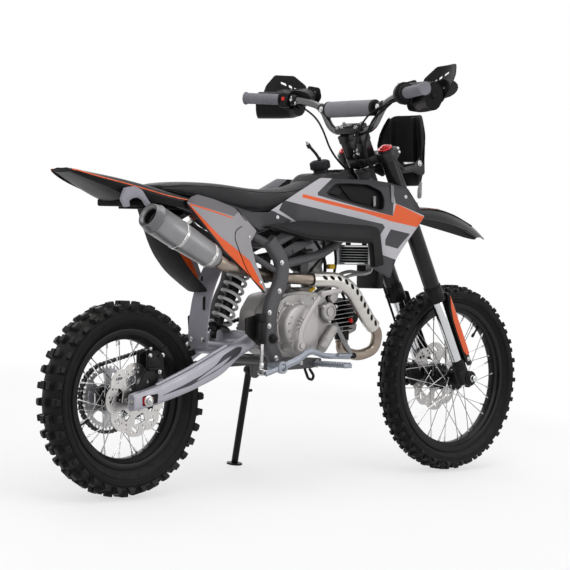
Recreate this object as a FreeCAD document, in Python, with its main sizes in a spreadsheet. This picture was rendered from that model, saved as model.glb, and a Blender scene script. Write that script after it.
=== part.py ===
import FreeCAD
import Part
import Sketcher
import math
import os
from FreeCAD import Placement, Rotation, Vector

# A pit bike with wire wheels, leaning on its side stand.
# Everything is drawn on the upright bike: X forward, Y to the left, Z up, ground under the rear axle.
# The whole bike is then leaned to the left and its base centred on the origin.

doc = FreeCAD.newDocument("pit_bike")

# Driving sizes in millimetres and degrees: name, value, what it is
size_rows = [
    ("wheelbase", 1298, "rear axle to front axle"),
    ("lean_angle", 7, "lean to the left on the side stand"),
    ("rake_angle", 27, "fork behind the vertical"),
    ("fork_lead", 17, "front axle ahead of the fork legs"),
    ("clamp_offset", 30, "fork legs ahead of the steering axis"),
    ("fork_spacing", 82, "fork leg from the middle"),
    ("rear_tyre_radius", 268, "to the lug tips"),
    ("rear_tyre_half", 47, "half width"),
    ("rear_rim_radius", 192, "flange edge"),
    ("rear_rim_half", 29, "half width"),
    ("front_tyre_radius", 286, "to the lug tips"),
    ("front_tyre_half", 38, "half width"),
    ("front_rim_radius", 231, "flange edge"),
    ("front_rim_half", 23, "half width"),
    ("tyre_shoulder_drop", 24, "shoulder of the carcass below the lug tips"),
    ("tyre_wall", 10, "tyre thickness"),
    ("tread_base", 13, "tread floor below the lug tips"),
    ("crown_half", 12, "half width of the middle row of lugs"),
    ("crown_floor", 15, "half width of the level part of the tread floor"),
    ("lug_length", 28, "lug length round the tyre"),
    ("shoulder_step", 9, "shoulder lugs below the middle row"),
    ("rear_lugs", 32, "lugs in each row of the rear tyre"),
    ("front_lugs", 36, "lugs in each row of the front tyre"),
    ("rim_wall", 4, "rim thickness"),
    ("bead_depth", 13, "rim flange above the bead seat"),
    ("axle_radius", 7.5, "both axles"),
    ("axle_hollow", 4, "bore through the axles"),
    ("axle_play", 0.08, "running clearance in the hubs"),
    ("hub_half", 66, "half length of a hub"),
    ("hub_barrel", 22, "hub barrel radius"),
    ("hub_flange", 40, "spoke flange radius"),
    ("flange_place", 33, "spoke flange from the middle"),
    ("flange_plate", 5, "spoke flange thickness"),
    ("spoke_thick", 2.6, "spoke section"),
    ("seat_gap", 0.3, "gap where one piece seats on another"),
    ("rear_disc_radius", 100, "rear brake disc"),
    ("front_disc_radius", 105, "front brake disc"),
    ("disc_plate", 4, "brake disc thickness"),
    ("disc_place", 56, "disc middle from the wheel middle"),
    ("sprocket_place", 62, "sprocket middle from the wheel middle"),
    ("sprocket_plate", 5, "sprocket thickness"),
    ("sprocket_teeth", 41, "teeth on the sprocket"),
    ("chain_pitch", 12.7, "chain pitch"),
    ("chain_depth", 11, "height of a chain link at its pins"),
    ("chain_waist", 3, "height that a link loses between its pins"),
    ("chain_half", 7, "half width of the chain"),
    ("chain_clear", 3, "chain clear of the sprocket tips"),
    ("drive_x", 498, "engine sprocket, ahead of the rear axle"),
    ("drive_z", 445, "engine sprocket, above the ground"),
    ("drive_radius", 27, "engine sprocket tip radius"),
    ("pivot_x", 439, "swingarm pivot ahead of the rear axle"),
    ("pivot_z", 427, "swingarm pivot above the ground"),
    ("pivot_radius", 16, "swingarm pivot tube"),
    ("arm_inner", 84, "swingarm inner face at the axle"),
    ("cross_ahead", 62, "swingarm cross tube ahead of the rear tyre"),
    ("flap_clear", 4, "mud flap ahead of the rear tyre"),
    ("arm_outer", 112, "swingarm outer face at the axle"),
    ("spar_inner", 98, "frame leg inner face"),
    ("spar_outer", 126, "frame leg outer face"),
    ("spar_depth", 42, "frame leg width seen from the side"),
    ("head_radius", 27, "head tube"),
    ("head_low", 600, "head tube lower end along the steering axis"),
    ("head_high", 742, "head tube upper end along the steering axis"),
    ("stem_hollow", 8, "bore through the steering stem"),
    ("fork_tube_radius", 25, "outer fork tube"),
    ("fork_leg_radius", 17.5, "chromed fork leg"),
    ("fork_tube_low", 278, "outer tube lower end along the fork"),
    ("fork_tube_high", 783, "outer tube upper end along the fork"),
    ("lower_clamp", 566, "lower clamp underside along the fork"),
    ("upper_clamp", 748, "upper clamp underside along the fork"),
    ("clamp_plate", 30, "clamp height"),
    ("bar_radius", 11, "handlebar tube"),
    ("bar_rise", 73.3, "handlebar above the fork tubes, along the fork"),
    ("bar_ahead", 3, "handlebar ahead of the steering axis"),
    ("grip_radius", 17, "grip"),
    ("grip_length", 122, "grip length"),
    ("bar_end", 379, "handlebar end from the middle"),
    ("pad_radius", 24, "crossbar pad"),
    ("pipe_radius", 16, "exhaust pipe"),
    ("shield_radius", 22, "exhaust heat shield"),
    ("muffler_radius", 41, "muffler body at its rear"),
    ("muffler_nose", 34, "muffler body at its front"),
    ("clutch_radius", 66, "clutch cover"),
    ("clutch_x", 545, "clutch cover centre ahead of the rear axle"),
    ("clutch_z", 457, "clutch cover centre above the ground"),
    ("kick_x", 510, "kick starter shaft ahead of the rear axle"),
    ("kick_z", 406, "kick starter shaft above the ground"),
    ("kick_seat", 152, "kick starter boss face from the middle"),
    ("panel_wall", 3, "plastic body panels"),
    ("shroud_tilt", 8, "shroud leaning inward at its top"),
    ("stand_x", 590, "side stand pivot ahead of the rear axle"),
    ("stand_y", 136, "side stand pivot from the middle"),
    ("stand_z", 322, "side stand pivot above the ground"),
    ("stand_foot_x", 655, "side stand foot ahead of the rear axle"),
    ("stand_foot_y", 268, "side stand foot from the middle"),
    ("stand_tilt", 18.6, "side stand hinge, outer end up"),
    ("stand_bolt", 6, "side stand hinge bolt radius"),
    ("hinge_play", 0.08, "running clearance on the hinge bolt"),
    ("stand_radius", 10, "side stand leg"),
    ("stand_foot_radius", 24, "side stand foot"),
    ("peg_x", 618, "footpegs ahead of the rear axle"),
    ("peg_z", 352, "footpegs above the ground"),
    ("peg_inner", 118, "footpeg bracket outer face from the middle"),
    ("peg_outer", 250, "footpeg tip from the middle"),
]
sheet = doc.addObject("Spreadsheet::Sheet", "sizes")
for row, (name, amount, note) in enumerate(size_rows, 1):
    sheet.set(f"A{row}", name)
    sheet.set(f"B{row}", str(amount))
    sheet.set(f"C{row}", note)
    sheet.setAlias(f"B{row}", name)
doc.recompute()


class Dimensions:
    def __getattr__(self, name):
        return float(getattr(sheet, name))


dim = Dimensions()
upright = Placement()
forward, left, up = Vector(1, 0, 0), Vector(0, 1, 0), Vector(0, 0, 1)
rake = Rotation(left, -dim.rake_angle)
rear_axle = Vector(0, 0, dim.rear_tyre_radius)
front_axle = Vector(dim.wheelbase, 0, dim.front_tyre_radius)
fork_frame = Placement(front_axle, rake)
rear_wheel_frame = Placement(rear_axle, Rotation())
front_wheel_frame = Placement(front_axle, Rotation())
steering_n = -(dim.fork_lead + dim.clamp_offset)
leg_n = -dim.fork_lead
bar_centre = fork_frame.multVec(Vector(steering_n + dim.bar_ahead, 0, dim.fork_tube_high + dim.bar_rise))
fender_root = fork_frame.multVec(Vector(leg_n, 0, dim.lower_clamp))
cross_x = dim.rear_tyre_radius + dim.cross_ahead
stand_pivot = Vector(dim.stand_x, dim.stand_y, dim.stand_z)
stand_axis = Vector(0, math.cos(math.radians(dim.stand_tilt)), math.sin(math.radians(dim.stand_tilt)))
pieces = {}


def keep(label, thing, frame=upright):
    thing.Label = label
    pieces[label] = (thing, frame)
    return thing


def shape_piece(label, shape, frame=upright):
    thing = doc.addObject("Part::Feature", label)
    thing.Shape = shape
    return keep(label, thing, frame)


# Outlines: points in a plane, a third entry "arc" marks a point that an arc passes through
def outline_wire(points, to_space):
    edges = []
    count = len(points)
    index = 0
    while index < count:
        start = points[index]
        after = points[(index + 1) % count]
        if len(after) == 3:
            end = points[(index + 2) % count]
            edges.append(Part.Arc(to_space(*start[:2]), to_space(*after[:2]), to_space(*end[:2])).toShape())
            index += 2
        else:
            edges.append(Part.makeLine(to_space(*start[:2]), to_space(*after[:2])))
            index += 1
    return Part.Wire(edges)


def side_slab(points, low_y, high_y):
    wire = outline_wire(points, lambda x, z: Vector(x, low_y, z))
    return Part.Face(wire).extrude(Vector(0, high_y - low_y, 0))


def top_slab(points, low_z, high_z):
    wire = outline_wire(points, lambda x, y: Vector(x, y, low_z))
    return Part.Face(wire).extrude(Vector(0, 0, high_z - low_z))


def front_slab(points, low_x, high_x):
    wire = outline_wire(points, lambda y, z: Vector(low_x, y, z))
    return Part.Face(wire).extrude(Vector(high_x - low_x, 0, 0))


def rod(radius, start, end):
    run = end - start
    return Part.makeCylinder(radius, run.Length, start, run)


def tapered_rod(radius_start, radius_end, start, end):
    run = end - start
    return Part.makeCone(radius_start, radius_end, run.Length, start, run)


def ring(outer, inner, start, end):
    return rod(outer, start, end).cut(rod(inner, start, end))


def prism(thick, start, end):
    run = end - start
    side = run.cross(left if abs(run.normalize().y) < 0.9 else up).normalize()
    run = end - start
    other = run.cross(side).normalize()
    half = thick / 2
    corners = [(half, half), (-half, half), (-half, -half), (half, -half), (half, half)]
    loop = Part.makePolygon([start + side * a + other * b for a, b in corners])
    return Part.Face(loop).extrude(run)


def path_wire(points, share=0.45):
    # straight runs joined by tangent arcs, each as large as its runs allow
    edges = []
    last = points[0]
    for before, corner, after in zip(points, points[1:], points[2:]):
        into = corner - before
        away = after - corner
        turn = into.getAngle(away)
        reach = share * min(into.Length, away.Length)
        into.normalize()
        away.normalize()
        start = corner - into * reach
        end = corner + away * reach
        radius = reach / math.tan(turn / 2)
        inward = (away - into).normalize()
        middle = corner + inward * (radius / math.cos(turn / 2) - radius)
        if (start - last).Length > 1e-6:
            edges.append(Part.makeLine(last, start))
        edges.append(Part.Arc(start, middle, end).toShape())
        last = end
    edges.append(Part.makeLine(last, points[-1]))
    return Part.Wire(edges)


def swept(points, section, share=0.45):
    path = path_wire(points, share)
    return path.makePipeShell([section], True, False)


def tube(points, radius, share=0.45):
    run = points[1] - points[0]
    section = Part.Wire([Part.Circle(points[0], run, radius).toShape()])
    return swept(points, section, share)


def side_strip(points, depth, low_y, high_y, share=0.45):
    # a strip of constant depth along a path in the side view
    path = path_wire([Vector(x, low_y, z) for x, z in points], share)
    run = Vector(points[1][0] - points[0][0], 0, points[1][1] - points[0][1]).normalize()
    side = run.cross(left)
    start = Vector(points[0][0], low_y, points[0][1])
    corners = [
        start + side * depth / 2,
        start + side * depth / 2 + left * (high_y - low_y),
        start - side * depth / 2 + left * (high_y - low_y),
        start - side * depth / 2,
    ]
    section = Part.makePolygon(corners + corners[:1])
    return path.makePipeShell([section], True, False)


def loft_along_x(stations):
    # stations: distance along X and the outline there as points in Y and Z, every outline with as many points
    wires = []
    for x, points in stations:
        loop = [Vector(x, y, z) for y, z in points]
        wires.append(Part.makePolygon(loop + loop[:1]))
    return Part.makeLoft(wires, True, True)


def mirrored(shape):
    return shape.mirror(Vector(0, 0, 0), left)


def both_sides(shape):
    return Part.makeCompound([shape, mirrored(shape)])


def fused(shapes):
    return shapes[0].multiFuse(shapes[1:]).removeSplitter()


# Bodies made from sketches: every point and radius is bound to the sheet
def origin_part(body, role):
    return [item for item in body.Origin.OriginFeatures if item.Role == role][0]


def new_sketch(body, name, role, offset=None):
    sketch = body.newObject("Sketcher::SketchObject", name)
    sketch.AttachmentSupport = [(origin_part(body, role), "")]
    sketch.MapMode = "FlatFace"
    if offset:
        sketch.setExpression("AttachmentOffset.Base.z", offset)
    return sketch


def place_point(sketch, element, vertex, across, along):
    first, second = sketch.evalExpression(across), sketch.evalExpression(along)
    for kind, amount, words in (("DistanceX", first, across), ("DistanceY", second, along)):
        number = sketch.addConstraint(Sketcher.Constraint(kind, -1, 1, element, vertex, float(amount)))
        title = f"{kind}{element}_{vertex}"
        sketch.renameConstraint(number, title)
        sketch.setExpression(f"Constraints.{title}", words)


def outline_sketch(body, name, role, points, offset=None):
    sketch = new_sketch(body, name, role, offset)
    spots = [Vector(float(sketch.evalExpression(p[0])), float(sketch.evalExpression(p[1])), 0) for p in points]
    corners = [number for number, point in enumerate(points) if len(point) == 2]
    elements = []
    for place, corner in enumerate(corners):
        target = corners[(place + 1) % len(corners)]
        if (corner + 1) % len(points) == target:
            element = sketch.addGeometry(Part.LineSegment(spots[corner], spots[target]))
        else:
            arc = Part.Arc(spots[corner], spots[(corner + 1) % len(points)], spots[target])
            element = sketch.addGeometry(arc)
        elements.append((element, corner, target))
    for place, (element, corner, target) in enumerate(elements):
        is_arc = (corner + 1) % len(points) != target
        start_vertex = 1
        if is_arc:
            start = sketch.getPoint(element, 1)
            start_vertex = 1 if (start - spots[corner]).Length < 1e-3 else 2
        place_point(sketch, element, start_vertex, *points[corner][:2])
        if is_arc:
            via = points[(corner + 1) % len(points)]
            spot = sketch.addGeometry(Part.Point(spots[(corner + 1) % len(points)]), True)
            place_point(sketch, spot, 1, via[0], via[1])
            sketch.addConstraint(Sketcher.Constraint("PointOnObject", spot, 1, element))
        follower = elements[(place + 1) % len(elements)]
        next_vertex = 1
        if (follower[1] + 1) % len(points) != follower[2]:
            begin = sketch.getPoint(follower[0], 1)
            next_vertex = 1 if (begin - spots[follower[1]]).Length < 1e-3 else 2
        end_vertex = 3 - start_vertex
        sketch.addConstraint(Sketcher.Constraint("Coincident", element, end_vertex, follower[0], next_vertex))
    return sketch


def turned_body(label, points, frame):
    # a solid of revolution about its own Y axis; points are radius and place along the axle
    body = doc.addObject("PartDesign::Body", label)
    sketch = outline_sketch(body, label + "_section", "XY_Plane", points)
    turn = body.newObject("PartDesign::Revolution", label + "_turn")
    turn.Profile = sketch
    turn.ReferenceAxis = (sketch, ["V_Axis"])
    turn.Angle = 360
    return keep(label, body, frame)


def cut_pattern(body, name, points, place, count):
    # one opening cut through the plate and repeated about the axle
    sketch = outline_sketch(body, name + "_outline", "XZ_Plane", points, place)
    doc.recompute()
    before = body.Shape.Volume
    pocket = body.newObject("PartDesign::Pocket", name + "_cut")
    pocket.Profile = sketch
    pocket.Type = "ThroughAll"
    pocket.SideType = "Symmetric"
    doc.recompute()
    if body.Shape.Volume >= before:
        raise ValueError(name + " cuts nothing")
    pattern = body.newObject("PartDesign::PolarPattern", name + "_ring")
    pattern.Originals = [pocket]
    pattern.Axis = (origin_part(body, "Y_Axis"), [""])
    pattern.Angle = 360
    pattern.Occurrences = count
    body.Tip = pattern


def lug_row(body, name, tip, root, place, width, count, turn):
    # one lug standing on the tread floor and repeated about the axle
    corners = [(root, "-0.55"), (tip, "-0.5"), (tip, "0.5"), (root, "0.55")]
    points = []
    for radius, share in corners:
        along = f"({share} * sizes.lug_length)"
        points.append((f"{radius} * cos({turn}) - {along} * sin({turn})", f"{radius} * sin({turn}) + {along} * cos({turn})"))
    sketch = outline_sketch(body, name + "_outline", "XZ_Plane", points, place)
    pad = body.newObject("PartDesign::Pad", name + "_pad")
    pad.Profile = sketch
    pad.SideType = "Symmetric"
    pad.setExpression("Length", width)
    doc.recompute()
    pattern = body.newObject("PartDesign::PolarPattern", name + "_ring")
    pattern.Originals = [pad]
    pattern.Axis = (origin_part(body, "Y_Axis"), [""])
    pattern.Angle = 360
    pattern.Occurrences = count
    body.Tip = pattern
    doc.recompute()


# Wheels: side, tyre, rim and hub names share the same prefix
def wheel(side, frame, disc_side):
    s = "sizes." + side
    flange = f"{s}_rim_radius"
    seat = f"({flange} - sizes.bead_depth)"
    half = f"{s}_rim_half"
    bead = f"({half} - 3 - sizes.seat_gap)"
    belly = f"(({s}_tyre_radius + {flange}) / 2 - 4)"
    shoulder = f"({s}_tyre_radius - sizes.tyre_shoulder_drop)"
    edge = f"({s}_tyre_half - 3)"
    tread = f"({s}_tyre_radius - sizes.tread_base)"
    inside = f"({s}_tyre_radius - sizes.tyre_shoulder_drop - 4)"
    tyre_points = [
        (f"{seat} + sizes.seat_gap", bead),
        (f"{flange} + 2", bead),
        (f"{belly} - 14", f"{s}_tyre_half - 3"),
        (f"{belly} - 2", f"{s}_tyre_half"),
        (f"{belly} + 8", f"{s}_tyre_half"),
        (shoulder, edge),
        (tread, "sizes.crown_floor"),
        (tread, "-sizes.crown_floor"),
        (shoulder, f"-{edge}"),
        (f"{belly} + 8", f"-{s}_tyre_half"),
        (f"{belly} - 2", f"-{s}_tyre_half"),
        (f"{belly} - 14", f"-({s}_tyre_half - 3)"),
        (f"{flange} + 2", f"-{bead}"),
        (f"{seat} + sizes.seat_gap", f"-{bead}"),
        (f"{seat} + sizes.seat_gap", f"-({bead} - 9)"),
        (belly, f"-({s}_tyre_half - sizes.tyre_wall)"),
        (inside, f"-({s}_tyre_half / 2)"),
        (inside, f"{s}_tyre_half / 2"),
        (belly, f"{s}_tyre_half - sizes.tyre_wall"),
        (f"{seat} + sizes.seat_gap", f"{bead} - 9"),
    ]
    tyre = turned_body(f"{side}_tyre", tyre_points, frame)
    lugs = int(getattr(dim, side + "_lugs"))
    tip = f"{s}_tyre_radius"
    doc.recompute()
    lug_row(tyre, f"{side}_crown_lugs", tip, f"({tread} - 3)", "0", "2 * sizes.crown_half", lugs, "0 deg")
    outer_edge = f"({s}_tyre_half - 6)"
    inner_edge = "(sizes.crown_floor + 2)"
    middle = f"(({outer_edge} + {inner_edge}) / 2)"
    for number, sign in enumerate(("", "-")):
        lug_row(tyre, f"{side}_shoulder_lugs_{number}", f"({tip} - sizes.shoulder_step)", f"({tip} - sizes.tyre_shoulder_drop - 1)",
                f"{sign}{middle}", f"{outer_edge} - {inner_edge}", lugs, f"(180 deg / {s}_lugs)")
    well = f"({seat} - 13)"
    rim_points = [
        (flange, half),
        (flange, f"{half} - 3"),
        (seat, f"{half} - 3"),
        (seat, f"{half} - 11"),
        (well, "10"),
        (well, "-10"),
        (seat, f"-({half} - 11)"),
        (seat, f"-({half} - 3)"),
        (flange, f"-({half} - 3)"),
        (flange, f"-{half}"),
        (f"{seat} - sizes.rim_wall", f"-{half}"),
        (f"{seat} - sizes.rim_wall", f"-({half} - 9)"),
        (f"{well} - sizes.rim_wall", "-11"),
        (f"{well} - sizes.rim_wall", "11"),
        (f"{seat} - sizes.rim_wall", f"{half} - 9"),
        (f"{seat} - sizes.rim_wall", half),
    ]
    turned_body(f"{side}_rim", rim_points, frame)
    bore = "(sizes.axle_radius + sizes.axle_play)"
    inner_face = "(sizes.flange_place - sizes.flange_plate / 2)"
    outer_face = "(sizes.flange_place + sizes.flange_plate / 2)"
    carrier = "(sizes.disc_place - sizes.disc_plate / 2)"
    sign = "-" if disc_side < 0 else ""
    other = "" if disc_side < 0 else "-"
    far_end = "sizes.hub_half"
    far_carrier = "(sizes.sprocket_place - sizes.sprocket_plate / 2)"
    hub_points = [
        (bore, f"{sign}sizes.hub_half"),
        ("sizes.hub_barrel - 2", f"{sign}sizes.hub_half"),
        ("sizes.hub_barrel - 2", f"{sign}{carrier}"),
        ("sizes.hub_flange - 2", f"{sign}{carrier}"),
        ("sizes.hub_flange - 2", f"{sign}({carrier} - 7)"),
        ("sizes.hub_barrel", f"{sign}({carrier} - 9)"),
        ("sizes.hub_barrel", f"{sign}{outer_face}"),
        ("sizes.hub_flange", f"{sign}{outer_face}"),
        ("sizes.hub_flange", f"{sign}{inner_face}"),
        ("sizes.hub_barrel", f"{sign}({inner_face} - 4)"),
        ("sizes.hub_barrel", f"{other}({inner_face} - 4)"),
        ("sizes.hub_flange", f"{other}{inner_face}"),
        ("sizes.hub_flange", f"{other}{outer_face}"),
        ("sizes.hub_barrel", f"{other}{outer_face}"),
    ]
    if side == "rear":
        hub_points += [
            ("sizes.hub_barrel", f"{other}({far_carrier} - 9)"),
            ("sizes.hub_flange - 2", f"{other}({far_carrier} - 7)"),
            ("sizes.hub_flange - 2", f"{other}{far_carrier}"),
            ("sizes.hub_barrel - 2", f"{other}{far_carrier}"),
        ]
    hub_points += [("sizes.hub_barrel", f"{other}{far_end}"), (bore, f"{other}{far_end}")]
    if side == "rear":
        hub_points[-2] = ("sizes.hub_barrel - 2", f"{other}{far_end}")
    turned_body(f"{side}_hub", hub_points, frame)

    # spokes: laced tangentially, each on its own face of its flange
    spokes = []
    hole_radius = dim.hub_flange - 3
    rim_reach = getattr(dim, side + "_rim_radius") - dim.bead_depth - 13 - dim.rim_wall - dim.seat_gap - 0.5
    outside, inside = dim.spoke_thick * 1.45 + dim.seat_gap, dim.spoke_thick
    per_face = 9
    for flange_side in (-1, 1):
        for face, swing in ((1, 62), (-1, -62)):
            for number in range(per_face):
                turn = 360 / per_face * (number + (0.25 if flange_side > 0 else 0)) + (20 if face > 0 else 0)
                start = Vector(
                    hole_radius * math.cos(math.radians(turn)),
                    flange_side * (dim.flange_place + face * (dim.flange_plate / 2 + (outside if face > 0 else inside))),
                    hole_radius * math.sin(math.radians(turn)),
                )
                far = turn + swing
                end = Vector(
                    rim_reach * math.cos(math.radians(far)),
                    flange_side * (6 + 2.4 * face),
                    rim_reach * math.sin(math.radians(far)),
                )
                spokes.append(prism(dim.spoke_thick, start, end))
    shape_piece(f"{side}_spokes", Part.makeCompound(spokes), frame)

    # brake disc: a waved edge, drilled slots and windows round the hub
    disc = doc.addObject("PartDesign::Body", f"{side}_disc")
    place = f"-({'-' if disc_side < 0 else ''}sizes.disc_place)"
    radius = f"sizes.{side}_disc_radius"
    lobes = 10
    edge_points = []
    for lobe in range(lobes):
        for step, share in ((0, 1), (0.5, 1), (0.75, 0.95)):
            angle = 360 / lobes * (lobe + step)
            edge_points.append((f"{radius} * {share} * cos({angle} deg)", f"{radius} * {share} * sin({angle} deg)"))
    sketch = outline_sketch(disc, f"{side}_disc_outline", "XZ_Plane", edge_points, place)
    bolt_circle = sketch.addGeometry(Part.Circle(Vector(0, 0, 0), Vector(0, 0, 1), dim.hub_barrel))
    sketch.addConstraint(Sketcher.Constraint("Coincident", bolt_circle, 3, -1, 1))
    number = sketch.addConstraint(Sketcher.Constraint("Radius", bolt_circle, dim.hub_barrel))
    sketch.renameConstraint(number, "centre_hole")
    sketch.setExpression("Constraints.centre_hole", "sizes.hub_barrel - 2 + sizes.seat_gap")
    pad = disc.newObject("PartDesign::Pad", f"{side}_disc_pad")
    pad.Profile = sketch
    pad.SideType = "Symmetric"
    pad.setExpression("Length", "sizes.disc_plate")
    slot = [
        (f"{radius} * 0.74", "-4"),
        (f"{radius} * 0.88", "2"),
        (f"{radius} * 0.88", "8"),
        (f"{radius} * 0.74", "2"),
    ]
    cut_pattern(disc, f"{side}_disc_slot", slot, place, lobes)
    window = [
        (f"{radius} * 0.46", "-12"),
        (f"{radius} * 0.64", "-17"),
        (f"{radius} * 0.64", "17"),
        (f"{radius} * 0.46", "12"),
    ]
    cut_pattern(disc, f"{side}_disc_window", window, place, 6)
    keep(f"{side}_disc", disc, frame)


wheel("rear", rear_wheel_frame, -1)
wheel("front", front_wheel_frame, 1)


def sprocket():
    body = doc.addObject("PartDesign::Body", "sprocket")
    teeth = int(dim.sprocket_teeth)
    pitch = "(sizes.chain_pitch / (2 * sin(180 deg / sizes.sprocket_teeth)))"
    points = []
    for tooth in range(teeth):
        for step, change in ((0, -4), (0.4, 4.5), (0.6, 4.5)):
            angle = f"({tooth + step} * 360 deg / sizes.sprocket_teeth)"
            points.append((f"({pitch} + {change}) * cos{angle}", f"({pitch} + {change}) * sin{angle}"))
    place = "-sizes.sprocket_place"
    sketch = outline_sketch(body, "sprocket_outline", "XZ_Plane", points, place)
    centre = sketch.addGeometry(Part.Circle(Vector(0, 0, 0), Vector(0, 0, 1), dim.hub_barrel))
    sketch.addConstraint(Sketcher.Constraint("Coincident", centre, 3, -1, 1))
    number = sketch.addConstraint(Sketcher.Constraint("Radius", centre, dim.hub_barrel))
    sketch.renameConstraint(number, "centre_hole")
    sketch.setExpression("Constraints.centre_hole", "sizes.hub_barrel - 2 + sizes.seat_gap")
    pad = body.newObject("PartDesign::Pad", "sprocket_pad")
    pad.Profile = sketch
    pad.SideType = "Symmetric"
    pad.setExpression("Length", "sizes.sprocket_plate")
    window = [("44", "-14"), ("70", "-22"), ("70", "22"), ("44", "14")]
    cut_pattern(body, "sprocket_window", window, place, 6)
    keep("sprocket", body, rear_wheel_frame)


sprocket()


# Chassis
def arm_line(x):
    # height of the line from the rear axle to the swingarm pivot
    return rear_axle.z + (dim.pivot_z - rear_axle.z) * x / dim.pivot_x


def swingarm():
    # stations along the arm: x, underside and top from the line of the arm, inner face, outer face
    stations = [
        (-40, -7.5, 34.5, 84, 112),
        (43, -21.6, 25.4, 84, 112),
        (163, -36, 24, 81, 110),
        (255, -38.4, 29.6, 76, 106),
        (301, -30, 31, 73, 103),
        (372, -10.7, 35.3, 66, 96),
        (dim.pivot_x + 4, -21.4, 18.6, 64, 94),
    ]
    shift = dim.arm_inner - 84
    sections = []
    for x, below, above, inner, outer in stations:
        bevel = 7
        low, high = arm_line(x) + below, arm_line(x) + above
        points = [
            (inner + shift, low), (outer - bevel, low), (outer, low + bevel), (outer, high - bevel),
            (outer - bevel, high), (inner + shift, high),
        ]
        sections.append((x, points))
    arm = loft_along_x(sections)
    level = rear_axle.z
    slot = side_slab([(-22, level - 12), (30, level - 6), (30, level + 20), (-22, level + 12)], 70, 130)
    arm = arm.cut(slot)
    cross_z = arm_line(cross_x) + 12.5
    cross = rod(19, Vector(cross_x, -80, cross_z), Vector(cross_x, 80, cross_z))
    pivot = ring(dim.pivot_radius + 3, dim.pivot_radius - 4, Vector(dim.pivot_x, -94, dim.pivot_z),
                 Vector(dim.pivot_x, 94, dim.pivot_z))
    lug_outline = [(cross_x - 8, cross_z - 2), (cross_x + 15, cross_z), (cross_x + 18, cross_z + 52), (cross_x, cross_z + 52)]
    lug = side_slab(lug_outline, 14, 20)
    shape = fused([arm, mirrored(arm), cross, pivot, lug, mirrored(lug)])
    hollow = rod(dim.pivot_radius - 4, Vector(dim.pivot_x, -100, dim.pivot_z), Vector(dim.pivot_x, 100, dim.pivot_z))
    shape_piece("swingarm", shape.cut(hollow))

    blocks = []
    for side in (-1, 1):
        inner, outer = sorted((side * (dim.arm_inner + 2), side * (dim.arm_outer + 3)))
        block = side_slab([(-16, level - 9), (16, level - 6), (16, level + 12), (-16, level + 10)], inner, outer)
        blocks.append(block)
    reach = dim.arm_outer + 14
    parts = [rod(dim.axle_radius, Vector(0, -reach, rear_axle.z), Vector(0, reach, rear_axle.z))]
    for side in (-1, 1):
        start = Vector(0, side * (dim.hub_half + 1), rear_axle.z)
        parts.append(rod(13, start, Vector(0, side * (dim.arm_inner - dim.seat_gap), rear_axle.z)))
        parts.append(rod(12, Vector(0, side * (dim.arm_outer + 3), rear_axle.z),
                         Vector(0, side * (dim.arm_outer + 12), rear_axle.z)))
    axle = fused(parts + blocks)
    bore = rod(dim.axle_hollow, Vector(0, -200, rear_axle.z), Vector(0, 200, rear_axle.z))
    shape_piece("rear_axle", axle.cut(bore))


swingarm()


def steering_point(along):
    # a point on the steering axis of the upright bike
    return fork_frame.multVec(Vector(steering_n, 0, along))


def main_frame():
    low_y, high_y = dim.spar_inner, dim.spar_outer
    leg_path = [(436, 704), (488, 645), (484, 585), (444, 520), (437, 450), (441, 405), (470, 362)]
    leg = side_strip(leg_path, dim.spar_depth, low_y, high_y)
    legs = both_sides(leg)
    shape_piece("frame_legs", legs)

    head_upper = steering_point(dim.head_low + 62)
    head_lower = steering_point(dim.head_low + 22)
    leg_middle = (low_y + high_y) / 2
    shoulder = Vector(452, leg_middle - 2, 692)
    upper = tube([shoulder, Vector(600, 84, 748), Vector(800, 76, 800), head_upper + Vector(-8, 18, 0)], 15)
    knee = Vector(488, leg_middle - 4, 634)
    lower = tube([knee, Vector(700, 84, 668), head_lower + Vector(-8, 16, 0)], 13)
    head = ring(dim.head_radius, dim.head_radius - 6, steering_point(dim.head_low), steering_point(dim.head_high))
    hanger_plate = side_slab([(585, 656), (620, 658), (612, 578), (588, 578)], 77, 84)
    side_parts = [upper, lower, hanger_plate]
    shape = fused([head] + side_parts + [mirrored(part) for part in side_parts])
    bore = rod(dim.head_radius - 6, steering_point(dim.head_low - 5), steering_point(dim.head_high + 5))
    shape = shape.cut(bore).cut(legs)
    shape_piece("main_frame", shape)

    rail_path = [Vector(448, 108, 690), Vector(330, 92, 738), Vector(120, 70, 806), Vector(10, 58, 828)]
    rail = tube(rail_path, 11)
    stay = tube([Vector(480, 106, 612), Vector(330, 84, 690), Vector(190, 74, 778)], 9)
    fender_post = rod(5, Vector(60, 63.5, 815), Vector(60, 63.5, 834.4))
    rails = both_sides(fused([rail, stay, fender_post]))
    subframe = rails.cut(legs).cut(shape)
    shape_piece("subframe", subframe)

    # cross tubes: radius, distance ahead of the rear axle, height, half length
    cross_rows = [
        (14, 462, 694, 105),
        (11, 466, 362, 103.6),
        (9, 600, 590, 80),
        (dim.pivot_radius - 4.5, dim.pivot_x, dim.pivot_z, 132),
        (9, 120, 804, 72),
    ]
    crosses = [rod(radius, Vector(x, -reach, z), Vector(x, reach, z)) for radius, x, z, reach in cross_rows]
    tank_cross = rod(9, Vector(600, -80, 750), Vector(600, 80, 750))
    posts = [rod(8, Vector(600, y, 752), Vector(600, y, 769.3)) for y in (-40, 40)]
    crosses.append(fused([tank_cross] + posts))
    cut_crosses = [cross.cut(legs).cut(shape).cut(subframe) for cross in crosses]
    shape_piece("frame_crosses", Part.makeCompound([solid for cross in cut_crosses for solid in cross.Solids]))


main_frame()


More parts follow.
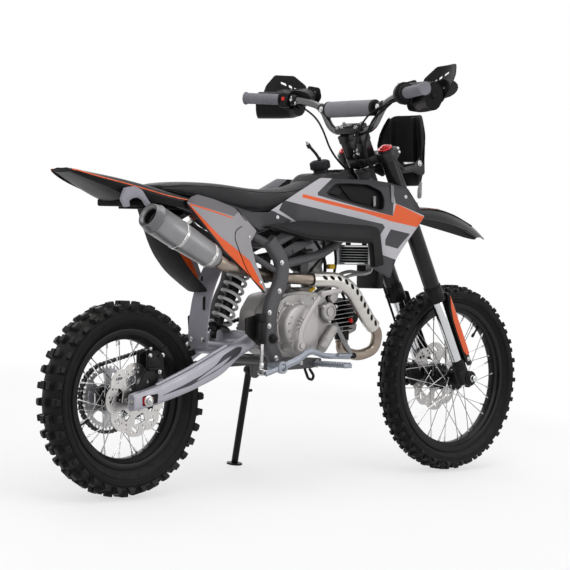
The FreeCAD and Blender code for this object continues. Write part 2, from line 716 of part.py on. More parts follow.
def shock_absorber():
    foot = Vector(cross_x + 10, 0, arm_line(cross_x + 10) + 44.9)
    top = Vector(462, 0, 682)
    run = (top - foot).normalize()
    body = rod(17.5, foot + run * 20, top - run * 22)
    shaft = rod(7, foot + run * 8, foot + run * 30)
    eye_low = rod(11, foot - left * 13, foot + left * 13)
    # the coil spring as a ribbed sleeve between its two collars
    wire, rise, first = 5, 22, 26
    profile = [(17, first)]
    for turn in range(7):
        start = first + turn * rise
        profile += [(33, start + wire), (33, start + 2 * wire), (24, start + rise - wire)]
    profile += [(33, first + 7 * rise), (33, first + 7 * rise + 6), (17, first + 7 * rise + 6)]
    edge = [Vector(radius, 0, place) for radius, place in profile]
    sleeve = Part.Face(Part.makePolygon(edge + edge[:1])).revolve(Vector(0, 0, 0), up, 360)
    sleeve.Placement = Placement(foot, Rotation(up, run))
    collar = rod(33, foot + run * (first - 6), foot + run * (first + 0.5))
    neck = rod(12, top - run * 24, top - run * 15)
    shape_piece("shock_absorber", fused([body, shaft, eye_low, collar, neck, sleeve]))


shock_absorber()


def engine():
    case = [(474, 400), (464, 450), (464, 500), (500, 548), (590, 562), (672, 552), (700, 505), (706, 430),
            (690, 395), (640, 378), (520, 372)]
    core = side_slab(case, -94, 46)
    stator = rod(60, Vector(628, 40, 470), Vector(628, 112, 470))
    belly = side_slab([(520, 373), (640, 379), (630, 352), (530, 350)], -60, 40)
    mount_lug = side_slab([(586, 555), (614, 555), (608, 580.5), (592, 580.5)], -18, 18)
    filter_case = rod(15, Vector(644, -108, 398), Vector(702, -98, 458))
    small_cover = rod(27, Vector(680, -80, 500), Vector(680, -116, 500))
    drive = rod(11, Vector(dim.drive_x, 40, dim.drive_z), Vector(dim.drive_x, 76, dim.drive_z))
    sprocket_small = rod(dim.drive_radius, Vector(dim.drive_x, dim.sprocket_place - 3, dim.drive_z),
                         Vector(dim.drive_x, dim.sprocket_place + 3, dim.drive_z))
    shape_piece("engine_case", fused([core, stator, belly, mount_lug, filter_case, small_cover, drive, sprocket_small]))

    centre = Vector(dim.clutch_x, 0, dim.clutch_z)
    flange = rod(dim.clutch_radius + 6, centre - left * 94.3, centre - left * 104)
    drum = rod(dim.clutch_radius, centre - left * 100, centre - left * 140)
    crown = tapered_rod(dim.clutch_radius, dim.clutch_radius - 14, centre - left * 140, centre - left * 149)
    kick_seat = rod(17, Vector(dim.kick_x, -100, dim.kick_z), Vector(dim.kick_x, -dim.kick_seat, dim.kick_z))
    shape_piece("clutch_cover", fused([flange, drum, crown, kick_seat]))

    # cylinder lying forward, cooled by long level fins
    barrel = side_slab([(706.3, 428), (812, 440), (812, 534), (706.3, 522)], -40, 40)
    fins = []
    for number in range(8):
        level = 432 + number * 12.5
        fins.append(side_slab([(712, level), (826, level + 11), (826, level + 15), (712, level + 4)], -66, 66))
    head = side_slab([(806, 430), (846, 444), (846, 520), (806, 540)], -48, 48)
    port = rod(21, Vector(804, -34, 452), Vector(802, -34, 412))
    inlet = rod(17, Vector(792, 0, 520), Vector(760, 0, 562))
    shape_piece("cylinder", fused([barrel] + fins + [head, port, inlet]))

    body = side_slab([(664, 580), (735, 596), (722, 656), (650, 640)], -28, 28)
    bowl = rod(21, Vector(690, 0, 590), Vector(698, 0, 564))
    boot = tube([Vector(759.8, 0, 562.3), Vector(744.6, 0, 582.2), Vector(690, 0, 622)], 16)
    filter_box = rod(34, Vector(662, 0, 640), Vector(580, 0, 690))
    shape_piece("carburettor", fused([body, bowl, filter_box, boot]))


engine()


def exhaust():
    route = [
        Vector(801.98, -34, 411.6), Vector(800.4, -34, 380), Vector(850, -56, 364), Vector(898, -74, 384),
        Vector(898, -88, 432), Vector(845, -102, 470), Vector(760, -118, 560), Vector(700, -118, 592),
        Vector(600, -108, 592), Vector(520, -74, 596), Vector(420, -70, 611), Vector(340, -98, 620),
        Vector(260, -130, 628.8), Vector(219.5, -130, 648.7),
    ]
    pipe = tube(route, dim.pipe_radius, 0.42)
    shield_route = [
        Vector(862, -99, 458), Vector(845, -102, 470), Vector(760, -118, 560), Vector(700, -118, 592), Vector(612, -109, 592),
    ]
    shield = tube(shield_route, dim.shield_radius, 0.42)
    shape_piece("exhaust_header", fused([pipe, shield]))

    rear, front = Vector(1, -130, 756), Vector(219, -130, 649)
    run = (rear - front).normalize()
    can = tapered_rod(dim.muffler_nose, dim.muffler_radius, front, rear)
    band = rod(dim.muffler_radius + 1, rear - run * 140, rear - run * 128)
    cap = tapered_rod(dim.muffler_radius, dim.muffler_radius - 8, rear, rear + run * 26)
    mouth = rod(22, rear - run * 30, rear + run * 40)
    hanger = side_slab([(96, 742), (150, 742), (198, 768), (198, 782), (182, 782)], -96, -91)
    boss = rod(5, Vector(190, -93, 776), Vector(190, -88.5, 776))
    strap = side_slab([(96, 742), (150, 742), (150, 715), (96, 715)], -110, -91)
    shape_piece("muffler", fused([can, band, cap, hanger, strap, boss]).cut(mouth))


exhaust()


def seat_and_tank():
    # stations along the seat: x, half width at the top, half width at the bottom, top, bottom
    stations = [
        (80, 52, 66, 859, 834.4),
        (170, 72, 86, 864, 818.4),
        (290, 80, 92, 861, 794.5),
        (410, 78, 94, 850, 780),
        (500, 70, 90, 849, 788),
        (590, 56, 80, 858, 822),
        (680, 44, 66, 885, 866),
    ]
    sections = []
    for x, top_half, low_half, high, low in stations:
        crown = high - 10
        points = [
            (-low_half, low), (-top_half - 4, crown - 6), (-top_half + 12, high), (top_half - 12, high),
            (top_half + 4, crown - 6), (low_half, low),
        ]
        sections.append((x, points))
    shape_piece("seat", loft_along_x(sections))

    # stations along the tank: x, half width low down, half width high up, bottom, top
    tank_stations = [
        (560, 60, 64, 768, 798),
        (681, 58, 74, 774, 856),
        (683, 58, 74, 774, 886),
        (712, 56, 74, 776, 900),
        (778, 52, 72, 790, 902),
        (812, 50, 60, 800, 914),
        (850, 36, 44, 846, 890),
    ]
    tank_sections = []
    for x, low_half, high_half, low, high in tank_stations:
        rise = high - low
        waist, brow, shoulder = low + rise * 0.32, low + rise * 0.5, high - rise * 0.18
        points = [
            (-low_half, low), (-low_half, waist), (-high_half, brow), (-high_half, shoulder),
            (-high_half + 20, high), (high_half - 20, high), (high_half, shoulder), (high_half, brow),
            (low_half, waist), (low_half, low),
        ]
        tank_sections.append((x, points))
    shape_piece("fuel_tank", loft_along_x(tank_sections))


seat_and_tank()


def fuel_cap():
    base = Vector(744, 0, 901.35)
    tilt = Vector(-0.03, 0, 1)
    tilt.normalize()
    neck = rod(24, base, base + tilt * 14)
    cap = rod(31, base + tilt * 10, base + tilt * 36)
    hose_start = base + tilt * 34
    hose = tube([hose_start, hose_start + Vector(-8, 0, 26), Vector(690, 0, 980)], 4.5)
    tip = rod(6, Vector(692, 0, 978), Vector(682, 0, 990))
    shape_piece("fuel_cap", fused([neck, cap, hose, tip]))


fuel_cap()


def panel(outline, plan, lean_in, side, wall):
    # a curved sheet: a strip of the plan view raised along a leaning direction, cut to the side outline
    outer = [Vector(x, y, 0) for x, y in plan]
    inner = [Vector(x, y - wall, 0) for x, y in reversed(plan)]
    loop = Part.makePolygon(outer + inner + outer[:1])
    rise = Vector(0, -math.sin(math.radians(lean_in)), math.cos(math.radians(lean_in)))
    base = 560
    strip = Part.Face(loop).extrude(rise * 420 / rise.z)
    strip.translate(Vector(0, 0, base))
    cutter = side_slab(outline, 0, 400)
    shape = strip.common(cutter)
    return mirrored(shape) if side < 0 else shape


def with_boss(sheet_part, x, z, low_y, high_y, side):
    # a fixing boss between a panel and the tube that carries it
    boss = rod(6, Vector(x, low_y, z), Vector(x, high_y, z))
    return fused([sheet_part, mirrored(boss) if side < 0 else boss])


def body_panels():
    shroud_outline = [
        (255, 808), (373, 781), (438, 782), (653, 881), (746, 873), (850, 867), (905, 870), (955, 849), (1024, 779),
        (980, 731), (908, 652), (872, 606), (815, 628), (812, 690), (812, 745), (530, 757), (460, 742), (395, 730),
    ]
    # plan of the shroud: x and distance from the middle, at the level of its lower tip
    shroud_plan = [(240, 142), (420, 140), (560, 136), (700, 140), (830, 152), (930, 168), (1040, 186)]
    shrouds = []
    for side in (-1, 1):
        sheet_part = panel(shroud_outline, shroud_plan, dim.shroud_tilt, side, dim.panel_wall)
        shrouds.append(with_boss(sheet_part, 700, 775, 95.4, 108, side))
    shape_piece("shrouds", Part.makeCompound(shrouds))

    side_outline = [
        (136, 800), (160, 820), (237, 809), (293, 785), (385, 728), (357, 698), (373, 642), (412, 563), (401, 555),
        (347, 602), (268, 658), (250, 669),
    ]
    side_plan = [(120, 128), (220, 140), (320, 138), (430, 130)]
    side_panels = []
    for side in (-1, 1):
        sheet_part = panel(side_outline, side_plan, 6, side, dim.panel_wall)
        side_panels.append(with_boss(sheet_part, 330, 738, 104.6, 118, side))
    shape_piece("side_panels", Part.makeCompound(side_panels))

    duct_outline = [
        (408, 742), (532, 759), (653, 755), (792, 749), (830, 744), (838, 730), (841, 634), (809, 628), (809, 699),
        (700, 702), (577, 708), (487, 726),
    ]
    duct_depth = 24
    duct_plan = [(x, y + dim.seat_gap + duct_depth) for x, y in shroud_plan]
    ducts = [panel(duct_outline, duct_plan, dim.shroud_tilt, side, duct_depth) for side in (-1, 1)]
    shape_piece("shroud_ducts", Part.makeCompound(ducts))


body_panels()


def rear_fender():
    # stations along the fender: x, half width, top, skirt depth
    stations = [
        (-214, 50, 889, 10), (-150, 70, 878, 22), (-60, 84, 864, 36), (40, 92, 844, 38), (80, 94, 834, 36),
        (170, 96, 818, 30), (300, 98, 792, 22),
    ]
    wall = dim.panel_wall
    sections = []
    for x, half, high, skirt in stations:
        outside = [(-half, high - skirt), (-half + 5, high - 6), (-half + 16, high), (half - 16, high),
                   (half - 5, high - 6), (half, high - skirt)]
        inside = [(half - wall, high - skirt), (half - 5 - wall, high - 8), (half - 17, high - wall),
                  (-half + 17, high - wall), (-half + 5 + wall, high - 8), (-half + wall, high - skirt)]
        sections.append((x, outside + inside))
    shape_piece("rear_fender", loft_along_x(sections))

    guard_path = [(107.1, 815), (129, 690), (195, 606), (266, 556)]
    guard = side_strip(guard_path, dim.panel_wall, -56, 56)
    shape_piece("mud_guard", guard)
    flap_x = dim.rear_tyre_radius + dim.flap_clear
    flap_foot = arm_line(cross_x) + 12.5
    flap_path = [(flap_x + 64, 640), (flap_x + 18, 560), (flap_x, 480), (flap_x, flap_foot), (cross_x - 19.7, flap_foot)]
    flap = side_strip(flap_path, dim.panel_wall + 1, -38, 38)
    shape_piece("mud_flap", flap)


rear_fender()


def small_chassis_pieces():
    core = Part.makeBox(26, 152, 60, Vector(880, -76, 632))
    hoses = tube([Vector(893, -66, 632.5), Vector(893, -66, 614), Vector(800, -70, 606), Vector(740, -50, 572),
                  Vector(706, -40, 556), Vector(690, -40, 546)], 5)
    tabs = [side_slab([(884, 690), (902, 690), (902, 764), (884, 757)], y - 3, y + 3) for y in (-34, 34)]
    shape_piece("oil_cooler", fused([core, hoses] + tabs))
    box = Part.makeBox(28, 90, 74, Vector(938, -45, 562))
    strap = side_slab([(940, 630), (952, 630), (952, 672), (906.3, 684), (906.3, 672), (940, 662)], -12, 12)
    shape_piece("electrics_box", fused([box, strap]))

    level = rear_axle.z
    caliper = Part.makeBox(64, 52, 50, Vector(14, -90, level + 80))
    disc_slot = rod(dim.rear_disc_radius + 5, Vector(0, -dim.disc_place - 7, rear_axle.z),
                    Vector(0, -dim.disc_place + 7, rear_axle.z))
    carrier_outline = [
        (-18, level - 14), (-20, level + 16), (18, level + 84), (74, level + 84), (60, level + 52), (20, level - 12),
    ]
    carrier = side_slab(carrier_outline, -82, -74)
    carrier = carrier.cut(rod(13.3, Vector(0, -100, rear_axle.z), Vector(0, -60, rear_axle.z)))
    shape_piece("rear_caliper", fused([caliper.cut(disc_slot), carrier]))

    peg = Part.makeBox(34, dim.peg_outer - dim.peg_inner + 4, 16, Vector(dim.peg_x - 17, dim.peg_inner - 4, dim.peg_z - 8))
    bracket_outline = [
        (424, 336), (424, 358), (444, 352), (453.2, 349.6), (487.9, 373.1), (640, 368), (640, 344), (600, 338), (470, 334),
    ]
    bracket = side_slab(bracket_outline, dim.peg_inner - 14, dim.peg_inner)
    half = fused([peg, bracket])
    stand_tab = side_slab([(572, 345), (610, 345), (604, 304), (578, 304)], dim.peg_inner - 14, dim.peg_inner)
    bolt = rod(dim.stand_bolt, stand_pivot - stand_axis * 24, stand_pivot + stand_axis * 12)
    head = rod(dim.stand_bolt + 3, stand_pivot + stand_axis * 11.3, stand_pivot + stand_axis * 16)
    left_half = fused([half, stand_tab, bolt, head])
    shape_piece("footpegs", Part.makeCompound([left_half, mirrored(half)]))

    guard_outline = [(339, 485), (385, 496), (416.7, 500), (416.7, 436), (398, 404), (389, 408), (342, 443)]
    shape_piece("heel_guards", both_sides(side_slab(guard_outline, 119, 123)))

    pedal_path = [(378, 330), (435, 348), (500, 368), (545, 392), (590, 380), (640, 376), (700, 370)]
    pedal = side_strip(pedal_path, 14, -176, -166)
    hub = rod(13, Vector(435, -176, 348), Vector(435, -dim.peg_inner - dim.seat_gap, 348))
    shape_piece("brake_pedal", fused([pedal, hub]))
    shaft_x, shaft_z = 560, 402
    lever = side_strip([(shaft_x, shaft_z), (620, 396), (690, 396)], 12, 150, 160)
    shape_piece("gear_lever", fused([lever, rod(10, Vector(shaft_x, 160, shaft_z), Vector(shaft_x, 46.3, shaft_z))]))
    kick_x, kick_z = dim.kick_x, dim.kick_z
    kick = tube([Vector(kick_x, -168, kick_z), Vector(kick_x + 4, -172, kick_z + 40), Vector(586, -172, 550),
                 Vector(650, -178, 561)], 7, 0.3)
    boss = rod(15, Vector(kick_x, -180, kick_z), Vector(kick_x, -dim.kick_seat - dim.seat_gap, kick_z))
    shape_piece("kick_lever", fused([kick, boss]))


small_chassis_pieces()


def chain():
    # the loop runs round both sprockets, just clear of their teeth, and its links narrow between their pins
    pitch_radius = dim.chain_pitch / (2 * math.sin(math.pi / dim.sprocket_teeth))
    big = pitch_radius + 4.5 + dim.chain_clear + dim.chain_depth / 2
    small = dim.drive_radius + dim.seat_gap + dim.chain_depth / 2
    drive = Vector(dim.drive_x, 0, dim.drive_z)
    run = drive - rear_axle
    span = run.Length
    along = run / span
    across = Vector(-along.z, 0, along.x)
    swing = math.acos((big - small) / span)

    def rim_point(centre, radius, angle):
        return centre + (along * math.cos(angle) + across * math.sin(angle)) * radius

    # the middle line of the links: over the top, round the engine sprocket, back and round the rear sprocket
    top = rim_point(drive, small, swing) - rim_point(rear_axle, big, swing)
    lengths = [top.Length, small * 2 * swing, top.Length, big * (2 * math.pi - 2 * swing)]
    links = 2 * round(sum(lengths) / dim.chain_pitch / 2)

    def on_loop(distance):
        # a place on the middle line and the direction away from the loop's inside
        distance %= sum(lengths)
        if distance < lengths[0]:
            outward = rim_point(Vector(), 1, swing)
            return rim_point(rear_axle, big, swing) + top * (distance / lengths[0]), outward
        distance -= lengths[0]
        if distance < lengths[1]:
            angle = swing - distance / small
            return rim_point(drive, small, angle), rim_point(Vector(), 1, angle)
        distance -= lengths[1]
        if distance < lengths[2]:
            outward = rim_point(Vector(), 1, -swing)
            start = rim_point(drive, small, -swing)
            return start + (rim_point(rear_axle, big, -swing) - start) * (distance / lengths[2]), outward
        distance -= lengths[2]
        angle = -swing - distance / big
        return rim_point(rear_axle, big, angle), rim_point(Vector(), 1, angle)

    outer, inner = [], []
    for number in range(2 * links):
        spot, outward = on_loop(sum(lengths) * number / (2 * links))
        waist = dim.chain_waist if number % 2 else 0
        outer.append(spot + outward * (dim.chain_depth - waist) / 2)
        inner.append(spot - outward * (dim.chain_depth - waist) / 2)
    faces = [Part.Face(Part.makePolygon(points + points[:1])) for points in (outer, inner)]
    solids = []
    for face in faces:
        face.translate(left * (dim.sprocket_place - dim.chain_half))
        solids.append(face.extrude(left * dim.chain_half * 2))
    shape_piece("chain", solids[0].cut(solids[1]))


chain()


# Steering: drawn in the fork's own frame, X ahead of the axle, Z along the fork
def clamp(low, high):
    outline = [
        (steering_n - 34, -40), (leg_n - 8, -dim.fork_spacing - 34), (leg_n + 30, -dim.fork_spacing - 30),
        (leg_n + 30, dim.fork_spacing + 30), (leg_n - 8, dim.fork_spacing + 34), (steering_n - 34, 40),
    ]
    return top_slab(outline, low, high)


def fork():
    lower = clamp(dim.lower_clamp, dim.lower_clamp + dim.clamp_plate)
    upper = clamp(dim.upper_clamp, dim.upper_clamp + dim.clamp_plate)
    stem = rod(dim.head_radius - 6.5, Vector(steering_n, 0, dim.lower_clamp), Vector(steering_n, 0, dim.upper_clamp + dim.clamp_plate))
    bar_point = fork_frame.inverse().multVec(bar_centre)
    risers = [rod(15, Vector(steering_n + 3, y, dim.upper_clamp + 20), Vector(steering_n + 3, y, bar_point.z - 9)) for y in (-32, 32)]
    shape = fused([lower, upper, stem] + risers)
    for y in (-dim.fork_spacing, dim.fork_spacing):
        shape = shape.cut(rod(dim.fork_tube_radius + 0.05, Vector(leg_n, y, 500), Vector(leg_n, y, 800)))
    shape = shape.cut(rod(dim.stem_hollow, Vector(steering_n, 0, 500), Vector(steering_n, 0, 900)))
    shape = shape.cut(rod(dim.bar_radius + dim.seat_gap, bar_point - left * 90, bar_point + left * 90))
    shape_piece("triple_clamps", shape, fork_frame)

    tubes, legs, guards = [], [], []
    for side in (-1, 1):
        y = side * dim.fork_spacing
        outer = rod(dim.fork_tube_radius, Vector(leg_n, y, dim.fork_tube_low), Vector(leg_n, y, dim.fork_tube_high))
        collar = rod(dim.fork_tube_radius + 3, Vector(leg_n, y, dim.fork_tube_low - 2), Vector(leg_n, y, dim.fork_tube_low + 44))
        cap = rod(dim.fork_tube_radius - 2, Vector(leg_n, y, dim.fork_tube_high), Vector(leg_n, y, dim.fork_tube_high + 10))
        hollow = rod(dim.fork_leg_radius + 0.3, Vector(leg_n, y, 200), Vector(leg_n, y, 500))
        tubes.append(fused([outer, collar, cap]).cut(hollow))
        chrome = rod(dim.fork_leg_radius, Vector(leg_n, y, 60), Vector(leg_n, y, 480))
        shoe = rod(dim.fork_leg_radius + 5, Vector(leg_n, y, -14), Vector(leg_n, y, 70))
        toe = Part.makeBox(40, 24, 44, Vector(leg_n, y - 10 if side > 0 else y - 14, -22))
        inner_face = dim.hub_half + 6
        low, high = sorted((side * 30, side * inner_face))
        clearing = Part.makeBox(80, high - low, 120, Vector(leg_n - 40, low, -50))
        legs += [chrome, shoe.cut(clearing), toe.cut(clearing)]
        guard = front_guard(side)
        guards.append(guard)
    shape_piece("fork_tubes", Part.makeCompound(tubes), fork_frame)
    axle = rod(dim.axle_radius, Vector(0, -116, 0), Vector(0, 116, 0))
    spacers = [rod(13, Vector(0, s * (dim.hub_half + 1), 0), Vector(0, s * (dim.hub_half + 8), 0)) for s in (-1, 1)]
    bottom = fused(legs + [axle] + spacers)
    bottom = bottom.cut(rod(dim.axle_hollow, Vector(0, -150, 0), Vector(0, 150, 0)))
    shape_piece("fork_legs", bottom, fork_frame)
    shape_piece("fork_guards", Part.makeCompound(guards), fork_frame)


def front_guard(side):
    # a shield round the front of a fork leg
    inner, outer = sorted((side * (dim.fork_spacing - 18), side * (dim.fork_spacing + 24)))
    wall = dim.panel_wall
    back = leg_n + 12
    outline = [
        (leg_n + 34, inner), (leg_n + 42, (inner + outer) / 2, "arc"), (leg_n + 34, outer), (back, outer),
        (back, outer - wall), (leg_n + 34 - wall, outer - wall), (leg_n + 42 - wall, (inner + outer) / 2, "arc"),
        (leg_n + 34 - wall, inner + wall), (back, inner + wall), (back, inner),
    ]
    shape = top_slab(outline, 44, 300)
    cutter = side_slab([(-60, 230), (-60, 330), (60, 330), (60, 262)], -200, 200)
    y = side * dim.fork_spacing
    shoe = rod(dim.fork_leg_radius + 5 + dim.seat_gap, Vector(leg_n, y, -20), Vector(leg_n, y, 70 + dim.seat_gap))
    boss = rod(6, Vector(leg_n + 39, y, 60), Vector(leg_n + dim.fork_leg_radius + 5.35, y, 60))
    return fused([shape.cut(cutter).cut(shoe), boss])


fork()


def handlebar():
    # drawn on the upright bike and carried by the steering
    half = [
        bar_centre, bar_centre + left * 84, bar_centre + Vector(2, 132, 77), bar_centre + Vector(-18, 200, 97),
        bar_centre + Vector(-86, dim.bar_end - 3, 107),
    ]
    route = [Vector(p.x, -p.y, p.z) for p in reversed(half[1:])] + half[1:]
    bar = tube(route, dim.bar_radius, 0.4)
    cross_middle = bar_centre + Vector(-2, 0, 66)
    cross = rod(7, cross_middle - left * 124, cross_middle + left * 124)
    lugs = [rod(12, cross_middle + left * s * 110, cross_middle + left * s * 126 + forward) for s in (-1, 1)]
    shape_piece("handlebar", fused([bar, cross] + lugs))
    pad = ring(dim.pad_radius, 7 + dim.seat_gap, cross_middle - left * 92, cross_middle + left * 92)
    shape_piece("bar_pad", pad)
    block = Part.makeBox(34, 92, 17, bar_centre + Vector(-17, -46, 1))
    keep_clear = rod(dim.bar_radius + dim.seat_gap, bar_centre - left * 70, bar_centre + left * 70)
    shape_piece("bar_clamp", block.cut(keep_clear))

    grips, guards, levers = [], [], []
    run = (half[4] - half[3]).normalize()
    outer_end = half[4] + run * 3
    inner_end = outer_end - run * dim.grip_length
    for side in (-1, 1):
        grip = ring(dim.grip_radius, dim.bar_radius + 0.3, inner_end, outer_end)
        flange = ring(dim.grip_radius + 8, dim.bar_radius + 0.3, inner_end - run * 8, inner_end)
        one = fused([grip, flange])
        grips.append(one if side > 0 else mirrored(one))
        perch_start = inner_end - run * 30
        perch = ring(dim.grip_radius + 3, dim.bar_radius + 0.3, perch_start, inner_end - run * 8.3)
        lever_root = perch_start + run * 12 + Vector(24, 0, -14)
        lever = tube([lever_root + Vector(-11, -4, 4), lever_root + Vector(14, 24, -6), lever_root + Vector(-14, 110, -14)], 5, 0.3)
        one = fused([perch, lever])
        levers.append(one if side > 0 else mirrored(one))
        guard_rows = [(236, 75), (250, 121), (300, 167), (378, 179), (398, 151), (380, 87), (330, 61), (262, 57)]
        guard_outline = [(y, bar_centre.z + rise) for y, rise in guard_rows]
        outer_shell = front_slab(guard_outline, bar_centre.x + 26, bar_centre.x + 30)
        reach = (Vector(0.9, 0.35, 0.25) - run * Vector(0.9, 0.35, 0.25).dot(run)).normalize()
        arm_start = perch_start + run * 10 + reach * (dim.grip_radius + 3 + dim.seat_gap)
        arm = tube([arm_start, arm_start + reach * 26, bar_centre + Vector(28, 276, 115)], 5, 0.3)
        one = fused([outer_shell, arm])
        guards.append(one if side > 0 else mirrored(one))
    shape_piece("grips", Part.makeCompound(grips))
    shape_piece("levers", Part.makeCompound(levers))
    shape_piece("hand_guards", Part.makeCompound(guards))


handlebar()


def front_fender():
    # stations along the fender: x and top from its seat under the lower clamp, half width, side drop
    stations = [
        (-17.9, -10, 38, 8),
        (25.1, 12, 48, 18),
        (84.1, 23.4, 58, 32),
        (174.1, 25.4, 66, 44),
        (244.1, 9.4, 64, 40),
        (334.1, -24.6, 50, 26),
        (412.1, -64.6, 18, 8),
    ]
    wall = dim.panel_wall
    sections = []
    for ahead, rise, half, drop in stations:
        high = fender_root.z + rise
        low, brow, side = high - drop, high - drop * 0.25, half * 0.7
        outside = [(-half, low), (-side, brow), (0, high), (side, brow), (half, low)]
        inside = [(half - wall, low), (side - wall, brow - wall), (0, high - wall), (-side + wall, brow - wall), (-half + wall, low)]
        sections.append((fender_root.x + ahead, outside + inside))
    shape_piece("front_fender", loft_along_x(sections))

    # number mask: a curved plate ahead of the clamps
    mask_rows = [(-70, -157), (-104, -69), (-98, 11), (-78, 59), (78, 59), (98, 11), (104, -69), (70, -157)]
    mask_outline = [(y, bar_centre.z + rise) for y, rise in mask_rows]
    edge, nose = bar_centre.x + 196, bar_centre.x + 258
    wall = dim.panel_wall + 1
    bow = [(edge, -110), (nose, 0, "arc"), (edge, 110), (edge - wall, 110), (nose - wall, 0, "arc"), (edge - wall, -110)]
    sheet_shape = top_slab(bow, bar_centre.z - 169, bar_centre.z + 71)
    cutter = front_slab(mask_outline, bar_centre.x + 130, bar_centre.x + 330)
    stay_rows = [(124.5, -129), (114.3, -109), (224, -101), (224, -121)]
    stay = side_slab([(bar_centre.x + ahead, bar_centre.z + rise) for ahead, rise in stay_rows], 79, 85)
    shape_piece("number_mask", fused([sheet_shape.common(cutter), stay, mirrored(stay)]))


front_fender()


def front_caliper():
    gap = rod(dim.front_disc_radius + 5, Vector(0, dim.disc_place - 7, 0), Vector(0, dim.disc_place + 7, 0))
    block = Part.makeBox(54, 44, 60, Vector(-112, 42, 22))
    leg_face = leg_n - dim.fork_leg_radius - 5 - dim.seat_gap
    arm = Part.makeBox(leg_face + 62, 8, 40, Vector(-62, dim.fork_spacing - 4, 28))
    shape_piece("front_caliper", fused([block.cut(gap), arm]), fork_frame)


front_caliper()


def floor_height(y):
    # the leaning floor under a point of the upright bike
    angle = math.radians(dim.lean_angle)
    return (y - dim.crown_half) * math.tan(angle)


def side_stand():
    foot = Vector(dim.stand_foot_x, dim.stand_foot_y, floor_height(dim.stand_foot_y))
    lean_turn = math.radians(dim.lean_angle)
    normal = Vector(0, -math.sin(lean_turn), math.cos(lean_turn))
    plate = rod(dim.stand_foot_radius, foot, foot + normal * 6)
    leg = rod(dim.stand_radius, stand_pivot, foot + normal * 4)
    eye = rod(dim.stand_radius + 3, stand_pivot - stand_axis * 11, stand_pivot + stand_axis * 11)
    below = rod(60, foot - normal * 40, foot)
    bore = rod(dim.stand_bolt + dim.hinge_play, stand_pivot - stand_axis * 30, stand_pivot + stand_axis * 30)
    shape_piece("side_stand", fused([leg, eye, plate]).cut(below).cut(bore))


side_stand()


# Lean the bike onto its stand and centre its base on the origin
doc.recompute()
lean = Placement(Vector(0, 0, 0), Rotation(forward, -dim.lean_angle))
for thing, frame in pieces.values():
    thing.Placement = lean * frame
doc.recompute()
whole = Part.makeCompound([thing.Shape for thing, frame in pieces.values()]).optimalBoundingBox(False)
stance = Placement(Vector(-whole.Center.x, -whole.Center.y, -whole.ZMin), Rotation()) * lean
for thing, frame in pieces.values():
    thing.Placement = stance * frame
doc.recompute()

for thing in doc.Objects:
    if any(word in thing.State for word in ("Invalid", "Error")):
        raise ValueError(thing.Label + " is " + str(thing.State))
os.makedirs("parts", exist_ok=True)
for label, (thing, frame) in pieces.items():
    if thing.Shape.isNull() or not thing.Shape.isValid():
        raise ValueError(label + " has no valid shape")
for label, (thing, frame) in pieces.items():
    thing.Shape.exportStep(f"parts/{label}.step")
print(len(pieces), "pieces, base moved by", stance.Base, "box", whole)
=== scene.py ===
import math

import bpy
from mathutils import Matrix, Vector


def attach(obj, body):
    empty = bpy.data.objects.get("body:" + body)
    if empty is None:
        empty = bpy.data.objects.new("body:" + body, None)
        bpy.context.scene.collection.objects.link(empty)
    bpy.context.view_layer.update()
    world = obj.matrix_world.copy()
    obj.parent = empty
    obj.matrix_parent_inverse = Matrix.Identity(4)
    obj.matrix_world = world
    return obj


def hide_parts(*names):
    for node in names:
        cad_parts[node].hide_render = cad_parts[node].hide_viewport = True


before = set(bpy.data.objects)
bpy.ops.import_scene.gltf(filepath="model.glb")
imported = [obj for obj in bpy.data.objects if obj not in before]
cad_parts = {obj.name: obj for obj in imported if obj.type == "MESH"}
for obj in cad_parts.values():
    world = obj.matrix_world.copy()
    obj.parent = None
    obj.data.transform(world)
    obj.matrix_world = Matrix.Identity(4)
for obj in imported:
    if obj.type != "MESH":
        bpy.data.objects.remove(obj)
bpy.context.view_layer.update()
print("frame loaded")

# The bike is drawn upright, in millimetres: X forward from the rear axle, Y to the left, Z up from the floor.
# The stance then leans it onto its side stand, in metres, to where the solids are.
stanceShift = Vector((-0.658, -0.1438050, 0.0014624))
stanceLean = math.radians(-7)
stance = Matrix.Translation(stanceShift) @ Matrix.Rotation(stanceLean, 4, "X")
toMetres = Matrix.Scale(0.001, 4)
rake = math.radians(27)
frontAxle = Vector((1298, 0, 286))
rearAxle = Vector((0, 0, 268))
left = Vector((0, 1, 0))
# the steering axis and the legs lie this far behind the axle's line; the legs stand this far from the middle
steerN, legN, legSpread = -47, -17, 82
driveSpot, driveRadius, rearSpot, rearRadius = Vector((498, 0, 445)), 32.8, rearAxle, 94.5


def forkPoint(ahead, across, along):
    # a point in the fork's own directions: ahead of the front axle, to the left, up along the legs
    return frontAxle + Vector((ahead * math.cos(rake) - along * math.sin(rake), across,
        ahead * math.sin(rake) + along * math.cos(rake)))


# The camera comes first, solved from the photo: degrees, millimetres, and a focal length in pixels
camera = {"azimuth": -43.15, "elevation": 1.07, "roll": 0.59, "distance": 6808, "focal": 2355,
    "target": (604, 0, 574)}
photoPixels, sensorWidth, farthestSeen = 570, 36, 60


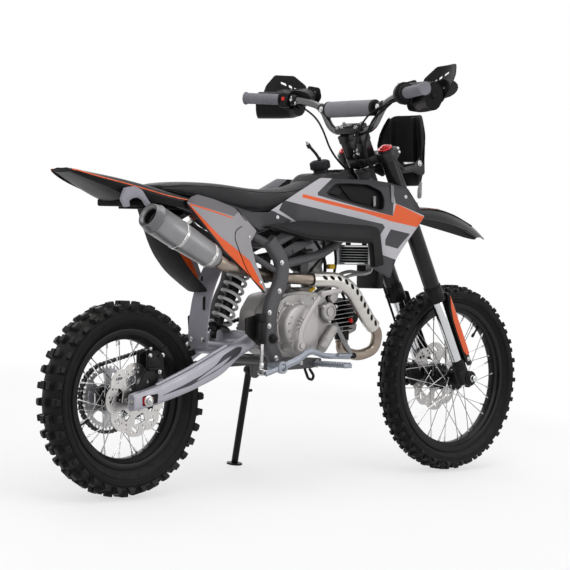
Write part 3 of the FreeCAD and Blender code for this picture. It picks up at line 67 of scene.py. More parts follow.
def placeCamera():
    a, e, roll = (math.radians(camera[k]) for k in ("azimuth", "elevation", "roll"))
    back = Vector((math.sin(a) * math.cos(e), -math.cos(a) * math.cos(e), math.sin(e)))
    spot = Vector(camera["target"]) + back * camera["distance"]
    right = (-back).cross(Vector((0, 0, 1))).normalized()
    over = right.cross(-back)
    turnedRight = right * math.cos(roll) + over * math.sin(roll)
    turnedUp = over * math.cos(roll) - right * math.sin(roll)
    pose = Matrix((turnedRight, turnedUp, back)).transposed().to_4x4()
    pose.translation = spot * 0.001
    data = bpy.data.cameras.new("photoCamera")
    data.sensor_width = sensorWidth
    data.lens = sensorWidth * camera["focal"] / photoPixels
    data.clip_end = farthestSeen
    eye = bpy.data.objects.new("photoCamera", data)
    bpy.context.scene.collection.objects.link(eye)
    eye.matrix_world = stance @ pose
    bpy.context.scene.camera = eye


placeCamera()


# Modelling helpers: each works as a hand would, one object at a time
def only(obj):
    bpy.ops.object.select_all(action="DESELECT")
    obj.select_set(True)
    bpy.context.view_layer.objects.active = obj


def pick(obj, edges=None, points=None):
    # selects the edges or the points for which the test given is true
    only(obj)
    mesh = obj.data
    for part in (mesh.vertices, mesh.edges, mesh.polygons):
        part.foreach_set("select", [False] * len(part))
    bpy.context.tool_settings.mesh_select_mode = (points is not None, edges is not None, False)
    if edges:
        for edge in mesh.edges:
            edge.select = bool(edges(*[mesh.vertices[i].co for i in edge.vertices]))
    if points:
        for point in mesh.vertices:
            point.select = bool(points(point.co))


def inEdit(obj, work, everything=True):
    only(obj)
    bpy.ops.object.mode_set(mode="EDIT")
    if everything:
        bpy.ops.mesh.select_all(action="SELECT")
    work()
    bpy.ops.object.mode_set(mode="OBJECT")


def tidyNormals(obj, merge=0.01):
    def work():
        bpy.ops.mesh.remove_doubles(threshold=merge)
        bpy.ops.mesh.normals_make_consistent(inside=False)
    inEdit(obj, work)


def modify(obj, kind, **values):
    only(obj)
    modifier = obj.modifiers.new(kind.lower(), kind)
    for key, value in values.items():
        setattr(modifier, key, value)
    bpy.ops.object.modifier_apply(modifier=modifier.name)
    return obj


def bevelled(obj, width, segments=2, angle=35):
    if not width:
        return obj
    return modify(obj, "BEVEL", width=width, segments=segments, limit_method="ANGLE",
        angle_limit=math.radians(angle))


def applied(obj):
    only(obj)
    bpy.ops.object.transform_apply(location=True, rotation=True, scale=True)
    return obj


def box(size, middle, bevel=0, segments=2):
    bpy.ops.mesh.primitive_cube_add(size=1, location=middle)
    obj = bpy.context.active_object
    obj.scale = size
    applied(obj)
    return bevelled(obj, bevel, segments)


def turnTo(direction):
    return Vector((0, 0, 1)).rotation_difference(Vector(direction).normalized())


def rod(radius, start, end, sides=24, bevel=0, endRadius=None):
    start, end = Vector(start), Vector(end)
    run = end - start
    spin = turnTo(run).to_euler()
    if endRadius is None:
        bpy.ops.mesh.primitive_cylinder_add(
            vertices=sides, radius=radius, depth=run.length, location=(start + end) / 2, rotation=spin)
    else:
        bpy.ops.mesh.primitive_cone_add(vertices=sides, radius1=radius, radius2=endRadius, depth=run.length,
            location=(start + end) / 2, rotation=spin)
    obj = applied(bpy.context.active_object)
    return bevelled(obj, bevel)


def alongFork(n, y, low, high, radius, sides=48, bevel=1.0, endRadius=None):
    # a round bar that runs as the fork does, between two heights
    return rod(radius, forkPoint(n, y, low), forkPoint(n, y, high), sides=sides, bevel=bevel,
        endRadius=endRadius)


def crossRod(radius, x, z, y0, y1, bevel=1.5, sides=40):
    # a round bar or disc across the bike, at a place in the side view
    return rod(radius, (x, y0, z), (x, y1, z), sides=sides, bevel=bevel)


def ball(radius, middle):
    bpy.ops.mesh.primitive_uv_sphere_add(segments=20, ring_count=10, radius=radius, location=middle,
        scale=(1, 1, 1))
    return applied(bpy.context.active_object)


def loop(points):
    bpy.ops.mesh.primitive_circle_add(vertices=len(points), fill_type="NOTHING")
    obj = bpy.context.active_object
    for vertex, point in zip(obj.data.vertices, points):
        vertex.co = point
    return obj


# how much of an edge a rounded corner may take, and the millimetres under which a corner stays sharp
mostEased, leastEased = 0.45, 0.3


def roundedPoints(points, radius, steps=3):
    # the corners of a closed flat outline, each eased by an arc-like curve
    out = []
    count = len(points)
    for i, corner in enumerate(points):
        corner = Vector(corner)
        before, after = Vector(points[i - 1]) - corner, Vector(points[(i + 1) % count]) - corner
        reach = min(radius, before.length * mostEased, after.length * mostEased)
        if reach < leastEased:
            out.append(corner)
            continue
        a, b = corner + before.normalized() * reach, corner + after.normalized() * reach
        for k in range(steps + 1):
            t = k / steps
            out.append(a * (1 - t) ** 2 + corner * 2 * t * (1 - t) + b * t ** 2)
    return out


def plate(points, thickness, direction=left, bevel=0.8, ease=0, segments=2):
    # a flat outline given a thickness along a direction
    direction = Vector(direction).normalized()
    spots = [Vector(p) for p in points]
    if ease:
        spots = roundedPoints(spots, ease)
    obj = loop(spots)

    def work():
        bpy.ops.mesh.edge_face_add()
        bpy.ops.mesh.extrude_region_move(TRANSFORM_OT_translate={"value": direction * thickness})
    inEdit(obj, work)
    tidyNormals(obj, 0.001)
    return bevelled(obj, bevel, segments)


def sideView(pairs, y):
    return [Vector((x, y, z)) for x, z in pairs]


def turned(profile, middle, axis=left, steps=72):
    # a solid of revolution; the profile gives radius and place along the axis
    axis = Vector(axis).normalized()
    out = axis.orthogonal().normalized()
    middle = Vector(middle)
    obj = loop([middle + out * radius + axis * place for radius, place in profile])
    inEdit(obj, lambda: bpy.ops.mesh.spin(steps=steps, angle=math.tau, center=middle, axis=axis))
    tidyNormals(obj)
    return obj


def curved(points, radius, sides=3, steps=8):
    # a round tube along one smooth line through its control points
    bpy.ops.curve.primitive_nurbs_path_add()
    obj = bpy.context.active_object
    spline = obj.data.splines[0]
    if len(spline.points) > len(points):
        obj.data.splines.clear()
        spline = obj.data.splines.new("NURBS")
    spline.points.add(len(points) - len(spline.points))
    for spot, point in zip(spline.points, points):
        spot.co = (*point, 1)
        spot.radius = 1
    spline.order_u = 3
    spline.use_endpoint_u = True
    spline.resolution_u = steps
    obj.location = (0, 0, 0)
    obj.data.dimensions = "3D"
    obj.data.bevel_depth = radius
    obj.data.bevel_resolution = sides
    obj.data.use_fill_caps = True
    only(obj)
    bpy.ops.object.convert(target="MESH")
    obj = bpy.context.active_object
    tidyNormals(obj, 0.001)
    return obj


def filletLine(points, share=0.42, steps=6):
    # straight runs with rounded corners, as the pipe's bends are
    out = [Vector(points[0])]
    for before, corner, after in zip(points, points[1:], points[2:]):
        before, corner, after = Vector(before), Vector(corner), Vector(after)
        reach = share * min((before - corner).length, (after - corner).length)
        a, b = corner + (before - corner).normalized() * reach, corner + (after - corner).normalized() * reach
        for k in range(steps + 1):
            t = k / steps
            out.append(a * (1 - t) ** 2 + corner * 2 * t * (1 - t) + b * t ** 2)
    out.append(Vector(points[-1]))
    return out


def runAt(line, i):
    # the direction of a line at one of its points
    return (line[min(i + 1, len(line) - 1)] - line[max(i - 1, 0)]).normalized()


def pipe(points, radius, share=0.42, sides=20, radii=None, flat=None, steps=6):
    # a swept tube: a ring of points at each place, bridged to the next; flat is a pair of factors across it
    line = filletLine(points, share, steps)
    rings = []
    side = None
    for i, spot in enumerate(line):
        run = runAt(line, i)
        if side is None:
            side = run.cross(left if abs(run.y) < 0.9 else Vector((0, 0, 1))).normalized()
        else:
            side = (side - run * side.dot(run)).normalized()
        other = run.cross(side)
        here = radius if radii is None else radii(i / (len(line) - 1))
        wide, deep = (here, here) if flat is None else (here * flat[0], here * flat[1])
        rings.append([spot + side * wide * math.cos(math.tau * k / sides)
            + other * deep * math.sin(math.tau * k / sides) for k in range(sides)])
    return skin(rings)


def skin(rings, around=True):
    # rows of points made one surface: a grid whose points are set, joined round and capped where it closes
    rows, across = len(rings), len(rings[0]) + (1 if around else 0)
    bpy.ops.mesh.primitive_grid_add(x_subdivisions=across - 1, y_subdivisions=rows - 1, size=1)
    obj = bpy.context.active_object
    order = sorted(obj.data.vertices, key=lambda v: (round(v.co.y, 5), round(v.co.x, 5)))
    for number, vertex in enumerate(order):
        row, place = divmod(number, across)
        vertex.co = rings[row][place % len(rings[row])]
    tidyNormals(obj, 0.001)
    if around:
        for ring in (rings[0], rings[-1]):
            middle = sum(ring, Vector()) / len(ring)
            reach = max((p - middle).length for p in ring) * 1.01

            def onRing(a, b):
                return all(min((p - q).length for q in ring) < 0.01 for p in (a, b)) and (a
                    - middle).length < reach
            pick(obj, edges=onRing)
            inEdit(obj, lambda: bpy.ops.mesh.edge_face_add(), everything=False)
        tidyNormals(obj, 0.001)
    return obj


def joined(parts):
    parts = [p for p in parts if p]
    bpy.ops.object.select_all(action="DESELECT")
    for part in parts:
        part.select_set(True)
    bpy.context.view_layer.objects.active = parts[0]
    if len(parts) > 1:
        bpy.ops.object.join()
    return bpy.context.active_object


def copied(obj, matrix):
    twin = obj.copy()
    twin.data = obj.data.copy()
    bpy.context.scene.collection.objects.link(twin)
    twin.data.transform(matrix)
    return twin


def carved(obj, cutter, **values):
    modify(obj, "BOOLEAN", operation="DIFFERENCE", object=cutter, solver="EXACT", **values)
    bpy.data.objects.remove(cutter)
    return obj


def slicedSheet(spots, cuts):
    # an outline filled by one face and cut by planes, so that it can bend; a cut is an axis and its place
    obj = loop(spots)

    def work():
        bpy.ops.mesh.edge_face_add()
        for axis, place in cuts:
            normal = Vector([float(axis == n) for n in range(3)])
            bpy.ops.mesh.select_all(action="SELECT")
            bpy.ops.mesh.bisect(plane_co=normal * place, plane_no=normal)
    inEdit(obj, work)
    return obj


def planAt(plan, x):
    # the value at x on a line of straight runs
    for (a, first), (b, second) in zip(plan, plan[1:]):
        if x <= b:
            return first + (second - first) * (max(x, a) - a) / (b - a)
    return plan[-1][1]


def mirroredCopy(obj):
    twin = copied(obj, Matrix.Scale(-1, 4, left))
    inEdit(twin, lambda: bpy.ops.mesh.flip_normals())
    return twin


def bothSides(obj):
    return joined([obj, mirroredCopy(obj)])


def ringOf(obj, count, middle, axis=left, start=0):
    # one modelled piece repeated round an axis
    parts = []
    for number in range(count):
        turn = Matrix.Rotation(start + math.tau * number / count, 4, axis)
        parts.append(copied(obj, Matrix.Translation(middle) @ turn @ Matrix.Translation(-middle)))
    bpy.data.objects.remove(obj)
    return joined(parts)


def bolt(spot, direction, radius=6, height=4, washer=True):
    # a hexagon head on a flanged washer
    spot, direction = Vector(spot), Vector(direction).normalized()
    head = rod(radius, spot, spot + direction * height, sides=6, bevel=radius * 0.14)
    parts = [head]
    if washer:
        parts.append(rod(radius * 1.4, spot, spot + direction * height * 0.25, sides=18, bevel=0.3))
    dimple = rod(radius * 0.45, spot + direction * (height - 0.4), spot + direction * (height + 0.3),
        sides=12)
    return joined(parts + [dimple])


def settle(name, obj, body, finish, replaced=(), smooth=35):
    # joins a piece's parts, names it, gives it its finish, leans it with the bike and hangs it on its body
    obj = applied(joined(obj) if isinstance(obj, list) else obj)
    obj.data.transform(stance @ toMetres)
    obj.name = name
    obj.data.name = name
    obj.data.materials.clear()
    obj.data.materials.append(finish)
    for face in obj.data.polygons:
        face.material_index = 0
    only(obj)
    bpy.ops.object.shade_smooth_by_angle(angle=math.radians(smooth))
    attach(obj, body)
    if replaced:
        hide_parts(*replaced)
    return obj


def settleSteel(name, obj, body="chassis"):
    # bolts, pins and the like, all of one bright steel
    settle(name, obj, body, brightSteel)


# Effects that several finishes share
def newGroup(name, ins, outs):
    group = bpy.data.node_groups.new(name, "ShaderNodeTree")
    for label, kind, value in ins:
        group.interface.new_socket(name=label, in_out="INPUT", socket_type=kind).default_value = value
    for label, kind in outs:
        group.interface.new_socket(name=label, in_out="OUTPUT", socket_type=kind)
    entry, leave = group.nodes.new("NodeGroupInput"), group.nodes.new("NodeGroupOutput")
    return group, entry, leave


def node(tree, kind, **values):
    made = tree.nodes.new(kind)
    for key, value in values.items():
        if key in made.inputs:
            made.inputs[key].default_value = value
        else:
            setattr(made, key, value)
    return made


def feed(tree, value, socket):
    # an input is linked to an output, or takes a plain value
    if isinstance(value, bpy.types.NodeSocket):
        tree.links.new(value, socket)
    else:
        socket.default_value = value


def mixed(tree, factor, first, second):
    # the mix node's inputs and output for colours have these numbers
    mix = node(tree, "ShaderNodeMix", data_type="RGBA")
    for number, value in ((0, factor), (6, first), (7, second)):
        feed(tree, value, mix.inputs[number])
    return mix.outputs[2]


def counted(tree, how, *values, clamp=False):
    maths = node(tree, "ShaderNodeMath", operation=how, use_clamp=clamp)
    for socket, value in zip(maths.inputs, values):
        feed(tree, value, socket)
    return maths.outputs[0]


def makeMottle():
    # slow and fine variation of a colour and of its gloss
    group, entry, leave = newGroup("mottle", [
        ("Color", "NodeSocketColor", (0.5, 0.5, 0.5, 1)), ("Second", "NodeSocketColor", (0.4, 0.4, 0.4, 1)),
        ("Scale", "NodeSocketFloat", 30.0), ("Share", "NodeSocketFloat", 0.5),
        ("Smooth", "NodeSocketFloat", 0.4), ("Rough", "NodeSocketFloat", 0.5)],
        [("Color", "NodeSocketColor"), ("Roughness", "NodeSocketFloat")])
    place = node(group, "ShaderNodeTexCoord")
    slow, fine = node(group, "ShaderNodeTexNoise", Detail=5.0), node(group, "ShaderNodeTexNoise", Detail=3.0)
    group.links.new(place.outputs["Object"], slow.inputs["Vector"])
    group.links.new(place.outputs["Object"], fine.inputs["Vector"])
    group.links.new(entry.outputs["Scale"], slow.inputs["Scale"])
    group.links.new(counted(group, "MULTIPLY", entry.outputs["Scale"], 9.0), fine.inputs["Scale"])
    blend = counted(group, "ADD", counted(group, "MULTIPLY", slow.outputs[0], 0.7),
        counted(group, "MULTIPLY", fine.outputs[0], 0.3))
    spread = counted(group, "MULTIPLY_ADD", counted(group, "SUBTRACT", blend, 0.5), 2.4, 0.5, clamp=True)
    share = counted(group, "MULTIPLY", spread, entry.outputs["Share"])
    group.links.new(mixed(group, share, entry.outputs["Color"], entry.outputs["Second"]),
        leave.inputs["Color"])
    span = counted(group, "SUBTRACT", entry.outputs["Rough"], entry.outputs["Smooth"])
    group.links.new(counted(group, "ADD", entry.outputs["Smooth"], counted(group, "MULTIPLY", span, spread)),
        leave.inputs["Roughness"])
    return group


def makeGrain():
    # a fine relief: pimples of moulded plastic, cast skin or leather
    group, entry, leave = newGroup("grain",
        [("Scale", "NodeSocketFloat", 900.0), ("Cells", "NodeSocketFloat", 0.5)],
        [("Height", "NodeSocketFloat")])
    place = node(group, "ShaderNodeTexCoord")
    noise, cells = node(group, "ShaderNodeTexNoise", Detail=4.0), node(group, "ShaderNodeTexVoronoi")
    for made in (noise, cells):
        group.links.new(place.outputs["Object"], made.inputs["Vector"])
        group.links.new(entry.outputs["Scale"], made.inputs["Scale"])
    other = counted(group, "MULTIPLY", cells.outputs["Distance"], entry.outputs["Cells"])
    own = counted(group, "MULTIPLY", noise.outputs[0],
        counted(group, "SUBTRACT", 1.0, entry.outputs["Cells"]))
    group.links.new(counted(group, "ADD", own, other), leave.inputs["Height"])
    return group


def makeUpright():
    # the place on the upright bike, in millimetres, for stripes that follow its drawing
    group, _, leave = newGroup("uprightPlace", [],
        [("Along", "NodeSocketFloat"), ("Across", "NodeSocketFloat"), ("Up", "NodeSocketFloat")])
    place = node(group, "ShaderNodeTexCoord")
    move = node(group, "ShaderNodeMapping", vector_type="POINT")
    back = Matrix.Rotation(-stanceLean, 4, "X") @ Matrix.Translation(-stanceShift)
    move.inputs["Location"].default_value = back.translation * 1000
    move.inputs["Rotation"].default_value = (-stanceLean, 0, 0)
    move.inputs["Scale"].default_value = (1000, 1000, 1000)
    split = node(group, "ShaderNodeSeparateXYZ")
    group.links.new(place.outputs["Object"], move.inputs["Vector"])
    group.links.new(move.outputs[0], split.inputs[0])
    for number, label in enumerate(("Along", "Across", "Up")):
        group.links.new(split.outputs[number], leave.inputs[label])
    return group


def makeDust():
    # pale dust that lies thin on what faces up and in hollows of the noise
    group, entry, leave = newGroup("dust", [("Color", "NodeSocketColor", (0.1, 0.1, 0.1, 1)),
        ("Amount", "NodeSocketFloat", 0.1)], [("Color", "NodeSocketColor")])
    place, shape = node(group, "ShaderNodeTexCoord"), node(group, "ShaderNodeNewGeometry")
    noise = node(group, "ShaderNodeTexNoise", Scale=60.0, Detail=6.0)
    split = node(group, "ShaderNodeSeparateXYZ")
    group.links.new(place.outputs["Object"], noise.inputs["Vector"])
    group.links.new(shape.outputs["Normal"], split.inputs[0])
    facing = counted(group, "MAXIMUM", split.outputs[2], 0.15)
    amount = counted(group, "MULTIPLY", counted(group, "MULTIPLY", facing, noise.outputs[0]),
        entry.outputs["Amount"], clamp=True)
    group.links.new(mixed(group, amount, entry.outputs["Color"], (0.42, 0.4, 0.37, 1)), leave.inputs["Color"])
    return group


mottle, grain, uprightPlace, dust = makeMottle(), makeGrain(), makeUpright(), makeDust()


def insideOf(tree, place, corners, soft=0.6):
    # 1 inside a convex outline drawn in the side view, corners in turn, in millimetres
    area = sum(a[0] * b[1] - b[0] * a[1] for a, b in zip(corners, corners[1:] + corners[:1]))
    turn = 1 if area > 0 else -1
    out = None
    for a, b in zip(corners, corners[1:] + corners[:1]):
        dx, dz = b[0] - a[0], b[1] - a[1]
        length = math.hypot(dx, dz)
        nx, nz = -dz / length * turn, dx / length * turn
        shift = -(a[0] * nx + a[1] * nz)
        reach = counted(tree, "ADD", counted(tree, "MULTIPLY_ADD", place.outputs["Along"], nx, shift),
            counted(tree, "MULTIPLY", place.outputs["Up"], nz))
        edge = counted(tree, "MULTIPLY_ADD", reach, 1 / soft, 0.5, clamp=True)
        out = edge if out is None else counted(tree, "MULTIPLY", out, edge)
    return out


# depths of the two kinds of relief in metres; gloss of paint, and of the clear coat over it
grainDepth, brushDepth = 0.0004, 0.0003
metalShine, plasticShine, coatRoughness = 0.5, 0.12, 0.06


def finish(name, color, second, rough, metallic=0.0, scale=30.0, share=0.6, relief=None, coat=0.0, regions=(),
        dusty=0.0, brushed=None, sheen=0.0):
    # one material: a mottled colour and gloss, stripes as regions, a relief, and a clear coat where painted
    material = bpy.data.materials.new(name)
    material.use_nodes = True
    tree = material.node_tree
    shader = tree.nodes["Principled BSDF"]
    base = node(tree, "ShaderNodeGroup", node_tree=mottle)
    base.inputs["Color"].default_value = (*color, 1)
    base.inputs["Second"].default_value = (*second, 1)
    base.inputs["Scale"].default_value = scale
    base.inputs["Share"].default_value = share
    base.inputs["Smooth"].default_value, base.inputs["Rough"].default_value = rough
    paint = base.outputs["Color"]
    if regions:
        place = node(tree, "ShaderNodeGroup", node_tree=uprightPlace)
        for corners, tint in regions:
            paint = mixed(tree, insideOf(tree, place, corners), paint, (*tint, 1))
    if dusty:
        lying = node(tree, "ShaderNodeGroup", node_tree=dust)
        lying.inputs["Amount"].default_value = dusty
        tree.links.new(paint, lying.inputs["Color"])
        paint = lying.outputs["Color"]
    tree.links.new(paint, shader.inputs["Base Color"])
    tree.links.new(base.outputs["Roughness"], shader.inputs["Roughness"])
    shader.inputs["Metallic"].default_value = metallic
    shader.inputs["Specular IOR Level"].default_value = metalShine if metallic > 0.3 else plasticShine
    shader.inputs["Coat Weight"].default_value = coat
    shader.inputs["Coat Roughness"].default_value = coatRoughness
    shader.inputs["Sheen Weight"].default_value = sheen
    heights = []
    if relief:
        grained = node(tree, "ShaderNodeGroup", node_tree=grain)
        grained.inputs["Scale"].default_value, grained.inputs["Cells"].default_value = relief[:2]
        heights.append((grained.outputs["Height"], relief[2], grainDepth))
    if brushed:
        # fine lines along one axis of the row frame
        place, move, noise = node(tree, "ShaderNodeTexCoord"), node(tree, "ShaderNodeMapping"), node(tree,
            "ShaderNodeTexNoise", Scale=1.0, Detail=3.0)
        move.inputs["Scale"].default_value = brushed[0]
        tree.links.new(place.outputs["Object"], move.inputs["Vector"])
        tree.links.new(move.outputs[0], noise.inputs["Vector"])
        heights.append((noise.outputs[0], brushed[1], brushDepth))
    normal = None
    for height, strength, distance in heights:
        bump = node(tree, "ShaderNodeBump", Strength=strength, Distance=distance)
        tree.links.new(height, bump.inputs["Height"])
        if normal:
            tree.links.new(normal, bump.inputs["Normal"])
        normal = bump.outputs[0]
    if normal:
        tree.links.new(normal, shader.inputs["Normal"])
    return material


orange = (0.72, 0.1, 0.018)
silverGrey = (0.47, 0.455, 0.48)
darkGrey = (0.038, 0.037, 0.041)
blackPlastic = finish("blackPlastic", (0.006, 0.006, 0.0065), (0.014, 0.014, 0.015), (0.3, 0.5),
    relief=(2600, 0.4, 0.25), dusty=0.05)
glossBlack = finish("glossBlack", (0.0055, 0.0055, 0.0062), (0.0105, 0.0105, 0.012), (0.24, 0.38), coat=0.04,
    scale=12)
satinBlack = finish("satinBlack", (0.0077, 0.0077, 0.0083), (0.0165, 0.0165, 0.0176), (0.28, 0.45),
    metallic=0.2, relief=(1800, 0.2, 0.1))
rimBlack = finish("rimBlack", (0.004, 0.004, 0.005), (0.01, 0.01, 0.011), (0.28, 0.42), coat=0.1, scale=20)
tyreRubber = finish("tyreRubber", (0.003, 0.003, 0.0035), (0.0075, 0.0073, 0.0073), (0.45, 0.68),
    relief=(700, 0.35, 0.3), dusty=0.1, scale=50)
knobRubber = finish("knobRubber", (0.005, 0.005, 0.0055), (0.013, 0.0127, 0.0125), (0.28, 0.55),
    relief=(1100, 0.3, 0.25), dusty=0.12, scale=90)
hubBlack = finish("hubBlack", (0.008, 0.008, 0.0085), (0.0175, 0.0175, 0.0185), (0.25, 0.4), metallic=0.3,
    relief=(1500, 0.2, 0.1))
spokeSteel = finish("spokeSteel", (0.56, 0.56, 0.57), (0.42, 0.42, 0.43), (0.14, 0.26), metallic=1.0,
    scale=140)
discSteel = finish("discSteel", (0.5, 0.485, 0.475), (0.38, 0.37, 0.36), (0.24, 0.42), metallic=0.95,
    scale=60, brushed=((2400, 300, 2400), 0.35))
brightSteel = finish("brightSteel", (0.5, 0.495, 0.49), (0.38, 0.38, 0.38), (0.16, 0.32), metallic=1.0,
    scale=120)
sprocketSilver = finish("sprocketSilver", (0.58, 0.58, 0.59), (0.45, 0.45, 0.46), (0.28, 0.45), metallic=0.9,
    scale=70, brushed=((1800, 300, 1800), 0.3))
chainSteel = finish("chainSteel", (0.035, 0.034, 0.033), (0.1, 0.095, 0.09), (0.3, 0.5), metallic=0.85,
    scale=220)
redMetal = finish("redMetal", (0.55, 0.012, 0.02), (0.38, 0.01, 0.015), (0.2, 0.34), metallic=0.7, coat=0.3,
    scale=90)
frameGrey = finish("frameGrey", (0.085, 0.083, 0.087), (0.105, 0.102, 0.106), (0.32, 0.48), metallic=0.1,
    relief=(2200, 0.3, 0.14), scale=18)
armSilver = finish("armSilver", (0.37, 0.36, 0.4), (0.3, 0.295, 0.335), (0.3, 0.42), metallic=0.45, scale=22,
    relief=(1500, 0.2, 0.08))
armCharcoal = finish("armCharcoal", (0.05, 0.05, 0.056), (0.07, 0.07, 0.078), (0.35, 0.5), metallic=0.2,
    relief=(1800, 0.3, 0.15))
castSilver = finish("castSilver", (0.4, 0.385, 0.375), (0.28, 0.27, 0.262), (0.4, 0.58), metallic=0.55,
    scale=45, relief=(1500, 0.55, 0.45))
coverSilver = finish("coverSilver", (0.47, 0.445, 0.44), (0.36, 0.34, 0.335), (0.36, 0.5), metallic=0.55,
    scale=35, relief=(2400, 0.8, 0.6))
finBlack = finish("finBlack", (0.009, 0.009, 0.0096), (0.021, 0.021, 0.0216), (0.4, 0.6), metallic=0.2,
    relief=(1300, 0.3, 0.25))
finEdge = finish("finEdge", (0.5, 0.49, 0.48), (0.36, 0.35, 0.34), (0.3, 0.45), metallic=0.8, scale=90)
carbGrey = finish("carbGrey", (0.24, 0.24, 0.24), (0.15, 0.15, 0.15), (0.38, 0.52), metallic=0.6,
    relief=(1500, 0.4, 0.3))
stainless = finish("stainless", (0.36, 0.31, 0.26), (0.22, 0.17, 0.14), (0.26, 0.42), metallic=0.95, scale=16,
    share=0.9)
shieldSteel = finish("shieldSteel", (0.62, 0.6, 0.57), (0.5, 0.48, 0.45), (0.24, 0.38), metallic=0.85,
    scale=60)
mufflerSkin = finish("mufflerSkin", (0.28, 0.28, 0.285), (0.21, 0.21, 0.215), (0.3, 0.42), metallic=0.75,
    scale=26, brushed=((300, 1800, 1800), 0.2))
mufflerCap = finish("mufflerCap", (0.16, 0.16, 0.165), (0.11, 0.11, 0.115), (0.28, 0.4), metallic=0.6)
# near-black finish of painted shade: it stands for the shade inside holes, slots, grooves and recesses
paintedHoleShade = finish("paintedHoleShade", (0.004, 0.004, 0.004), (0.01, 0.01, 0.01), (0.6, 0.8))
seatCover = finish("seatCover", (0.013, 0.013, 0.0143), (0.0221, 0.0221, 0.024), (0.45, 0.6),
    relief=(1900, 0.75, 0.5), scale=40, sheen=0.15)
seatSide = finish("seatSide", (0.0072, 0.0072, 0.0078), (0.0132, 0.0132, 0.0144), (0.4, 0.52),
    relief=(1400, 0.5, 0.35))
flapGrey = finish("flapGrey", (0.31, 0.3, 0.34), (0.24, 0.233, 0.265), (0.3, 0.42), scale=9,
    relief=(900, 0.3, 0.1))
chrome = finish("chrome", (0.62, 0.63, 0.64), (0.52, 0.53, 0.54), (0.06, 0.13), metallic=1.0, scale=50)
darkChrome = finish("darkChrome", (0.16, 0.155, 0.155), (0.1, 0.1, 0.1), (0.12, 0.24), metallic=0.9, scale=40)
padSleeve = finish("padSleeve", (0.25, 0.25, 0.266), (0.19, 0.19, 0.204), (0.5, 0.65),
    relief=(2800, 0.7, 0.4))
gripRubber = finish("gripRubber", (0.19, 0.187, 0.21), (0.23, 0.226, 0.252), (0.55, 0.7),
    relief=(1500, 0.5, 0.5))
forgedGrey = finish("forgedGrey", (0.3, 0.32, 0.36), (0.22, 0.24, 0.28), (0.34, 0.48), metallic=0.6,
    relief=(1500, 0.4, 0.2))
orangePaint = finish("orangePaint", orange, (0.64, 0.086, 0.016), (0.22, 0.34), coat=0.5, scale=14)
hoseBlack = finish("hoseBlack", (0.0072, 0.0072, 0.0078), (0.015, 0.015, 0.0156), (0.35, 0.5),
    relief=(2600, 0.3, 0.3))
coolerFins = finish("coolerFins", (0.42, 0.43, 0.44), (0.3, 0.3, 0.31), (0.3, 0.44), metallic=0.7, scale=80)
# black plastic given the near-black colour of the painted hole shade: partly its own black, partly painted
# shade of the deep places it sits in
shadedGuardBlack = finish("shadedGuardBlack", (0.003, 0.003, 0.004), (0.007, 0.007, 0.008), (0.45, 0.6),
    relief=(1800, 0.3, 0.2))
stickerWhite = finish("stickerWhite", (0.6, 0.6, 0.6), (0.5, 0.5, 0.5), (0.3, 0.4))
yellowPlastic = finish("yellowPlastic", (0.75, 0.48, 0.03), (0.6, 0.36, 0.02), (0.35, 0.45))
print("finishes made")


# Wheels: tyre, rim and disc are radii, half and rimHalf half widths, knob a tread block's height,
# pitches the number of blocks in a row, discSide 1 on the left
wheelSizes = {"rear": {"centre": rearAxle, "tyre": 268, "half": 47, "rim": 192, "rimHalf": 29, "knob": 13,
    "pitches": 18, "disc": 100, "discSide": -1, "body": "rear_wheel"},
    "front": {"centre": frontAxle, "tyre": 286, "half": 38, "rim": 231, "rimHalf": 23, "knob": 10,
    "pitches": 27, "disc": 105, "discSide": 1, "body": "front_wheel"},}


knobSunk, knobTop = 6, 0.84


def knob(long, wide, high, lean, radius, across, centre):
    # a rubber block, narrower at its top and sunk in the carcass, leaned about the tread's line
    block = box((long, wide, high + knobSunk), (0, 0, (high - knobSunk) / 2))
    pick(block, points=lambda p: p.z > 0)
    inEdit(block, lambda: bpy.ops.transform.resize(value=(knobTop, knobTop, 1)), everything=False)
    bevelled(block, 1.1, 1)
    block.data.transform(Matrix.Translation(centre + Vector((0, across, radius)))
        @ Matrix.Rotation(math.radians(lean), 4, "X"))
    return block


def carcassRadius(w, across):
    # how high the carcass stands at a place across it
    crown, shoulder = w["tyre"] - w["knob"], w["tyre"] - w["knob"] - 16
    share = min(abs(across) / (w["half"] - 4), 1)
    return crown - (crown - shoulder) * share ** 2.2


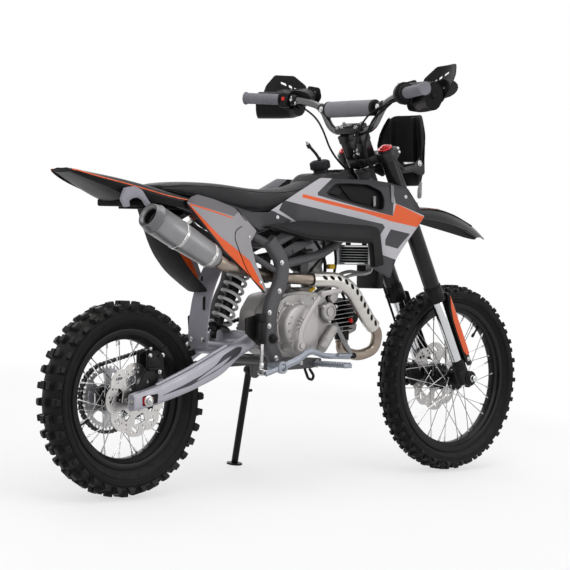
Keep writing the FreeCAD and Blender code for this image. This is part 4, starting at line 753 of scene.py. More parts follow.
def buildTyre(side):
    w = wheelSizes[side]
    centre, half, rim, crown = w["centre"], w["half"], w["rim"], w["tyre"] - w["knob"]
    bead = w["rimHalf"] - 3.3
    outer = [(rim - 12.7, bead), (rim + 1, bead), (rim + 6, bead + 3)]
    middle = (rim + crown) / 2
    outer += [(rim + 16, half - 7), (middle - 4, half - 3), (middle + 4, half - 2.4),
        (middle + 12, half - 3.2), (crown - 22, half - 5)]
    for k in range(0, 13):
        across = (half - 6) * (1 - k / 6)
        outer.append((carcassRadius(w, across), across))
    profile = outer + [(r, -a) for r, a in reversed(outer[:8])]
    inner = [(rim - 12.7, -bead + 9), (rim + 20, -half + 12), (crown - 24, -half + 14), (crown - 12, 0),
        (crown - 24, half - 14), (rim + 20, half - 12), (rim - 12.7, bead - 9)]
    carcass = turned(profile + inner, centre, steps=120)
    lines = [turned([(middle + d, half - 2.6 - d * 0.04), (middle + d + 1.6, half - 1.5 - d * 0.04),
        (middle + d + 3.2, half - 2.8 - d * 0.04)], centre, steps=96) for d in (-9, 6)]
    ribs = bothSides(joined(lines))
    settle(f"{side}TyreCarcass", [carcass, ribs], w["body"], tyreRubber, (f"{side}_tyre",))
    high, pitch = w["knob"], math.tau / w["pitches"]
    blocks = []
    if side == "rear":
        rows = [(11.5, 25, 19, 0, 0.0), (-11.5, 25, 19, 0, 0.0), (0, 24, 18, 0, 0.5), (31, 24, 15, -16, 0.5),
            (-31, 24, 15, 16, 0.5)]
        edge = [(42.5, 20, 13, -46, 0.0, 246), (-42.5, 20, 13, 46, 0.0, 246), (42, 17, 12, -40, 0.5, 247),
            (-42, 17, 12, 40, 0.5, 247)]
    else:
        rows = [(8.5, 17, 14, 0, 0.0), (-8.5, 17, 14, 0, 0.0), (0, 15, 13, 0, 0.5), (24, 16, 12, -14, 0.5),
            (-24, 16, 12, 14, 0.5)]
        edge = [(34, 15, 11, -42, 0.0, 266.5), (-34, 15, 11, 42, 0.0, 266.5)]
    for across, long, wide, lean, shift in rows:
        one = knob(long, wide, high, lean, carcassRadius(w, across), across, centre)
        blocks.append(ringOf(one, w["pitches"], centre, start=pitch * shift))
    for across, long, wide, lean, shift, radius in edge:
        one = knob(long, wide, high * 0.72, lean, radius, across, centre)
        blocks.append(ringOf(one, w["pitches"], centre, start=pitch * shift))
    settle(f"{side}TyreKnobs", blocks, w["body"], knobRubber, smooth=30)


spokesPerFace, flangeShift, discLine, discThick, discLobes = 9, math.radians(10), 56, 4, 8


def spokeLine(side, flange, face, turn, swing):
    # a spoke's two ends: on one face of a hub flange, and at the rim, swung round from it
    w = wheelSizes[side]
    reach = w["rim"] - 30.8
    offset = 2.5 + (4.1 if face > 0 else 2.6)
    a, b = math.radians(turn), math.radians(turn + swing)
    start = w["centre"] + Vector((37 * math.cos(a), flange * (33 + face * offset), 37 * math.sin(a)))
    end = w["centre"] + Vector((reach * math.cos(b), flange * (6 + 2.4 * face), reach * math.sin(b)))
    return start, end


def buildSpokes(side):
    w = wheelSizes[side]
    parts = []
    for flange in (-1, 1):
        for face, swing in ((1, 62), (-1, -62)):
            start, end = spokeLine(side, flange, face, 20 if face > 0 else 0, swing)
            run = (end - start).normalized()
            wire = rod(1.35, start, end, sides=8)
            nipple = rod(2.9, end - run * 15, end + run * 1.5, sides=8, bevel=0.4)
            into = Vector((0, -flange * face, 0))
            elbow = rod(1.5, start - run * 1.0, start + into * 5, sides=8)
            head = rod(2.6, start - into * 0.2 - run, start - into * 1.8 - run, sides=10, bevel=0.4)
            one = joined([wire, nipple, elbow, head])
            parts.append(ringOf(one, spokesPerFace, w["centre"], start=-flangeShift if flange > 0 else 0))
    settle(f"{side}SpokesAndNipples", parts, w["body"], spokeSteel, (f"{side}_spokes",))


def buildRim(side):
    w = wheelSizes[side]
    rim, half = w["rim"], w["rimHalf"]
    seat, well = rim - 13, rim - 26
    profile = [(rim - 1, half), (rim, half - 1.2), (rim - 0.6, half - 3), (seat, half - 3.2),
        (seat - 0.5, half - 10), (well, 11), (well, -11), (seat - 0.5, -half + 10), (seat, -half + 3.2),
        (rim - 0.6, -half + 3), (rim, -half + 1.2), (rim - 1, -half), (rim - 4, -half - 0.4),
        (seat - 3, -half + 0.4), (seat - 4, -half + 9), (well - 3, -13), (well - 4.5, -8), (well - 4.5, 8),
        (well - 3, 13), (seat - 4, half - 9), (seat - 3, half - 0.4), (rim - 4, half + 0.4)]
    hoop = turned(profile, w["centre"], steps=144)
    bevelled(hoop, 0.7, 2, 25)
    settle(f"{side}RimHoop", hoop, w["body"], rimBlack, (f"{side}_rim",))
    angle = math.radians(205 if side == "rear" else 48)
    out = Vector((math.cos(angle), 0, math.sin(angle)))
    root = w["centre"] + out * (well - 5)
    stem = joined([rod(3.2, root, root - out * 26, sides=14, bevel=0.4),
        rod(4.6, root - out * 24, root - out * 36, sides=14, bevel=0.8),
        rod(6.5, root, root - out * 3, sides=16, bevel=0.5)])
    settle(f"{side}ValveStem", stem, w["body"], satinBlack)


def buildHub(side):
    w = wheelSizes[side]
    s = w["discSide"]
    far = -s
    profile = [(7.6, s * 66), (15, s * 66), (20, s * 63), (20, s * 54), (38, s * 54), (38, s * 47),
        (34, s * 45), (23, s * 44), (22, s * 36), (38, s * 35.5), (40, s * 34.4), (40, s * 31.6),
        (38, s * 30.5), (24, s * 27), (20, s * 20), (19, 0), (20, far * 20), (24, far * 27), (38, far * 30.5),
        (40, far * 31.6), (40, far * 34.4), (38, far * 35.5), (22, far * 36)]
    if side == "rear":
        profile += [(23, far * 50), (34, far * 51), (38, far * 53), (38, far * 59.5), (20, far * 59.5),
            (20, far * 63), (15, far * 66), (7.6, far * 66)]
    else:
        profile += [(22, far * 60), (17, far * 66), (7.6, far * 66)]
    barrel = turned(profile, w["centre"], steps=64)
    bevelled(barrel, 0.6, 2, 30)
    bolts = ringOf(bolt(w["centre"] + Vector((30, s * 58, 0)), (0, s, 0), 5, 4), 6, w["centre"])
    settle(f"{side}HubBarrel", barrel, w["body"], hubBlack, (f"{side}_hub",))
    settleSteel(f"{side}DiscBolts", bolts, w["body"])


def buildDisc(side):
    # petal outline, two rings of slots and spoked windows, cut from a plate
    w = wheelSizes[side]
    radius, centre = w["disc"], w["centre"]
    mid = w["discSide"] * discLine
    count = 240
    outline = []
    for k in range(count):
        angle = math.tau * k / count
        outline.append(centre + Vector((math.cos(angle), 0, math.sin(angle))) * radius * (1
            - 0.085 * abs(math.sin(discLobes * angle / 2)) ** 6) + left * (mid - discThick / 2))
    disc = plate(outline, discThick, bevel=0)
    cutters = []
    middle = centre + left * mid

    def cutter(points, number, start=0.0):
        one = plate([middle + Vector((x, -6, z)) for x, z in points], 12, bevel=0, ease=4)
        return ringOf(one, number, centre, start=start)
    for points, number, start in (([(0.71, -0.1), (0.77, -0.13), (0.9, 0.03), (0.87, 0.1), (0.8, 0.06)],
            discLobes, 0), ([(0.84, -0.12), (0.9, -0.13), (0.91, -0.06), (0.86, -0.06)], discLobes, 0),
            ([(0.73, 0.07), (0.79, 0.07), (0.79, 0.14), (0.74, 0.13)], discLobes, 0),
            ([(0.8, -0.04), (0.87, -0.02), (0.86, 0.04), (0.79, 0.02)], discLobes, 22),
            ([(0.7, -0.03), (0.75, -0.03), (0.76, 0.03), (0.7, 0.03)], discLobes, 25),
            ([(0.43, -0.17), (0.62, -0.27), (0.66, -0.1), (0.65, 0.12), (0.43, 0.14)], 6, 8)):
        cutters.append(cutter([(x * radius, z * radius) for x, z in points], number, math.radians(start)))
    cutters.append(rod(20.3, middle - left * 6, middle + left * 6, sides=48))
    carved(disc, joined(cutters), use_self=True)
    bevelled(disc, 0.35, 1, 50)
    settle(f"{side}PetalDisc", disc, w["body"], discSteel, (f"{side}_disc",))


for wheelSide in ("rear", "front"):
    buildTyre(wheelSide)
    buildSpokes(wheelSide)
    buildRim(wheelSide)
    buildHub(wheelSide)
    buildDisc(wheelSide)
print("wheels made")


def smoothRows(rows, steps=3):
    # more rows between given ones, along a smooth line through the same place of each
    out = []
    last = len(rows) - 1
    for i in range(last):
        a, b, c, d = rows[max(i - 1, 0)], rows[i], rows[i + 1], rows[min(i + 2, last)]
        for k in range(steps):
            t = k / steps
            row = []
            for p, q, r, s in zip(a, b, c, d):
                into, away = (r - p) * 0.5, (s - q) * 0.5
                row.append(q * (2 * t ** 3 - 3 * t ** 2 + 1) + into * (t ** 3 - 2 * t ** 2 + t)
                    + r * (3 * t ** 2 - 2 * t ** 3) + away * (t ** 3 - t ** 2))
            out.append(row)
    out.append(rows[last])
    return out


def alongX(stations, ease, smooth=3):
    # a closed body from outlines in Y and Z at places along X
    rings = [roundedPoints([(x, y, z) for y, z in pairs], ease) for x, pairs in stations]
    return skin(smoothRows(rings, smooth))


def sheetOf(rows, thickness, levels=1, bevel=0.6, offset=0):
    # a curved panel: rows of points as a grid, smoothed and given its wall
    panel = skin(rows, around=False)
    if levels:
        modify(panel, "SUBSURF", levels=levels, render_levels=levels)
    modify(panel, "SOLIDIFY", thickness=thickness, offset=offset)
    return bevelled(panel, bevel, 1, 50)


# Swingarm: two tapering beams, charcoal panels let into their sides, red axle blocks in slots backed by black
# pads of painted shade
# columns: x, the beam's lower and upper edge, its inner and outer face
armStations = [(-46, 247, 283, 86, 110), (-38, 243, 289, 84, 112), (43, 258, 309, 84, 112),
    (163, 290, 351, 81, 110), (255, 321, 389, 76, 106), (301, 346, 407, 73, 103), (345, 376, 420, 69, 99),
    (420, 405, 447, 64, 94), (450, 414, 440, 64, 93)]


def buildSwingarm():
    arm = alongX([(x, [(i, lo), (o - 5, lo), (o, lo + 7), (o, hi - 7), (o - 5, hi), (i, hi)])
        for x, lo, hi, i, o in armStations], ease=6, smooth=4)
    arm = carved(arm, plate(sideView([(-20, 254), (34, 261), (36, 287), (-20, 281)], 60), 70, bevel=0,
        ease=5))
    cross = crossRod(19, 330, 400, -76, 76, 0, 36)
    barrel = crossRod(19, 439, 427, -94, 94, 1, 36)
    lugs = bothSides(plate(sideView([(322, 398), (345, 400), (350, 440), (340, 452), (331, 448)], 14), 6,
        ease=5))
    ridge = bothSides(pipe([(40, 96, 308), (163, 94, 352), (255, 90, 391), (300, 88, 409)], 5, sides=12))
    settle("swingarmBeams", [bothSides(arm), cross, barrel, lugs, ridge], "chassis", armSilver, ("swingarm",))
    inset = plate(sideView([(44, 279), (120, 304), (190, 330), (246, 356), (276, 384), (330, 406), (352, 404),
        (338, 384), (300, 366), (240, 338), (150, 304)], 0), 1.4, bevel=0.4, ease=12)
    armFace = [(43, 112), (163, 110), (255, 106), (355, 99)]
    for vertex in inset.data.vertices:
        vertex.co.y += planAt(armFace, vertex.co.x) - 0.6
    settle("swingarmInlays", bothSides(inset), "chassis", armCharcoal)
    # black pads inside the axle slots: painted shade of the slots' depth
    slotShadePads = [box((58, 3, 26), (8, s * 108, 270), 1.2) for s in (-1, 1)]
    settle("axleSlotShadePads", slotShadePads, "chassis", glossBlack)
    blocks = []
    for s in (-1, 1):
        body = box((34, 10, 20), (0, s * 109, 269), 1.6)
        teeth = [box((1.6, 2.4, 19), (-14 + 3.1 * k, s * 114.6, 269), 0.3, 1) for k in range(10)]
        blocks.append(joined([body] + teeth))
    settle("axleBlocks", blocks, "chassis", redMetal, ("rear_axle",))
    ends = []
    for s in (-1, 1):
        ends.append(bolt((0, s * 114, 268), (0, s, 0), 11, 9))
        ends.append(crossRod(5.2, 0, 268, s * 122, s * 126, 0.5, 20))
        ends.append(crossRod(13, 0, 268, s * 67, s * 83.5, 1, 30))
        ends.append(rod(3, (-48, s * 98, 266), (-14, s * 98, 268), sides=10))
        ends.append(bolt((-46, s * 98, 266), (-1, 0, 0), 6, 6))
    ends.append(crossRod(7.4, 0, 268, -114, 114, 0, 20))
    settleSteel("rearAxleAndNuts", ends)


# Main frame: flat-sided legs, round tubes to the head, subframe rails
def buildFrame():
    legPath = filletLine([(436, 0, 704), (488, 0, 645), (484, 0, 585), (444, 0, 520), (437, 0, 450),
        (441, 0, 405), (470, 0, 362)], 0.45, 5)
    rings = []
    for i, spot in enumerate(legPath):
        side = runAt(legPath, i).cross(left)
        corners = [spot + side * a + left * b for a, b in ((21, 99), (21, 120), (15, 125.6), (-15, 125.6),
            (-21, 120), (-21, 99))]
        rings.append(roundedPoints(corners, 5, 2))
    leg = skin(rings)
    upper = pipe([(452, 110, 692), (600, 84, 748), (800, 76, 800), (930, 18, 880)], 15)
    lower = pipe([(488, 108, 634), (700, 84, 668), (958, 16, 842)], 13)
    rail = pipe([(448, 108, 690), (330, 92, 738), (120, 70, 806), (10, 58, 828)], 11)
    stay = pipe([(480, 106, 612), (330, 84, 690), (190, 74, 778)], 9)
    web = plate(sideView([(470, 660), (560, 700), (640, 700), (560, 668), (500, 640)], 84), 6, ease=10)
    sides = bothSides(joined([leg, upper, lower, rail, stay, web]))
    crosses = [crossRod(radius, x, z, -half, half, 0, 24) for radius, x, z, half in (
        (14, 462, 694, 105), (11, 466, 362, 103), (9, 600, 590, 80), (9, 600, 750, 80), (9, 120, 804, 72))]
    plates = bothSides(plate(sideView([(585, 656), (620, 658), (612, 578), (588, 578)], 77), 7, ease=5))
    head = [alongFork(steerN, 0, low, high, radius, 40, 1.5) for radius, low, high in ((27, 601, 741),
        (30, 600, 612), (30, 730, 742))]
    settle("mainFrameTubes", [sides, *crosses, plates, *head], "chassis", frameGrey,
        ("main_frame", "frame_legs", "subframe", "frame_crosses"))
    plugs = bothSides(joined([crossRod(14, 440, 427, 125, 131, 1.6, 30), ball(12, (440, 129, 427))]))
    settle("pivotPlugs", plugs, "chassis", blackPlastic)
    spots = [(425, 500), (424, 462), (452, 372), (462, 560), (470, 640)]
    bolts = bothSides(joined([bolt((x + 4, 125.4, z), (0, 1, 0), 5.5, 4) for x, z in spots]))
    settleSteel("legBolts", bolts)


def buildShock():
    foot, top = Vector((340, 0, 436)), Vector((462, 0, 682))
    run = (top - foot).normalized()
    side = run.cross(left)
    turns, radius, line = 7.5, 29, []
    low, high = 30, 212
    for k in range(int(turns * 20) + 1):
        angle = math.tau * k / 20
        share = k / (turns * 20)
        line.append(foot + run * (low + (high - low) * share)
            + (side * math.cos(angle) + left * math.sin(angle)) * radius)
    coil = curved(line, 4.6, sides=3, steps=2)
    settle("shockSpring", coil, "chassis", stickerWhite, ("shock_absorber",))
    body = joined([rod(17, foot + run * 60, top - run * 20, bevel=1.5),
        rod(7, foot + run * 8, foot + run * 70), rod(33, foot + run * 20, foot + run * 26, bevel=1.2),
        rod(33, top - run * 62, top - run * 54, bevel=1.2),
        rod(24, top - run * 54, top - run * 40, bevel=1.2),
        rod(12, foot - left * 13, foot + left * 13, bevel=1)])
    settle("shockBody", body, "chassis", satinBlack)


buildSwingarm()
buildFrame()
buildShock()
print("chassis made")


# Exhaust: bent header, heat shield whose slots are painted shade, satin muffler with a bevelled end
headerRoute = [(801.98, -34, 411.6), (800.4, -34, 380), (850, -56, 364), (898, -74, 384), (898, -88, 432),
    (845, -102, 470), (760, -118, 560), (700, -118, 592), (600, -108, 592), (520, -74, 596), (420, -70, 611),
    (340, -98, 620), (260, -130, 628.8), (219.5, -130, 648.7)]
shieldRoute = [(868, -98, 453), (845, -102, 470), (760, -118, 560), (700, -118, 592), (606, -108, 592)]


def buildExhaust():
    header = pipe(headerRoute, 16, sides=28, steps=8)
    port = Vector(headerRoute[0])
    collars = [rod(18.5, port - Vector((0, 0, 9)), port - Vector((0, 0, 1)), sides=28, bevel=1),
               rod(19.5, (250, -130, 633), (226, -130, 645), sides=28, bevel=1.5)]
    settle("exhaustHeaderPipe", [header] + collars, "chassis", stainless, ("exhaust_header",))
    line = filletLine(shieldRoute, 0.42, 8)
    lengths = [0.0]
    for a, b in zip(line, line[1:]):
        lengths.append(lengths[-1] + (b - a).length)
    facing = Vector((-0.25, -0.93, 0.27)).normalized()
    rings, frames = [], []
    for i, spot in enumerate(line):
        run = runAt(line, i)
        out = (facing - run * facing.dot(run)).normalized()
        over = run.cross(out)
        frames.append((spot, run, out, over))
        rings.append([spot + (out * math.cos(a) + over * math.sin(a)) * 21.5
            for a in [math.radians(t) for t in range(-150, 151, 15)]])
    shell = skin(rings, around=False)
    modify(shell, "SOLIDIFY", thickness=1.6, offset=-1)
    bevelled(shell, 0.4, 1, 50)
    settle("exhaustShield", shell, "chassis", shieldSteel)
    # slanted slots along its face, one each pitch, clear of both ends: near-black plates of painted shade,
    # not holes
    pitch, place, clearOfEnd, slotLean = 26.0, 20.0, 12, math.radians(-2)
    slotShades = []
    while place < lengths[-1] - clearOfEnd:
        number = max(i for i, l in enumerate(lengths) if l <= place)
        share = (place - lengths[number]) / max(lengths[min(number + 1, len(line) - 1)] - lengths[number],
            1e-6)
        spot, run, out, over = frames[number]
        spot = spot.lerp(frames[min(number + 1, len(line) - 1)][0], share)
        face = out * math.cos(slotLean) + over * math.sin(slotLean)
        long = (run * 0.86 - face.cross(run) * 0.5).normalized()
        points = [spot + face * 21.1 + long * math.cos(t) * 9.5 + face.cross(long) * math.sin(t) * 5
                  for t in [math.tau * k / 14 for k in range(14)]]
        slotShades.append(plate(points, 0.9, face, bevel=0))
        place += pitch
    settle("shieldSlotShade", slotShades, "chassis", paintedHoleShade)
    rear, front = Vector((1, -130, 756)), Vector((219, -130, 649))
    run = (rear - front).normalized()
    reach = (rear - front).length
    can = turned([(16.5, 2), (26, 0), (31, 6), (34, 14), (36, 60), (39, 120), (41, 180), (41, reach - 3),
        (41.6, reach - 2), (16.5, reach - 2)], front, run, steps=64)
    settle("mufflerCan", can, "chassis", mufflerSkin, ("muffler",))
    end = turned([(41.6, reach - 2.5), (41.9, reach - 1), (41.9, reach + 2), (40.5, reach + 4),
        (36, reach + 20), (34.5, reach + 25), (32, reach + 26), (24, reach + 20), (22.5, reach + 17),
        (22, reach - 20), (20.5, reach - 20), (20.5, reach - 24), (38, reach - 24), (38, reach - 2.5)], front,
        run, steps=64)
    bevelled(end, 0.7, 2, 30)
    # the outlet's lining and the two discs deep inside it are near-black painted shade of the tube's depth
    mouthShade = turned([(0.5, reach - 18), (21.6, reach - 18), (21.6, reach + 15), (20.9, reach + 15),
        (20.9, reach - 16), (0.5, reach - 16)], front, run, steps=48)
    settle("mufflerMouthShade", mouthShade, "chassis", paintedHoleShade)
    settle("mufflerEndCap", end, "chassis", mufflerCap)
    inside = turned([(1, reach - 17), (21.8, reach - 17), (21.8, reach - 19), (1, reach - 19)], front, run,
        steps=32)
    settle("mufflerThroatShade", inside, "chassis", paintedHoleShade)
    bands = [turned([(r + 0.2, p), (r + 1.4, p + 1), (r + 1.4, p + 9), (r + 0.2, p + 10)], front, run,
        steps=64) for r, p in ((34.3, 22), (40.2, reach - 100))]
    strap = joined(bands + [plate(sideView([(96, 742), (150, 742), (198, 768), (198, 782), (182, 782)], -96),
        4, ease=6), crossRod(6, 190, 776, -97, -88.5, 0, 24), bolt((190, -97, 776), (0, -1, 0), 6, 4),
        box((52, 14, 6), (122, -101, 727), 1.5)])
    settle("mufflerBands", strap, "chassis", brightSteel)


buildExhaust()
print("exhaust made")


# Engine: cases, clutch cover with curved grooves, finned cylinder, carburettor and kick lever
clutchCentre, coverCentre = Vector((545, 0, 457)), Vector((681, 0, 499))
clutchEars = (0.45, 1.25, 2.05, 2.9, 3.7, 5.3, 6.0)
coverEars = (0.5, 2.6, 4.7)


def around(centre, radius, angle, y):
    # a place on a circle that lies in the side view
    return centre.x + radius * math.cos(angle), y, centre.z + radius * math.sin(angle)


def buildEngine():
    case = [(474, 400), (464, 450), (464, 500), (500, 548), (590, 562), (672, 552), (700, 505), (706, 430),
        (690, 395), (640, 378), (520, 372)]
    core = plate(sideView(case, -92), 136, ease=14, bevel=5, segments=3)
    seam = plate(sideView([(x - 4 if x < 560 else x + 4, z + 3 if z > 460 else z - 3) for x, z in case], -28),
        7, ease=14, bevel=1.5)
    stator = joined([crossRod(60, 628, 470, 40, 104, 4, 56), crossRod(52, 628, 470, 100, 112, 5, 56),
        crossRod(20, 628, 470, 110, 114, 2)])
    ears = [crossRod(8, 628 + 62 * math.cos(a), 470 + 62 * math.sin(a), 44, 70) for a in (0.3, 1.6, 2.8, 4.0,
        5.2)]
    belly = plate(sideView([(520, 374), (640, 380), (630, 352), (530, 350)], -60), 100, ease=8, bevel=3)
    top = joined([plate(sideView([(585, 556), (615, 556), (609, 580.3), (591, 580.3)], -18), 36, ease=4,
        bevel=1.5), crossRod(11, 560, 548, -30, 30)])
    strip = joined([box((50, 60, 16), (640, -20, 560), 3), box((30, 50, 20), (540, -10, 556), 4)])
    # the front edge, cast slanting down, and its small round cover with three ears
    slant = joined([rod(15, (648, -108, 392), (706, -98, 452), sides=28, bevel=2),
        rod(12, (652, -112, 396), (668, -110, 413), sides=24, bevel=2)])
    cover = turned([(0.5, 0), (27, 0), (28, -4), (27, -9), (24, -12), (18, -13), (17.5, -11), (13, -11),
        (12.5, -14.5), (0.5, -15)], (681, -97, 499), left, 56)
    lugs = joined([rod(6, around(coverCentre, 29, a, -97), around(coverCentre, 29, a, -108), sides=16,
        bevel=1) for a in coverEars])
    arm = plate(sideView([(700, 520), (716, 534), (722, 556), (712, 566), (696, 556), (684, 536)], -104), 12,
        ease=7, bevel=2)
    base = plate(sideView([(470, 404), (462, 452), (470, 514), (506, 545), (560, 552), (620, 545), (640, 520),
        (640, 392), (600, 374), (520, 374)], -104), 14, ease=22, bevel=2.5)
    drive = joined([crossRod(11, 498, 445, 40, 74, 0, 24),
        plate([around(driveSpot, 27 if k % 2 else 22, math.tau * k / 28, 59) for k in range(28)], 6,
        bevel=0.5)])
    chainCover = plate(sideView([(470, 420), (470, 480), (500, 505), (545, 500), (552, 460), (540, 412),
        (505, 396)], 46), 6, ease=14, bevel=1.5)
    settle("engineCases", [core, seam, stator] + ears + [belly, top, strip, slant, cover, lugs, arm, base,
        drive, chainCover], "chassis", castSilver, ("engine_case",))
    drum = turned([(0.5, 0), (71, 0), (72, -3), (71, -9), (67, -11), (66, -30), (64.5, -37), (60, -43),
        (52, -47), (40, -49.2), (0.5, -50)], clutchCentre - left * 98, left, 80)
    boss = crossRod(17, 510, 406, -100, -151.5, 2, 36)
    rim = [rod(7.5, around(clutchCentre, 73, a, -98), around(clutchCentre, 73, a, -110), sides=20, bevel=1.2)
        for a in clutchEars]
    settle("clutchCoverDrum", [drum, boss] + rim, "chassis", coverSilver, ("clutch_cover",))
    ribs = []
    for k, (a0, a1, r0, r1) in enumerate(((150, 100, 58, 16), (170, 125, 60, 14), (192, 150, 61, 12),
            (214, 176, 61, 12), (236, 204, 60, 14))):
        points = []
        for n in range(7):
            t = n / 6
            a, r = math.radians(a0 + (a1 - a0) * t), r0 + (r1 - r0) * t
            depth = -140.5 - 7 * (1 - (r / 66) ** 2) * 1.25
            points.append(around(clutchCentre, r, a, depth + 0.6))
        ribs.append(curved(points, 1.5, sides=2, steps=6))
    settle("clutchCoverGrooves", ribs, "chassis", mufflerCap)
    sight = joined([plate(sideView([(512, 524), (534, 528), (538, 486), (520, 480)], -108), 8, ease=4,
        bevel=1.5), box((16, 4, 34), (526, -119, 506), 1.6)])
    settle("sightBoss", sight, "chassis", finEdge)
    heads = [around(clutchCentre, 73, a, -110) for a in clutchEars] + [around(coverCentre, 29, a, -108)
        for a in coverEars]
    heads += [(620, -105, 538), (484, -105, 500), (712, -116, 556)]
    screws = joined([bolt(spot, (0, -1, 0), 4, 3, washer=False) for spot in heads])
    settleSteel("engineScrews", screws)


def buildCylinder():
    barrel = plate(sideView([(706.5, 430), (812, 442), (812, 532), (706.5, 520)], -40), 80, ease=6, bevel=2)
    head = plate(sideView([(806, 432), (842, 444), (848, 480), (844, 518), (806, 538)], -48), 96, ease=8,
        bevel=4)
    rocker = joined([crossRod(24, 826, 482, -56, -46, 2), crossRod(24, 826, 482, 46, 56, 2)])
    port = rod(21, (804, -34, 452), (802, -34, 412), sides=30, bevel=1.5)
    inlet = rod(17, (792, 0, 520), (760, 0, 562), sides=30)
    fins, edges = [], []
    for k in range(8):
        level = 433 + k * 12.5
        outline = [(712, -64), (724, -66), (816, -66), (826, -56), (826, 56), (816, 66), (724, 66), (712, 64)]
        tilt = 11 / 114
        spots = [Vector((x, y, level + (x - 712) * tilt)) for x, y in outline]
        fins.append(plate(spots, 2.6, (0, 0, 1), bevel=0.5, ease=4))
        line = [Vector((x, y, level + (x - 712) * tilt + 1.3)) for x, y in ((716, -65.6), (724, -66.4),
            (815, -66.4), (826.2, -56), (826.4, 0), (826.2, 56))]
        edges.append(pipe(line, 1.25, share=0.3, sides=8, steps=3))
    settle("cylinderBarrel", [barrel, head, rocker, port, inlet] + fins, "chassis", finBlack, ("cylinder",))
    settle("cylinderFinEdges", edges, "chassis", finEdge)
    low = joined([plate(sideView([(784, 448), (850, 462), (846, 440), (796, 421)], -50), 100, ease=6,
        bevel=2), crossRod(10, 838, 500, -58, -46, 1.5), rod(9, (846, -20, 505), (872, -26, 520), bevel=1),
        rod(5, (872, -26, 520), (900, -20, 540), sides=14, bevel=1)])
    settle("cylinderHeadFoot", low, "chassis", castSilver)
    body = joined([plate(sideView([(664, 582), (735, 597), (722, 655), (650, 639)], -26), 52, ease=6,
        bevel=3), rod(21, (690, 0, 592), (698, 0, 566), sides=30, bevel=2),
        rod(17, (697, 0, 650), (692, 0, 676), sides=26, bevel=2), crossRod(9, 690, 618, -34, -26, 1),
        rod(4, (690, -30, 600), (674, -44, 584), sides=14)])
    settle("carburettorBody", body, "chassis", carbGrey, ("carburettor",))
    rubber = joined([pipe([(759.8, 0, 562.3), (744.6, 0, 582.2), (722, 0, 606)], 17.5, sides=24),
        turned([(0.5, 0), (30, 0), (34, 5), (34, 92), (30, 97), (0.5, 97)], (662, 0, 640), (-82, 0, 50), 40)])
    settle("inletRubbers", rubber, "chassis", hoseBlack)
    extras = joined([box((22, 14, 14), (738, -52, 628), 2),
        rod(5, (620, -88, 560), (622, -104, 566), sides=14)])
    settle("yellowPlugs", extras, "chassis", yellowPlastic)


def buildKick():
    hub = joined([crossRod(15, 510, 406, -152.5, -172, 2, 30), crossRod(9, 510, 406, -172, -178, 1.5, 24)])
    arm = pipe([(510, -166, 406), (509, -168, 446), (540, -170, 498), (586, -172, 550)], 7.5, sides=18,
        radii=lambda t: 9.5 - 3.5 * t, flat=(1.15, 0.7))
    knuckle = joined([crossRod(10, 586, 552, -182, -164, 1.5, 26),
        crossRod(4.5, 586, 552, -184, -162, 0.6, 16)])
    foot = joined([rod(7.5, (588, -174, 553), (650, -178, 561), sides=22, bevel=1.5),
        ball(7.8, (650, -178, 561))])
    settle("kickLeverForging", [hub, arm, knuckle, foot], "chassis", coverSilver, ("kick_lever",))


buildEngine()
buildCylinder()
buildKick()
print("engine made")


# Body panels: each is cut to its side outline, bent to its plan, leaned in, then given its wall
# a plan gives places along the bike and the panel's distance from the middle there, at the plan's height
shroudPlan = [(240, 142), (420, 140), (560, 136), (700, 140), (830, 152), (930, 168), (1040, 186)]
sidePlan = [(120, 128), (220, 140), (320, 138), (430, 130)]
shroudLean, sideLean, planHeight = 8, 6, 560


def onPanel(plan, lean, x, z, out=0.0):
    # a place on the right-hand panel's outer face, or that far outside it
    return Vector((x, -(planAt(plan, x) - (z - planHeight) * math.tan(math.radians(lean)) + out), z))


def bentPanel(outline, plan, lean, wall=3, ease=8, out=0.0, swell=None, step=26, bevel=1.0):
    spots = roundedPoints(sideView(outline, 0), ease)
    cuts = []
    for axis in (0, 2) if swell else (0,):
        places = [p[axis] for p in spots]
        cuts += [(axis, place) for place in range(int(min(places)) + step, int(max(places)), step)]
    obj = slicedSheet(spots, cuts)
    for vertex in obj.data.vertices:
        x, z = vertex.co.x, vertex.co.z
        vertex.co = onPanel(plan, lean, x, z, out + (swell(x, z) if swell else 0))
    tidyNormals(obj, 0.001)
    if sum(face.normal.y * face.area for face in obj.data.polygons) > 0:
        inEdit(obj, lambda: bpy.ops.mesh.flip_normals())
    modify(obj, "SOLIDIFY", thickness=wall, offset=-1)
    return bevelled(obj, bevel, 2, 45)


def hump(x, z, middle, spread, height):
    return height * math.exp(-((x - middle[0]) / spread[0]) ** 2 - ((z - middle[1]) / spread[1]) ** 2)


